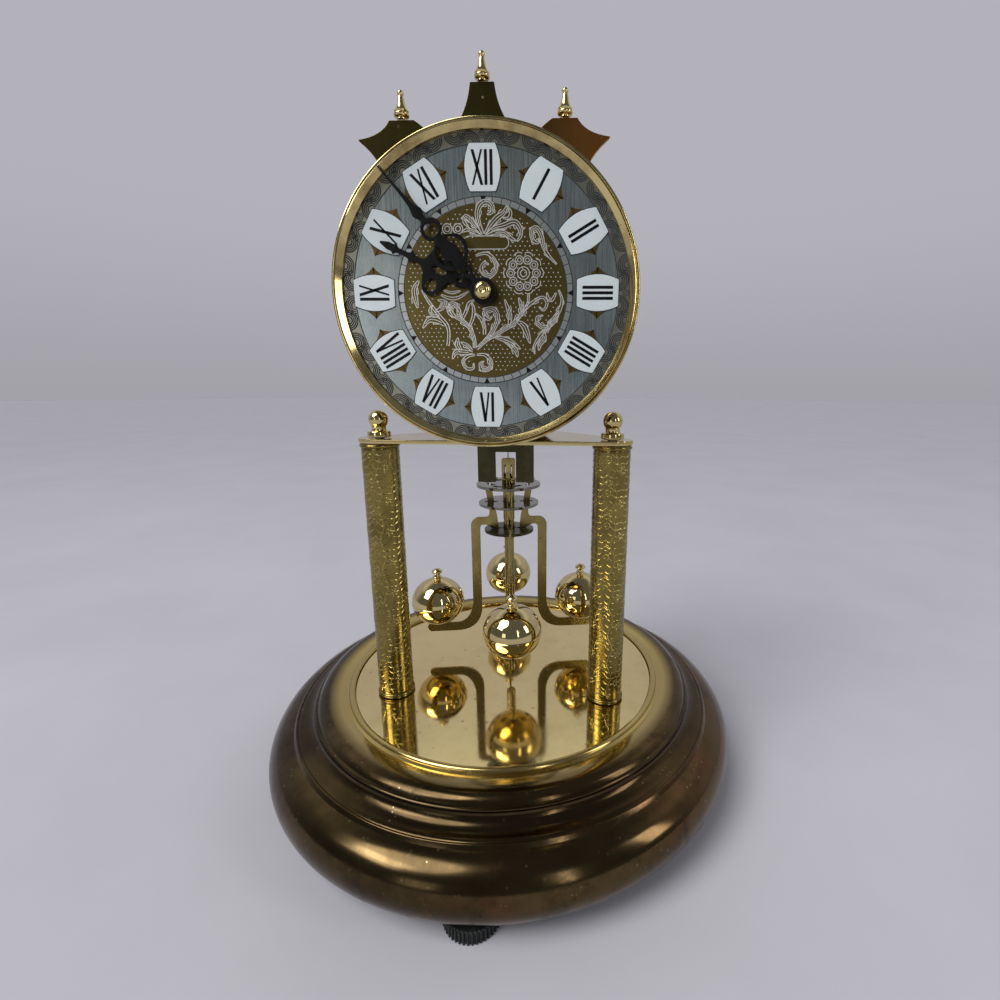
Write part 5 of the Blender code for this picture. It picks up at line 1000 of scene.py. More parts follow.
# The scrolls of the gold centre are drawn as pairs of bright lines with a vein, each from the run of its
# middle and its half widths at the root, the middle and the tip. Small dots fill the ground between them.
SCROLLS = [
    ([(-3.8, -17.0), (-4.0, -13.8), (-5.4, -10.6), (-7.8, -8.2), (-10.2, -6.9), (-11.5, -5.0),
      (-11.9, -3.1)], (0.45, 0.5, 0.1)),
    ([(-10.7, -7.4), (-12.0, -5.3), (-10.7, -3.1), (-8.8, -4.7), (-8.0, -6.9)], (0.2, 0.6, 0.12)),
    ([(-3.2, -17.2), (-0.1, -14.6), (3.7, -12.4), (7.4, -10.3), (10.1, -8.2), (12.2, -5.5), (14.8, -3.1),
      (17.5, -1.5)], (0.42, 0.5, 0.3)),
    ([(15.9, -2.1), (18.6, -1.3), (19.9, -3.1), (18.8, -5.2), (17.4, -4.2)], (0.3, 0.34, 0.14)),
    ([(0.5, -14.0), (2.5, -11.1), (3.8, -8.2), (3.6, -5.9), (1.8, -4.7), (-0.1, -5.4), (-0.3, -7.1),
      (1.0, -8.0), (2.1, -7.1)], (0.5, 0.62, 0.12)),
    ([(-0.5, -12.7), (-0.5, -10.3), (-1.5, -7.9), (-3.2, -6.3)], (0.35, 0.46, 0.1)),
    ([(10.1, -8.6), (12.3, -9.9), (13.6, -12.7), (14.4, -15.4)], (0.2, 0.85, 0.1)),
    ([(3.1, -13.5), (6.3, -14.3), (8.7, -15.4), (11.2, -17.2)], (0.3, 0.78, 0.1)),
    ([(5.8, -14.6), (7.9, -15.8), (9.8, -17.8), (10.2, -19.7)], (0.25, 0.72, 0.1)),
    ([(-4.6, -18.3), (-7.5, -18.3), (-10.1, -18.3), (-11.3, -20.4)], (0.25, 0.8, 0.1)),
    ([(-8.3, -18.0), (-9.5, -16.0), (-9.3, -13.8)], (0.3, 0.72, 0.1)),
    ([(-4.8, -17.8), (-6.2, -16.2), (-8.3, -15.1)], (0.2, 0.5, 0.1)),
    ([(-12.7, -16.3), (-12.2, -12.7), (-12.7, -9.8), (-14.7, -7.4), (-16.8, -4.7), (-18.7, -2.1),
      (-20.4, 0.9)], (0.36, 0.42, 0.18)),
    ([(-21.3, 3.8), (-22.9, 1.1), (-22.6, -2.1), (-22.1, -4.5)], (0.15, 0.8, 0.12)),
    ([(-13.4, -9.9), (-15.7, -8.4), (-18.6, -8.2), (-20.7, -10.7)], (0.2, 0.9, 0.1)),
    ([(-16.4, -5.5), (-14.1, -4.5), (-13.2, -2.7), (-15.3, -2.1)], (0.2, 0.6, 0.14)),
    ([(-15.2, -6.9), (-17.1, -6.9), (-18.1, -5.3), (-17.3, -3.7)], (0.15, 0.45, 0.12)),
    ([(-7.8, -8.2), (-6.2, -5.3), (-5.3, -3.1), (-3.2, -2.0)], (0.3, 0.44, 0.1)),
    ([(-5.4, -10.3), (-4.1, -7.4), (-3.8, -4.7), (-4.4, -2.9)], (0.25, 0.42, 0.1)),
    ([(7.4, -10.3), (8.0, -7.4), (7.3, -4.7), (6.3, -2.0)], (0.25, 0.55, 0.1)),
    ([(10.1, -8.2), (11.8, -5.9), (11.4, -3.2), (10.8, -1.5)], (0.25, 0.5, 0.1)),
    ([(12.4, -5.4), (13.7, -3.1), (14.0, -0.2)], (0.28, 0.28, 0.22)),
    ([(23.6, 0.9), (24.7, -2.1), (23.9, -5.3), (22.0, -7.9), (20.2, -10.6), (18.0, -12.7), (15.9, -15.9),
      (15.9, -18.7)], (0.15, 0.5, 0.12)),
    ([(23.4, -5.5), (22.8, -7.7), (21.2, -9.6), (19.1, -10.6), (17.1, -9.5), (16.7, -7.4),
      (18.6, -6.8)], (0.2, 0.6, 0.12)),
    ([(18.8, -11.5), (19.1, -13.8), (17.6, -15.9), (17.3, -17.6)], (0.18, 0.6, 0.1)),
    ([(22.8, 0.1), (21.5, -2.1), (20.2, -1.5), (19.9, 0.1)], (0.15, 0.45, 0.12)),
    ([(-3.8, -19.1), (-6.2, -19.6), (-7.8, -21.2), (-6.7, -23.4), (-4.6, -23.4),
      (-4.3, -21.8)], (0.2, 0.46, 0.12)),
    ([(-3.2, -19.1), (-0.6, -19.1), (1.5, -21.2), (0.7, -23.6), (-1.6, -23.9), (-2.2, -22.0),
      (-0.9, -21.2)], (0.2, 0.5, 0.12)),
    ([(-0.2, 17.3), (-1.4, 20.3), (-1.9, 23.5), (-0.7, 25.9), (1.3, 26.5), (2.8, 25.2), (2.5, 23.4),
      (1.2, 23.0)], (0.3, 0.72, 0.14)),
    ([(-0.7, 17.3), (-2.7, 19.7), (-4.0, 21.3), (-5.6, 22.4), (-6.0, 20.7),
      (-4.8, 19.6)], (0.25, 0.62, 0.14)),
    ([(-1.2, 17.0), (-3.2, 18.0), (-5.1, 18.6), (-6.9, 18.0)], (0.2, 0.5, 0.1)),
    ([(0.3, 17.3), (2.1, 19.7), (4.2, 21.9), (6.4, 23.4), (7.4, 25.4)], (0.25, 0.8, 0.1)),
    ([(0.6, 17.2), (3.1, 18.9), (6.3, 19.7), (9.6, 20.7), (11.3, 19.0), (11.6, 16.9),
      (10.5, 15.2)], (0.25, 0.78, 0.12)),
    ([(1.2, 17.0), (3.7, 17.8), (6.4, 17.7), (8.6, 16.1), (10.1, 15.4)], (0.2, 0.56, 0.12)),
    ([(7.4, 25.2), (8.5, 23.5), (7.9, 21.9), (6.1, 21.9)], (0.12, 0.4, 0.12)),
    ([(-2.8, 11.1), (0.5, 11.8), (2.9, 10.2), (3.7, 7.5), (2.3, 5.4), (-0.1, 5.6), (-1.1, 7.5),
      (-0.1, 9.0), (1.3, 8.5)], (0.2, 0.52, 0.16)),
    ([(22.9, 8.5), (20.3, 11.1), (18.7, 13.8), (18.1, 16.5), (16.7, 18.9), (15.1, 18.4), (15.2, 15.9),
      (16.7, 14.7), (17.8, 15.8)], (0.15, 0.62, 0.14)),
    ([(-14.3, -0.5), (-11.8, -1.5), (-8.8, -1.4), (-5.4, 0.5)], (0.15, 0.4, 0.12)),
    ([(-13.4, 0.9), (-10.7, 0.1), (-8.0, 0.7)], (0.12, 0.3, 0.1)),
]
LINE_HALF = 0.14
DOT_STEP = 1.5
DOT_HALF = 0.20
LOBE_REACH = 1.0
ROSETTE = (12.4, 5.9)
ROSETTE_PETALS = 10
ROSETTE_REACH = 4.1
PETAL_REACH = 4.6
PETAL_RADIUS = 1.75
BERRIES = ((-11.5, 18.9), (-8.1, 18.9))
DOT_CLEARANCE = 1.35
SMALL_PANEL = (0.6, 14.9)
SMALL_PANEL_HALF = 5.3
SMALL_PANEL_ROUND = 1.9


def swelling(root, middle, tip, share):
    if share < 0.45:
        return root + (middle - root) * math.sin(share / 0.45 * math.pi / 2)
    return tip + (middle - tip) * math.cos((share - 0.45) / 0.55 * math.pi / 2)


def scroll_edges(points, halves):
    """The two edge lines and the vein of one scroll."""
    run = flowing(points, 4)
    left, right, vein = [], [], []
    for index, (x, y) in enumerate(run):
        before, after = run[max(index - 1, 0)], run[min(index + 1, len(run) - 1)]
        way = Vector((after[0] - before[0], after[1] - before[1])).normalized()
        half = swelling(*halves, index / (len(run) - 1))
        left.append((x - way.y * half, y + way.x * half, LINE_HALF))
        right.append((x + way.y * half, y - way.x * half, LINE_HALF))
        if half > 0.42:
            vein.append((x, y, LINE_HALF * 0.9))
    edges = [left + right[::-1][:1], right]
    if len(vein) > 2:
        edges.append(vein)
    return edges


def edge_lobes(points, halves):
    """Small curled lobes along both edges of a scroll, leaning to its tip, as on an engraved leaf."""
    run = flowing(points, 4)
    lobes = []
    if halves[1] < 0.5:
        return lobes
    for index in range(3, len(run) - 4, 3):
        (x, y), (far_x, far_y) = run[index], run[index + 3]
        way = Vector((far_x - x, far_y - y))
        if way.length < 0.9:
            continue
        way = way.normalized()
        half = swelling(*halves, index / (len(run) - 1))
        side = 1 if index % 2 else -1
        out_way = Vector((-way.y, way.x)) * side
        root = (x + out_way.x * half, y + out_way.y * half)
        crest = (far_x + out_way.x * (half + LOBE_REACH), far_y + out_way.y * (half + LOBE_REACH))
        tip = (far_x - way.x * 0.3 + out_way.x * (half + 0.25),
            far_y - way.y * 0.3 + out_way.y * (half + 0.25))
        lobes.append([(a, b, LINE_HALF * 0.9) for a, b in bent_points(root, crest, tip, 6)])
    return lobes


engraving = []
middles = []
for points, halves in SCROLLS:
    engraving += scroll_edges(points, halves) + edge_lobes(points, halves)
    middles += flowing(points, 3)
for petal in range(ROSETTE_PETALS):
    angle = math.tau * petal / ROSETTE_PETALS
    spot = (ROSETTE[0] + ROSETTE_REACH * math.cos(angle), ROSETTE[1] + ROSETTE_REACH * math.sin(angle))
    engraving.append(circle_line(1.25, LINE_HALF, 14, spot))
    engraving.append(circle_line(0.62, LINE_HALF * 0.9, 10, spot))
    far = (ROSETTE[0] + PETAL_REACH * math.cos(angle), ROSETTE[1] + PETAL_REACH * math.sin(angle))
    petal_tip = [angle + turn for turn in (-0.9, -0.6, -0.3, 0, 0.3, 0.6, 0.9)]
    engraving.append([(far[0] + PETAL_RADIUS * math.cos(a), far[1] + PETAL_RADIUS * math.sin(a), LINE_HALF)
        for a in petal_tip])
    middles.append(spot)
    middles.append(far)
engraving.append(circle_line(1.9, LINE_HALF, 20, ROSETTE))
engraving.append(circle_line(1.0, LINE_HALF, 14, ROSETTE))
for berry in BERRIES:
    engraving.append(circle_line(1.5, LINE_HALF, 16, berry))
    engraving.append(circle_line(0.8, LINE_HALF, 12, berry))
    middles.append(berry)
panel_run = arc_points((SMALL_PANEL[0] + SMALL_PANEL_HALF, SMALL_PANEL[1]), SMALL_PANEL_ROUND, -90, 90, 10)
panel_run += arc_points((SMALL_PANEL[0] - SMALL_PANEL_HALF, SMALL_PANEL[1]), SMALL_PANEL_ROUND, 90, 270, 10)
engraving.append([(x, y, LINE_HALF) for x, y in panel_run + panel_run[:2]])
middles += [(SMALL_PANEL[0] + x, SMALL_PANEL[1]) for x in (-6, -4, -2, 0, 2, 4, 6)]
dots = []
row = 0
y = -GOLD_RADIUS + 1.0
while y < GOLD_RADIUS - 0.8:
    x = -GOLD_RADIUS + (row % 2) * DOT_STEP / 2
    while x < GOLD_RADIUS:
        from_centre = math.hypot(x, y)
        clearance = min(math.hypot(x - a, y - b) for a, b in middles)
        if DIAL_HOLE + 1.2 < from_centre < GOLD_RADIUS - 1.1 and clearance > DOT_CLEARANCE:
            dots.append([(x - DOT_HALF, y, DOT_HALF * 0.45), (x, y, DOT_HALF),
                (x + DOT_HALF, y, DOT_HALF * 0.45)])
        x += DOT_STEP
    y += DOT_STEP * 0.866
    row += 1
etched = strokes("etched_scrolls", engraving, 0.16, 0, DIAL_FRONT + 0.145)
dotted = strokes("dotted_ground", dots, 0.2, 0, DIAL_FRONT + 0.145)
fitted(on_axis(joined([etched, dotted], "engraved_centre")), bright_line, "case", "silver")

# Bezel and crown: a turned ring of polished brass with a fine groove near its rim holds the dial. Behind it
# stands a sawn plate of dull bronze with three points, each topped by a small turned brass spire.

BEZEL_OUTER = 49.3
BEZEL_INNER = 46.15
bezel_profile = [(47.6, 34.6), (49.0, 34.6), (BEZEL_OUTER, 34.9), (BEZEL_OUTER, 38.0), (49.18, 38.2),
    (48.95, 38.28), (48.55, 38.28), (48.42, 38.2), (48.36, 37.6), (48.2, 37.5), (48.05, 37.6),
    (48.0, 38.95), (47.92, 39.12), (47.75, 39.15), (46.3, 37.62), (BEZEL_INNER, 37.4), (BEZEL_INNER, 36.8),
    (47.6, 36.8), (47.6, 34.6)]
bezel = on_axis(turned("turned_bezel", bezel_profile, 192))
bezel_brass = metal("bezel brass", (0.74, 0.60, 0.27), (0.24, 0.165, 0.065), 0.07, 0.20, patches=22,
    cover=0.44, softness=0.12, depth=0.03, dirt=(0.30, 0.20, 0.08), dirt_scale=500, dirt_share=0.10)
fitted(bezel, bezel_brass, "case", "polished", "bezel")

CROWN_PLANE = 33.1
CROWN_OUTER = 48.0
CROWN_INNER = 41.5
CROWN_DEEP = 1.2
crown_side = bent_points((3.65, 59.8), (4.7, 51.6), (9.6, 47.05), 10)
crown_side += [(CROWN_OUTER * math.sin(math.radians(a)), CROWN_OUTER * math.cos(math.radians(a)))
    for a in (12.2, 14.0, 16.0, 18.0)]
crown_side += bent_points((15.5, 45.45), (18.8, 48.6), (21.2, 50.0), 5)
crown_side += bent_points((28.8, 50.0), (31.2, 45.8), (38.8, 44.9), 8)
crown_side += bent_points((38.4, 44.3), (33.6, 40.6), (32.2, 36.6), 8)
crown_side.append((33.0, 35.0))
crown_side += [(CROWN_INNER * math.cos(math.radians(a)), CROWN_INNER * math.sin(math.radians(a)))
    for a in (52, 60, 68, 76, 84, 90)]
crown_outline = crown_side + [(-x, y) for x, y in crown_side[-2::-1]]
crown = cut_sheet("sawn_crown", [crown_outline], CROWN_DEEP, 0.12)
dull_bronze = metal("dull bronze", (0.095, 0.076, 0.022), (0.230, 0.110, 0.042), 0.24, 0.34, patches=15,
    cover=0.36, softness=0.10, stretch=(900, 100, 120), depth=0.08, dirt=(0.34, 0.27, 0.14),
    dirt_scale=420, dirt_share=0.10)
# Painted light: the right wing's colour runs to a lighter copper brown, standing in for the warmer light on
# that side.
WARM_LIT_COPPER = (0.400, 0.170, 0.045, 1)
tree = dull_bronze.node_tree
shader = tree.nodes["Principled BSDF"]
where = add_node(tree, "ShaderNodeTexCoord")
across = add_node(tree, "ShaderNodeSeparateXYZ", inputs={"Vector": where.outputs["Object"]})
warm_lit_right_wing = eased(tree, across.outputs["X"], 10 * mm, 32 * mm)
olive = shader.inputs["Base Color"].links[0].from_socket
tree.links.new(mixed(tree, warm_lit_right_wing, olive, WARM_LIT_COPPER), shader.inputs["Base Color"])
fitted(at_place(crown, facing(0, DIAL_CENTRE, CROWN_PLANE)), dull_bronze, "case", "bronze", "crown_plate")

spire_profile = [(0, 0), (1.3, 0), (1.3, 0.5)] + arc_points((1.75, 1.15), 0.62, -70, 75, 5)
spire_profile += [(2.0, 1.95), (2.2, 2.15), (1.95, 2.5), (1.6, 3.1), (1.28, 4.2), (1.02, 5.4), (0.85, 6.2)]
spire_profile += arc_points((0, 6.95), 0.98, -40, 90, 8)[:-1] + [(0, 7.68)]
SPIRE_FORWARD = 33.7
SPIRES = {"left": (-25.0, 50.3), "centre": (0.0, 60.1), "right": (25.0, 50.3)}
for name, (across, level) in SPIRES.items():
    spire = turned("turned_spire_" + name, spire_profile, 40)
    at_place(spire, Matrix.Translation((across * mm, -SPIRE_FORWARD * mm, (DIAL_CENTRE + level) * mm)))
    fitted(spire, bright_brass, "case", "polished", "spire_" + name)

# Hands: sawn from thin sheet and lacquered black, with pierced rings, held by a domed brass nut with a
# dimple. The hour hand sits on its pipe and the minute hand above it on the cannon pinion.

HOUR_BACK = 38.0
MINUTE_BACK = 40.0
HAND_DEEP = 0.5
BOSS = 4.0
HOUR_TURN = 294.6
MINUTE_TURN = 318.6


def hand_sheet(name, widths, holes, bore, plane, turn):
    """A pierced hand from half widths along its length, with its round boss at the axis."""
    run = flowing([(half, along) for along, half in widths], 3)
    first = math.degrees(math.atan2(run[0][1], run[0][0]))
    boss = arc_points((0, 0), BOSS, -180 - first, first, 40)
    outline = boss[1:-1] + run + [(-x, y) for x, y in run[::-1]]
    sheet = cut_sheet(name, [outline, ring_outline(bore, 28)] + holes, HAND_DEEP, 0.08)
    sheet.data.transform(Matrix.Rotation(-math.radians(turn), 4, "Z"))
    return at_place(sheet, facing(0, DIAL_CENTRE, plane))


def crescent_hole(centre, outer, inner, reach, side):
    """Part of a ring-shaped opening, to one side of the hand's middle."""
    middle = 0 if side > 0 else 180
    return (arc_points(centre, outer, middle - reach, middle + reach, 14) + arc_points(centre, inner,
        middle + reach - 6, middle - reach + 6, 12))


def oval_hole(centre, half_across, half_along, bite=0.0):
    """An oval opening, with a bud grown into it from one side."""
    points = []
    for step in range(26):
        angle = math.tau * step / 26
        share = 1 - bite * math.exp(-((angle - 0.9) / 0.6) ** 2)
        points.append((centre[0] + half_across * share * math.cos(angle + 0.03),
            centre[1] + half_along * share * math.sin(angle + 0.03)))
    return points


minute_widths = [(3.85, 1.0), (5.2, 1.05), (6.4, 1.35), (7.6, 2.1), (8.6, 1.3), (9.5, 1.35), (10.6, 3.3),
    (12.6, 5.1), (15.2, 5.9), (17.8, 5.0), (19.6, 2.6), (20.4, 1.25), (21.0, 1.7), (22.0, 2.9),
    (23.9, 3.4), (25.8, 2.7), (26.9, 1.2), (27.9, 0.95), (29.0, 1.45), (30.2, 1.75), (31.4, 1.2),
    (32.6, 0.95), (34.2, 0.70), (38.0, 0.50), (42.5, 0.38), (46.4, 0.22)]
minute_holes = [crescent_hole((0, 15.2), 4.5, 2.7, 62, 1), crescent_hole((0, 15.2), 4.5, 2.7, 62, -1),
    oval_hole((0, 23.9), 2.2, 2.3, 0.45), oval_hole((0, 7.2), 0.55, 0.9)]
hour_widths = [(3.85, 1.1), (5.4, 1.2), (7.0, 1.6), (8.6, 2.3), (10.0, 1.6), (11.2, 1.7), (12.6, 3.9),
    (13.8, 6.6), (15.4, 8.1), (17.0, 8.4), (18.6, 7.3), (19.6, 4.8), (20.4, 2.4), (21.6, 1.0),
    (23.4, 0.80), (24.4, 1.0), (25.2, 1.9), (26.0, 1.0), (27.6, 0.75), (29.6, 0.80), (30.3, 1.1),
    (30.9, 1.7), (31.6, 1.1), (33.0, 1.15), (34.4, 0.75), (35.8, 0.28)]
hour_holes = [oval_hole((5.1, 16.5), 2.0, 1.9, 0.3), oval_hole((-5.1, 16.5), 2.0, 1.9, 0.3),
    oval_hole((0, 15.6), 1.15, 2.5), oval_hole((0, 8.7), 0.6, 1.0)]
fitted(hand_sheet("pierced_minute_hand", minute_widths, minute_holes, 1.02, MINUTE_BACK, MINUTE_TURN),
    black_paint, "minute", "black", "minute_hand")
fitted(hand_sheet("pierced_hour_hand", hour_widths, hour_holes, 2.02, HOUR_BACK, HOUR_TURN), black_paint,
    "hour", "black", "hour_hand")

nut_profile = [(0.95, 40.8), (2.55, 40.8), (2.7, 40.95), (2.7, 41.6), (2.6, 42.1), (2.3, 42.6),
    (1.85, 42.95), (1.35, 43.15), (0.95, 43.2), (0.75, 43.1), (0.6, 42.8), (0.35, 42.65), (0, 42.6),
    (0, 41.9), (0.95, 41.9), (0.95, 40.8)]
fitted(on_axis(turned("domed_hand_nut", nut_profile, 48)), bright_brass, "minute", "polished", "hand_nut")

# Movement plates: two upright sheets of brass, round at the top corners, held apart by four turned posts.
# Steel screws with slotted heads hold each plate to the posts, and a small cup for oil surrounds each pivot.

PLATE_HALF = 32.0
PLATE_LOW = -47.9
PLATE_FOOT = 15.5
PLATE_FOOT_RISE = 11.5
PLATE_HIGH = 39.3
PLATE_ROUND = 10.0
FRONT_PLATE = (25.0, 26.5)
BACK_PLATE = (-7.5, -6.0)
POSTS = {"lower_left": (-27.0, -36.5), "lower_right": (27.0, -36.5), "upper_left": (-23.667, 30.967),
    "upper_right": (23.667, 30.967)}
BARREL = (6.0, -25.7)
SECOND = (-13.399, -14.5)
THIRD = (-14.994, 0.415)
FOURTH = (10.305, 11.444)
ESCAPE = (0.0, 18.520)
ANCHOR = (0.0, 31.720)
STUD = (8.485, -8.485)
MOVEMENT_PLATE_DEEP = 1.5
SCREW_BORE = 1.4
PIVOT_BORE = 0.75

corner_run = arc_points((PLATE_HALF - PLATE_ROUND, PLATE_HIGH - PLATE_ROUND), PLATE_ROUND, 0, 90, 16)
plate_side = [(PLATE_FOOT, PLATE_LOW), (PLATE_HALF, PLATE_LOW + PLATE_FOOT_RISE)] + corner_run
plate_shape = plate_side + [(-x, y) for x, y in plate_side[::-1]]
front_holes = [ring_outline(SCREW_BORE, 20, spot, 0.1) for spot in POSTS.values()]
front_holes += [ring_outline(PIVOT_BORE, 16, spot, 0.1) for spot in (SECOND, THIRD, FOURTH, ESCAPE, BARREL,
    ANCHOR)]
front_holes.append(ring_outline(0.95, 20, (0, 0), 0.1))
back_holes = [ring_outline(SCREW_BORE, 20, spot, 0.1) for spot in POSTS.values()]
back_holes += [ring_outline(PIVOT_BORE, 16, spot, 0.1) for spot in (SECOND, THIRD, FOURTH, ESCAPE, (0, 0))]
back_holes += [ring_outline(2.75, 32, BARREL, 0.1), ring_outline(0.95, 20, ANCHOR, 0.1)]


def oil_cup(spot, face, outward):
    """A shallow turned ring round a pivot hole, standing a hair above the plate."""
    cup = turned("oil_cup", [(0.78, 0), (1.75, 0), (1.68, 0.09), (1.45, 0.12), (1.0, 0.05), (0.8, 0.03),
        (0.78, 0)], 28)
    cup.data.transform(Matrix.Translation((*spot, face)) @ Matrix.Diagonal((1, outward, outward, 1)))
    return cup


plate_brass = metal("plate brass", (0.60, 0.46, 0.20), (0.42, 0.31, 0.13), 0.20, 0.34, patches=42,
    cover=0.5, softness=0.25, stretch=(260, 260, 2600), depth=0.08, dirt=(0.25, 0.18, 0.08),
    dirt_scale=380, dirt_share=0.10)
front_sheet = cut_sheet("front_movement_plate", [plate_shape] + front_holes, MOVEMENT_PLATE_DEEP, 0.15)
lift(front_sheet, FRONT_PLATE[0])
stud = turned("wheel_stud", [(0, 25.2), (0.9, 25.2), (0.9, 30.9), (0.7, 31.2), (0, 31.2)], 20)
stud.data.transform(Matrix.Translation((*STUD, 0)))
cups = [oil_cup(spot, FRONT_PLATE[1], 1) for spot in (SECOND, THIRD, FOURTH, ESCAPE, BARREL, ANCHOR)]
fitted(on_axis(joined([front_sheet, stud] + cups, "front_movement_plate")), plate_brass, "case", "brass",
    "front_plate")
back_sheet = cut_sheet("back_movement_plate", [plate_shape] + back_holes, MOVEMENT_PLATE_DEEP, 0.15)
lift(back_sheet, BACK_PLATE[0])
cups = [oil_cup(spot, BACK_PLATE[0], -1) for spot in (SECOND, THIRD, FOURTH, ESCAPE, (0, 0))]
for cup in cups:
    cup.data.flip_normals()
fitted(on_axis(joined([back_sheet] + cups, "back_movement_plate")), plate_brass, "case", "brass",
    "back_plate")

post_profile = [(0, -7.3), (1.1, -7.3), (1.1, -5.7), (1.9, -5.7), (2.2, -5.4), (2.2, -4.4), (1.95, -4.1),
    (1.95, -3.6), (2.2, -3.3), (2.2, 22.3), (1.95, 22.6), (1.95, 23.1), (2.2, 23.4), (2.2, 24.4),
    (1.9, 24.7), (1.1, 24.7), (1.1, 26.3), (0, 26.3)]
for name, spot in POSTS.items():
    post = at_place(turned("turned_post_" + name, post_profile, 32), facing(spot[0], DIAL_CENTRE + spot[1]))
    fitted(post, plate_brass, "case", "brass", "post_" + name)


def slotted_head(radius, height, slot):
    """A domed screw head with a straight slot cut across it, standing on height 0."""
    deselect_all()
    bpy.ops.mesh.primitive_cylinder_add(vertices=28, radius=radius, depth=height,
        location=(0, 0, height / 2), end_fill_type="NGON")
    head = bpy.context.object
    head.name = "slotted_head"
    open_mesh()
    half = slot / 2
    for offset in (-half, half):
        bpy.ops.mesh.select_all(action="SELECT")
        bpy.ops.mesh.bisect(plane_co=(0, offset, 0), plane_no=(0, 1, 0))
    bpy.ops.mesh.select_all(action="DESELECT")
    close_mesh()
    for face in head.data.polygons:
        face.select = face.normal.z > 0.9 and abs(face.center.y) < half * 0.9
    bpy.ops.object.mode_set(mode="EDIT")
    bpy.ops.mesh.extrude_region_move(TRANSFORM_OT_translate={"value": (0, 0, -height * 0.5)})
    close_mesh()
    bevel = head.modifiers.new("eased rim", "BEVEL")
    bevel.width = height * 0.16
    bevel.segments = 2
    bevel.limit_method = "ANGLE"
    bevel.angle_limit = math.radians(50)
    bpy.ops.object.modifier_apply(modifier=bevel.name)
    return head


heads = []
head = slotted_head(2.1, 0.95, 0.55)
for index, spot in enumerate(POSTS.values()):
    angle = Matrix.Rotation(0.7 + 1.9 * index, 4, "Z")
    heads.append(copied(head, Matrix.Translation((*spot, FRONT_PLATE[1] + 0.01)) @ angle))
    flipped = Matrix.Rotation(math.pi, 4, "X") @ angle
    heads.append(copied(head, Matrix.Translation((*spot, BACK_PLATE[0] - 0.01)) @ flipped))
bpy.data.objects.remove(head)
blued_steel = metal("blued steel", (0.17, 0.19, 0.22), (0.10, 0.11, 0.13), 0.20, 0.34, patches=220,
    cover=0.5)
fitted(on_axis(joined(heads, "plate_screws")), blued_steel, "case", "steel")

# Wheel train: cut brass wheels with four spokes, on steel arbors with steel leaf pinions. The spring barrel
# at the bottom drives them, and the escape wheel at the top lets them go a tooth at a time.

WHEEL_ADDENDUM = 0.75
WHEEL_DEDENDUM = 1.35
RIM = 1.9
GREAT_MODULE, SECOND_LEAVES, GREAT_TEETH = 0.8, 8, 48
TRAIN_MODULE, SECOND_TEETH, THIRD_TEETH = 0.5, 54, 54
THIRD_LEAVES, CENTRE_LEAVES, CENTRE_TEETH = 6, 6, 48
FOURTH_MODULE, FOURTH_LEAVES, FOURTH_TEETH = 0.55, 8, 40
ESCAPE_LEAVES, ESCAPE_TEETH = 10, 20


def tooth_run(teeth, module, phase, leaves=False):
    """The outline of wheel teeth with rounded points, or of the fatter leaves of a pinion."""
    tip = module * (teeth / 2 + WHEEL_ADDENDUM)
    root = module * (teeth / 2 - WHEEL_DEDENDUM)
    corners = ((-0.46, root), (-0.27, root + 0.25 * (tip - root)), (-0.17, root + 0.62 * (tip - root)),
        (-0.05, tip - 0.03), (0.05, tip - 0.03), (0.17, root + 0.62 * (tip - root)),
        (0.27, root + 0.25 * (tip - root)), (0.46, root))
    if leaves:
        corners = ((-0.24, root), (-0.19, root + 0.6 * (tip - root)), (-0.07, tip), (0.07, tip),
            (0.19, root + 0.6 * (tip - root)), (0.24, root))
    run = []
    for tooth in range(teeth):
        for share, radius in corners:
            angle = phase + (tooth + share) * math.tau / teeth
            run.append((radius * math.cos(angle), radius * math.sin(angle)))
    return run


def spoke_windows(outer, hub, half=0.8, spokes=4, turn=17):
    windows = []
    for spoke in range(spokes):
        middle = turn + 360 * spoke / spokes
        wide = 180 / spokes - math.degrees(math.asin(half / outer))
        narrow = 180 / spokes - math.degrees(math.asin(half / hub))
        windows.append(arc_points((0, 0), outer, middle - wide, middle + wide, 12) + arc_points((0, 0),
            hub, middle + narrow, middle - narrow, 4))
    return windows


def wheel_sheet(name, teeth, module, plane, phase, hub=2.1, thickness=1.0):
    rim = module * (teeth / 2 - WHEEL_DEDENDUM) - RIM
    sheet = cut_sheet(name, [tooth_run(teeth, module, phase)] + spoke_windows(rim, hub), thickness, 0.05)
    lift(sheet, plane)
    return sheet


def pinion_leaves(name, leaves, module, bottom, top, phase):
    sheet = cut_sheet(name, [tooth_run(leaves, module, phase, True)], top - bottom, 0.05)
    lift(sheet, bottom)
    return sheet


def steel_arbor(back=-5.7, front=24.7, hub_bottom=None, hub_top=None):
    """A steel arbor with its thin pivots and a collet where its wheel sits."""
    profile = [(0, back - 1.5), (0.38, back - 1.5), (0.45, back - 1.35), (0.45, back), (0.6, back + 0.15)]
    if hub_bottom is not None:
        profile += [(0.6, hub_bottom), (1.35, hub_bottom), (1.55, hub_bottom + 0.2), (1.55, hub_top - 0.2),
            (1.35, hub_top), (0.6, hub_top)]
    profile += [(0.6, front - 0.15), (0.45, front), (0.45, front + 1.35), (0.38, front + 1.5),
        (0, front + 1.5)]
    return turned("steel_arbor", profile, 20)


def way(start, end):
    return math.atan2(end[1] - start[1], end[0] - start[0])


wheel_brass = metal("wheel brass", (0.70, 0.54, 0.24), (0.50, 0.37, 0.15), 0.18, 0.32, patches=60,
    cover=0.5, softness=0.25, stretch=(900, 900, 900), depth=0.05, dirt=(0.28, 0.20, 0.09), dirt_scale=400,
    dirt_share=0.08)
bright_steel = metal("bright steel", (0.50, 0.50, 0.51), (0.36, 0.36, 0.37), 0.18, 0.30, patches=120,
    cover=0.45)


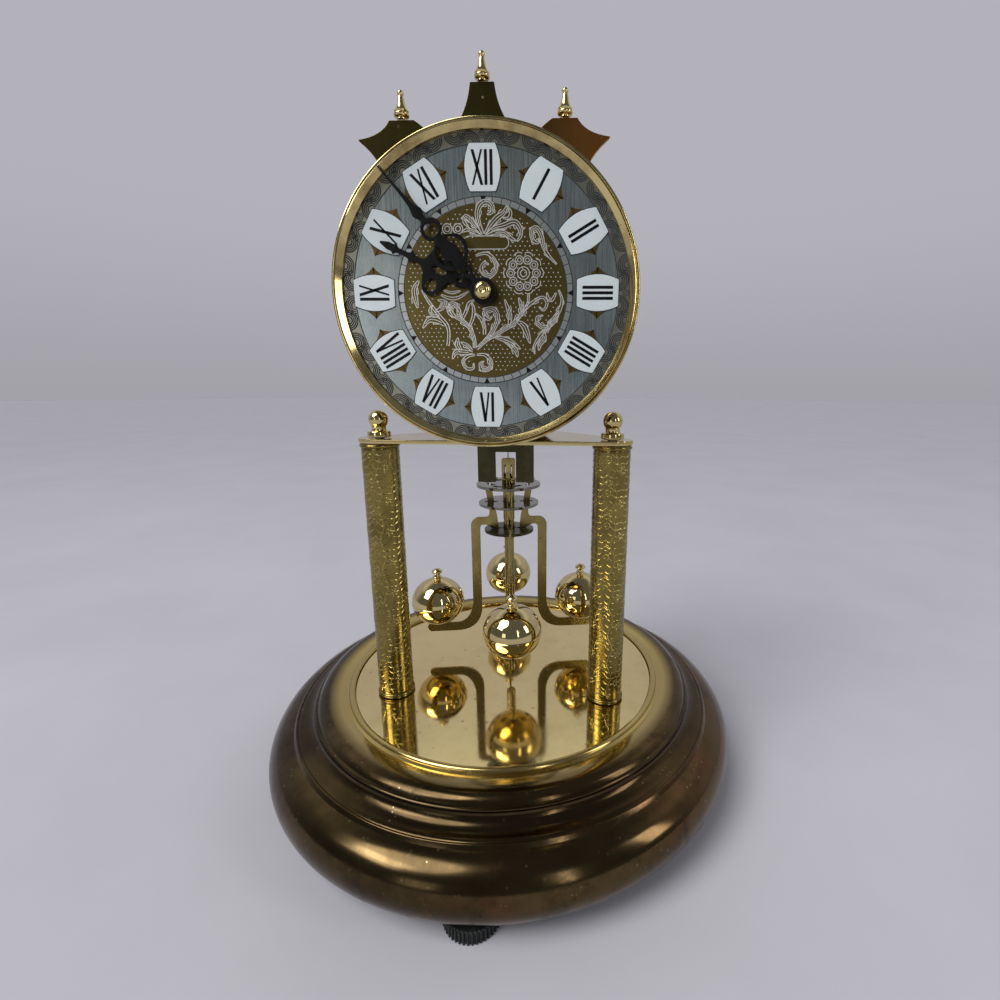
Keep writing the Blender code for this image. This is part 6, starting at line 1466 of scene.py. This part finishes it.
def mounted(name, spot, body, node, brass_parts, steel_parts):
    """A wheel and its arbor with pinion, brought to their place in the movement and given to their body."""
    place = facing(spot[0], DIAL_CENTRE + spot[1])
    wheel_piece = at_place(joined(brass_parts, name + "_brass"), place)
    fitted(wheel_piece, wheel_brass, body, "gear", node)
    steel_piece = at_place(joined(steel_parts, name + "_steel"), place)
    fitted(steel_piece, bright_steel, body, "steel")


CENTRE = (0.0, 0.0)
drum_profile = [(2.75, -4.6), (2.95, -4.8), (15.4, -4.8), (15.6, -4.65), (15.9, -4.65), (16.1, -4.8),
    (16.5, -4.8), (16.8, -4.5), (16.8, 6.05), (2.1, 6.05), (2.1, 7.0), (0, 7.0), (0, 6.0), (2.75, 6.0),
    (2.75, -4.6)]
drum = turned("barrel_drum", drum_profile, 96)
great = cut_sheet("great_wheel", [tooth_run(GREAT_TEETH, GREAT_MODULE, way(BARREL, SECOND))], 2.0, 0.06)
lift(great, 6.0)
cap = turned("barrel_cap", [(0, 7.9), (3.4, 7.9), (3.4, 8.3), (3.1, 8.5), (2.1, 8.5), (2.1, 24.4),
    (1.8, 24.7), (0.45, 24.7), (0.45, 26.2), (0, 26.2)], 40)
barrel_piece = at_place(joined([drum, great, cap], "spring_barrel"),
    facing(BARREL[0], DIAL_CENTRE + BARREL[1]))
fitted(barrel_piece, wheel_brass, "going_barrel", "brass", "barrel")
mounted("second_wheel_set", SECOND, "second", "second_wheel",
    [wheel_sheet("wheel", SECOND_TEETH, TRAIN_MODULE, 11.0, way(SECOND, THIRD))],
    [pinion_leaves("leaves", SECOND_LEAVES, GREAT_MODULE, 5.4, 8.6, way(SECOND, BARREL)
    + math.pi / SECOND_LEAVES), steel_arbor(hub_bottom=9.2, hub_top=10.98)])
mounted("third_wheel_set", THIRD, "third", "third_wheel", [wheel_sheet("wheel", THIRD_TEETH, TRAIN_MODULE,
    15.2, way(THIRD, CENTRE))], [pinion_leaves("leaves", THIRD_LEAVES, TRAIN_MODULE, 9.9, 13.1,
    way(THIRD, SECOND) + math.pi / THIRD_LEAVES), steel_arbor(hub_bottom=13.7, hub_top=15.18)])
centre_shaft = turned("centre_shaft", [(0, -7.2), (0.38, -7.2), (0.45, -7.05), (0.45, -5.7), (0.6, -5.55),
    (0.6, 17.7), (1.35, 17.7), (1.55, 17.9), (1.55, 19.2), (1.35, 19.38), (0.6, 19.38), (0.6, 41.6),
    (0, 41.6)], 20)
mounted("centre_wheel_set", CENTRE, "minute", "centre_wheel",
    [wheel_sheet("wheel", CENTRE_TEETH, FOURTH_MODULE, 19.4, way(CENTRE, FOURTH))],
    [pinion_leaves("leaves", CENTRE_LEAVES, TRAIN_MODULE, 14.1, 17.3, way(CENTRE, THIRD)
    + math.pi / CENTRE_LEAVES), centre_shaft])
mounted("fourth_wheel_set", FOURTH, "fourth", "fourth_wheel",
    [wheel_sheet("wheel", FOURTH_TEETH, TRAIN_MODULE, 7.0, way(FOURTH, ESCAPE))],
    [pinion_leaves("leaves", FOURTH_LEAVES, FOURTH_MODULE, 18.3, 21.5, way(FOURTH, CENTRE)
    + math.pi / FOURTH_LEAVES), steel_arbor(hub_bottom=8.02, hub_top=9.6)])
escape_run = []
for tooth in range(ESCAPE_TEETH):
    for share, radius in ((0.0, 9.0), (0.06, 8.95), (0.16, 8.2), (0.40, 7.2), (0.82, 7.2), (0.90, 7.5)):
        angle = math.pi / 2 + (tooth + share) * math.tau / ESCAPE_TEETH
        escape_run.append((radius * math.cos(angle), radius * math.sin(angle)))
escape_sheet = cut_sheet("escape_wheel", [escape_run] + spoke_windows(6.25, 2.1), 1.0, 0.04)
lift(escape_sheet, 2.4)
mounted("escape_wheel_set", ESCAPE, "escape", "escape_wheel", [escape_sheet],
    [pinion_leaves("leaves", ESCAPE_LEAVES, TRAIN_MODULE, 6.0, 9.0, way(ESCAPE, FOURTH)
    + math.pi / ESCAPE_LEAVES), steel_arbor(hub_bottom=3.42, hub_top=4.9)])

# The anchor rocks over the escape wheel on two polished pallets, and its crutch pin stands up behind the back
# plate, in the fork of the suspension.
anchor_side = [(0.0, 2.0), (2.0, 1.4)] + bent_points((2.6, 1.25), (7.6, 1.0), (7.6, -2.64), 10)[1:]
anchor_side += [(7.99, -6.2), (6.82, -6.2), (6.3, -3.2)] + bent_points((6.0, -2.64), (5.9, -0.8),
    (0, -1.6), 10)[1:]
anchor_shape = anchor_side[:-1] + [(0, -1.6)] + [(-x, y) for x, y in anchor_side[1:-1][::-1]]
anchor_sheet = cut_sheet("anchor_sheet", [anchor_shape], 1.4, 0.06)
lift(anchor_sheet, 2.2)
staff = turned("anchor_staff", [(0, -12.7), (0.45, -12.7), (0.6, -12.5), (0.6, 1.2), (1.4, 1.25),
    (1.55, 1.4), (1.55, 2.18), (0.6, 2.2), (0.6, 3.6), (1.5, 3.62), (1.5, 4.2), (0.6, 4.3), (0.6, 24.6),
    (0.45, 24.7), (0.45, 26.1), (0, 26.2)], 20)
crutch = turned("crutch_pin", [(0, 0), (0.5, 0), (0.5, 8.4), (0.35, 8.6), (0, 8.6)], 16)
crutch.data.transform(Matrix.Translation((0, 0, -12.2)) @ Matrix.Rotation(-math.pi / 2, 4, "X"))
anchor_piece = at_place(joined([anchor_sheet, staff, crutch], "pallet_anchor"),
    facing(ANCHOR[0], DIAL_CENTRE + ANCHOR[1]))
fitted(anchor_piece, bright_steel, "pallets", "steel", "anchor")

# Motion work: three small wheels and two pipes behind the dial turn the hour hand once for twelve turns of
# the minute hand. The pipes are steel and brass tube, one running inside the other.

MOTION_MODULE = 0.6
CANNON_LEAVES, CARRIER_TEETH, CARRIER_LEAVES, HOUR_TEETH = 10, 30, 8, 32
stud_way = way(CENTRE, STUD)
back_way = stud_way + math.pi
cannon = pinion_leaves("leaves", CANNON_LEAVES, MOTION_MODULE, 27.2, 29.2,
    stud_way + math.pi / CANNON_LEAVES)
cannon_pipe = turned("pipe", [(1.0, 27.2), (1.35, 27.2), (1.35, 29.1), (1.6, 29.3), (1.6, 39.6),
    (1.5, 39.7), (1.0, 39.7), (1.0, 27.2)], 32)
fitted(on_axis(joined([cannon_pipe, cannon], "cannon_pipe")), bright_steel, "minute", "steel",
    "cannon_pinion")
carrier_wheel = wheel_sheet("wheel", CARRIER_TEETH, MOTION_MODULE, 27.5, back_way)
carrier_leaves = pinion_leaves("leaves", CARRIER_LEAVES, MOTION_MODULE, 28.45, 32.2,
    back_way + math.pi / CARRIER_LEAVES)
carrier_hub = turned("hub", [(1.25, 27.5), (2.0, 27.5), (2.1, 27.7), (2.1, 28.3), (1.9, 28.9), (1.6, 29.0),
    (1.6, 32.15), (1.25, 32.2), (1.25, 27.5)], 32)
minute_place = facing(STUD[0], DIAL_CENTRE + STUD[1])
fitted(at_place(joined([carrier_wheel, carrier_leaves, carrier_hub], "minute_wheel_set"), minute_place),
    wheel_brass, "motion", "gear", "minute_wheel")
hour_sheet = wheel_sheet("wheel", HOUR_TEETH, MOTION_MODULE, 30.2, stud_way, hub=3.4)
hour_pipe = turned("pipe", [(2.0, 30.1), (3.0, 30.1), (3.0, 31.6), (2.6, 31.9), (2.6, 37.6), (2.5, 37.7),
    (2.0, 37.7), (2.0, 30.1)], 40)
fitted(on_axis(joined([hour_sheet, hour_pipe], "hour_wheel_set")), wheel_brass, "hour", "gear", "hour_wheel")

# Winding work: a steel ratchet on the back plate with a square for the key, and a click that a thin spring
# presses into its teeth. The click turns on a screw with a broad slotted head.

RATCHET_BACK = -9.1
RATCHET_DEEP = 1.3
RATCHET_TEETH = 24
CLICK_PIVOT = (-2.0, -15.25)

ratchet_run = []
for tooth in range(RATCHET_TEETH):
    for share, radius in ((0.0, 8.2), (0.10, 7.15), (0.35, 7.3), (0.7, 7.75)):
        angle = math.pi / 2 + (tooth + share) * math.tau / RATCHET_TEETH
        ratchet_run.append((radius * math.cos(angle), radius * math.sin(angle)))
ratchet = cut_sheet("ratchet", [ratchet_run, ring_outline(2.0, 24)], RATCHET_DEEP, 0.08)
lift(ratchet, RATCHET_BACK)
winding_shaft = turned("shaft", [(0, -9.4), (2.1, -9.4), (2.4, -9.2), (2.4, 5.5), (2.2, 5.7), (0, 5.7)], 40)
washer = turned("washer", [(1.7, -9.9), (3.0, -9.9), (3.25, -9.7), (3.25, -9.1), (1.7, -9.1), (1.7, -9.9)],
    40)
deselect_all()
bpy.ops.mesh.primitive_cube_add(size=1, location=(0, 0, -12.2), scale=(3.6, 3.6, 8.8))
square = bpy.context.object
bpy.ops.object.transform_apply(location=True, rotation=True, scale=True)
bpy.ops.object.mode_set(mode="EDIT")
bpy.ops.mesh.select_all(action="DESELECT")
close_mesh()
for face in square.data.polygons:
    face.select = face.normal.z < -0.9
bpy.ops.object.mode_set(mode="EDIT")
bpy.ops.mesh.inset(thickness=0.35, depth=0.0)
bpy.ops.transform.translate(value=(0, 0, -0.01))
close_mesh()
bevel = square.modifiers.new("eased corners", "BEVEL")
bevel.width = 0.28
bevel.segments = 3
bpy.ops.object.modifier_apply(modifier=bevel.name)
winding_piece = at_place(joined([ratchet, winding_shaft, washer, square], "ratchet_and_square"),
    facing(BARREL[0], DIAL_CENTRE + BARREL[1]))
fitted(winding_piece, bright_steel, "winding", "steel", "winding_arbor")

click_run = arc_points((0, 0), 1.5, 90, 270, 14)
click_run += [(4.9, -0.9), (7.1, -2.72), (7.4, -2.75), (8.0, 0.6), (7.25, 1.5)]
click_sheet = cut_sheet("click_bar", [click_run], RATCHET_DEEP, 0.1)
lift(click_sheet, RATCHET_BACK)
click_head = slotted_head(2.2, 0.4, 0.5)
flipped = Matrix.Rotation(math.pi, 4, "X") @ Matrix.Rotation(0.6, 4, "Z")
click_head.data.transform(Matrix.Translation((0, 0, RATCHET_BACK + 0.01)) @ flipped)
click_place = facing(CLICK_PIVOT[0], DIAL_CENTRE + CLICK_PIVOT[1])
fitted(at_place(joined([click_sheet, click_head], "ratchet_click_bar"), click_place), blued_steel,
    "ratchet_click", "steel", "click")

fitted(eased_copy("click_spring", "click_leaf_spring", 0.05, 1), blued_steel, "case", "steel",
    "click_spring")

# Suspension: a brass bracket screwed to the back plate carries a small clamping block. A ribbon of spring
# steel hangs from it, and a brass fork clamped to the ribbon is nudged by the crutch pin at every swing.

bracket_brass = metal("bracket brass", (0.64, 0.49, 0.21), (0.46, 0.34, 0.14), 0.18, 0.32, patches=80,
    cover=0.5, softness=0.25, stretch=(1800, 200, 200), depth=0.06)
fitted(eased_copy("suspension_bracket", "hanging_bracket", 0.25, 3), bracket_brass, "case", "brass",
    "suspension_bracket")
bracket_heads = []
head = slotted_head(1.5, 0.8, 0.42)
for x, y, turn in ((-8.5, 28.5, 0.4), (8.5, 28.5, 1.3), (-8.5, 45.0, 2.2), (8.5, 45.0, 0.9)):
    flipped = Matrix.Rotation(math.pi, 4, "X") @ Matrix.Rotation(turn, 4, "Z")
    bracket_heads.append(copied(head, Matrix.Translation((x, y, -9.8)) @ flipped))
bpy.data.objects.remove(head)
fitted(on_axis(joined(bracket_heads, "bracket_screws")), blued_steel, "case", "steel")
fitted(eased_copy("top_block", "clamping_block", 0.12, 2), bracket_brass, "case", "brass", "top_block")
fitted(eased_copy("fork", "ribbon_fork", 0.10, 2), bracket_brass, "crutch_fork", "brass", "fork")
fitted(eased_copy("suspension_ribbon", "steel_ribbon", 0.03, 1), bright_steel, "case", "steel",
    "suspension_ribbon")

# Pendulum: a brass rod hangs by its forked head from the block at the ribbon's end. It carries a nickelled
# disc with four spiral slots and, below it, two smaller discs that guide the arms.

PENDULUM_BACK = 17.2
PENDULUM_TURN = math.radians(8.4)
HUB = 2.6
REGULATING_DISC = (115.2, 14.5)
MIDDLE_DISC = (106.6, 13.6)
LOWER_DISC = (93.9, 11.3)
DISC_DEEP = 1.2
SLOT_TOUCH = 1.15
SLOT_RADIUS = 9.3
SLOT_RISE = 1.719
SLOT_HALF_TURN = 0.709

hanging = Matrix.Translation((0, PENDULUM_BACK * mm, 0)) @ Matrix.Rotation(PENDULUM_TURN, 4, "Z")
rod_profile = [(0, 58.0), (1.2, 58.0), (2.0, 58.5), (2.2, 59.4), (2.2, 90.2), (2.5, 90.6), (2.5, 91.4),
    (2.2, 91.8), (2.2, 92.4)]
rod_profile += [(3.3, 92.4), (3.55, 92.65), (3.55, 93.35), (3.3, 93.6), (HUB, 93.6), (HUB, 98.3),
    (2.35, 98.6), (2.35, 99.2), (HUB, 99.5), (HUB, 116.7), (2.9, 116.7), (3.1, 116.9), (3.1, 118.2),
    (2.9, 118.5), (2.9, 118.8), (3.1, 119.1), (3.1, 121.0), (0, 121.0)]
rod_piece = turned("pendulum_rod_turned", rod_profile, 48)
prong_profile = [(0, 121.0), (3.1, 121.0), (3.1, 126.8), (2.95, 127.4), (2.6, 127.7), (0, 127.7)]
prongs = []
for side in (-1, 1):
    prong = turned("prong", prong_profile, 48)
    take(prong)
    open_mesh()
    bpy.ops.mesh.bisect(plane_co=(side * 1.55, 0, 0), plane_no=(side, 0, 0), clear_inner=True, use_fill=True)
    close_mesh()
    prongs.append(prong)
cheek_outline = [(-2.7, 125.3), (2.7, 125.3), (2.7, 127.9), (2.3, 128.2), (-2.3, 128.2), (-2.7, 127.9)]
cheek = cut_sheet("front_cheek", [cheek_outline], 0.8, 0.1)
cheek.data.transform(Matrix.Translation((0, -3.15, 0)) @ Matrix.Rotation(math.pi / 2, 4, "X"))
prongs.append(cheek)
rod_brass = metal("rod brass", (0.40, 0.32, 0.125), (0.22, 0.17, 0.060), 0.12, 0.24, patches=70, cover=0.5,
    softness=0.25, stretch=(60, 60, 1400), depth=0.05)
rod_piece = at_place(joined([rod_piece] + prongs, "hanging_rod"), hanging)
fitted(rod_piece, rod_brass, "pendulum", "brass", "pendulum_rod")
fitted(eased_copy("bottom_block", "ribbon_end_block", 0.12, 2), bracket_brass, "pendulum", "brass",
    "bottom_block")

spiral_slots = []
for arm in range(4):
    middle = math.tau * arm / 4
    inner_edge, outer_edge = [], []
    for step in range(15):
        turn = SLOT_HALF_TURN * (2 * step / 14 - 1)
        radius = SLOT_RADIUS - SLOT_RISE * turn
        for edge, reach in ((inner_edge, radius - SLOT_TOUCH), (outer_edge, radius + SLOT_TOUCH)):
            edge.append((reach * math.cos(middle + turn), reach * math.sin(middle + turn)))
    spiral_slots.append(inner_edge + outer_edge[::-1])


def guide_slots(low, high, half=0.85):
    slots = []
    for arm in range(4):
        turn = Matrix.Rotation(math.tau * arm / 4, 2)
        slots.append([tuple(turn @ Vector(corner)) for corner in ((low, -half), (high, -half),
            (high, half), (low, half))])
    return slots


def slotted_disc(name, disc, slots, material, body, slot, node):
    height, radius = disc
    sheet = cut_sheet(name, [ring_outline(radius, 128), ring_outline(2.95, 40, turn=0.05)] + slots,
        DISC_DEEP, 0.14, 2)
    lift(sheet, height)
    return fitted(at_place(sheet, hanging), material, body, slot, node)


nickel = metal("nickel plate", (0.24, 0.235, 0.19), (0.105, 0.102, 0.072), 0.08, 0.20, patches=90,
    cover=0.45, softness=0.25, stretch=(600, 600, 200), depth=0.04, dirt=(0.20, 0.16, 0.10),
    dirt_scale=520, dirt_share=0.10)
slotted_disc("regulating_disc_slotted", REGULATING_DISC, spiral_slots, nickel, "regulator", "nickel",
    "regulating_disc")
slotted_disc("guide_disc_middle", MIDDLE_DISC, guide_slots(5.14, 10.83), nickel, "pendulum", "nickel",
    "middle_disc")
slotted_disc("guide_disc_lower", LOWER_DISC, guide_slots(3.55, 7.85), dark_brass, "pendulum", "dark_brass",
    "lower_disc")

# Arms: four bent strips sawn from brass sheet. Each has a narrow tip in a spiral slot, runs through the
# guide discs, and sweeps down and outwards under its ball, so that turning the top disc moves all four.

ARM_DEEP = 1.0
ARM_SLOPE = 0.1644
ARM_TIP = 9.3
ARM_WAIST = 6.9
ARM_TOP = 116.7
ARM_STRIP_TOP = 114.9
ARM_SHOULDER = 100.6
ARM_WIDE = 4.2
ARM_SIDE = 17.5
BALL_ORBIT = 33.85
BALL_CENTRE = 60.25
BALL_RADIUS = 12.15
BALL_SQUASH = 0.915

foot_top = BALL_CENTRE - BALL_RADIUS * BALL_SQUASH - 0.3
tail_top = 95.4
leg_inside = ARM_SIDE - ARM_WIDE
arm_shape = [(ARM_TIP - 0.5, ARM_TOP), (ARM_TIP - 0.5, ARM_STRIP_TOP), (ARM_TIP - 1.5, ARM_STRIP_TOP),
    (ARM_WAIST - 1.5, ARM_SHOULDER), (4.8, tail_top), (4.8, 93.6), (6.6, 93.6), (6.6, tail_top),
    (8.1, tail_top)]
arm_shape += bent_points((8.1, tail_top), (9.6, 97.0), (leg_inside - 1.5, 97.0), 8)[1:]
arm_shape += arc_points((leg_inside - 1.5, 95.5), 1.5, 90, 0, 6)[1:]
arm_shape += bent_points((leg_inside, 54.9), (leg_inside + 1.5, foot_top - ARM_WIDE),
    (25.5, foot_top - ARM_WIDE), 16)
arm_shape += arc_points((39.3 - ARM_WIDE / 2, foot_top - ARM_WIDE / 2), ARM_WIDE / 2, -90, 90, 14)
arm_shape += bent_points((25.5, foot_top), (ARM_SIDE + 1.5, foot_top), (ARM_SIDE, 58.5), 16)
arm_shape += arc_points((ARM_SIDE - 4.0, ARM_SHOULDER - 4.0), 4.0, 0, 90, 14)
arm_shape += bent_points((ARM_WAIST + 3.0 + ARM_SLOPE * ARM_WIDE, ARM_SHOULDER),
    (ARM_WAIST + 1.5, ARM_SHOULDER), (ARM_WAIST + 1.5 + ARM_SLOPE * ARM_WIDE, ARM_SHOULDER + ARM_WIDE), 8)
arm_shape += [(ARM_TIP + 1.5, ARM_STRIP_TOP), (ARM_TIP + 0.5, ARM_STRIP_TOP), (ARM_TIP + 0.5, ARM_TOP)]

olive_brass = metal("arm brass", (0.40, 0.32, 0.12), (0.25, 0.195, 0.070), 0.20, 0.34, patches=50,
    cover=0.5, softness=0.25, stretch=(120, 120, 900), depth=0.05, dirt=(0.22, 0.17, 0.08), dirt_scale=420,
    dirt_share=0.12)
arm_sheet = cut_sheet("arm_sheet", [arm_shape], ARM_DEEP, 0.14, 2)
lift(arm_sheet, -ARM_DEEP / 2)
for arm in range(4):
    quarter = hanging @ Matrix.Rotation(math.tau * arm / 4, 4, "Z")
    sheet = copied(arm_sheet, name=f"sawn_arm_{arm + 1}")
    at_place(sheet, quarter @ Matrix.Rotation(math.pi / 2, 4, "X"))
    fitted(sheet, olive_brass, f"carrier_{arm + 1}", "brass", f"arm_{arm + 1}")
bpy.data.objects.remove(arm_sheet)

# Balls: four hollow spheres pressed from brass in two halves, a little flattened, with a fine seam round the
# middle and a turned knob on top. Each sits on the foot of its arm.

ball_profile = [(0, -BALL_RADIUS * BALL_SQUASH)]
for start, end in ((-88, -1.6), (1.6, 76)):
    ball_profile += [(x, y * BALL_SQUASH) for x, y in arc_points((0, 0), BALL_RADIUS, start, end, 26)]
    if start < 0:
        ball_profile += [(BALL_RADIUS - 0.10, -0.24), (BALL_RADIUS - 0.24, -0.10),
            (BALL_RADIUS - 0.24, 0.10), (BALL_RADIUS - 0.10, 0.24)]
top = BALL_RADIUS * BALL_SQUASH
ball_profile += [(2.3, top - 0.16), (2.15, top), (2.15, top + 0.25)] + arc_points((1.75, top + 0.75), 0.42,
    -60, 80, 6)
ball_profile += [(1.5, top + 1.35), (1.25, top + 1.9), (1.3, top + 2.4), (1.75, top + 2.8)]
ball_profile += arc_points((1.9, top + 3.35), 0.58, -80, 60, 7) + [(1.85, top + 4.25), (1.2, top + 4.7),
    (0.5, top + 4.93), (0, top + 5.0)]
ball_brass = metal("ball brass", (0.66, 0.54, 0.27), (0.40, 0.31, 0.13), 0.05, 0.16, patches=34,
    cover=0.36, softness=0.2, depth=0.02, dirt=(0.34, 0.23, 0.10), dirt_scale=460, dirt_share=0.10)
ball_turned = turned("ball_turned", ball_profile, 96)
for arm in range(4):
    quarter = hanging @ Matrix.Rotation(math.tau * arm / 4, 4, "Z")
    ball = copied(ball_turned, name=f"pressed_ball_{arm + 1}")
    at_place(ball, quarter @ Matrix.Translation((BALL_ORBIT * mm, 0, BALL_CENTRE * mm)))
    fitted(ball, ball_brass, f"carrier_{arm + 1}", "polished", f"ball_{arm + 1}")
bpy.data.objects.remove(ball_turned)
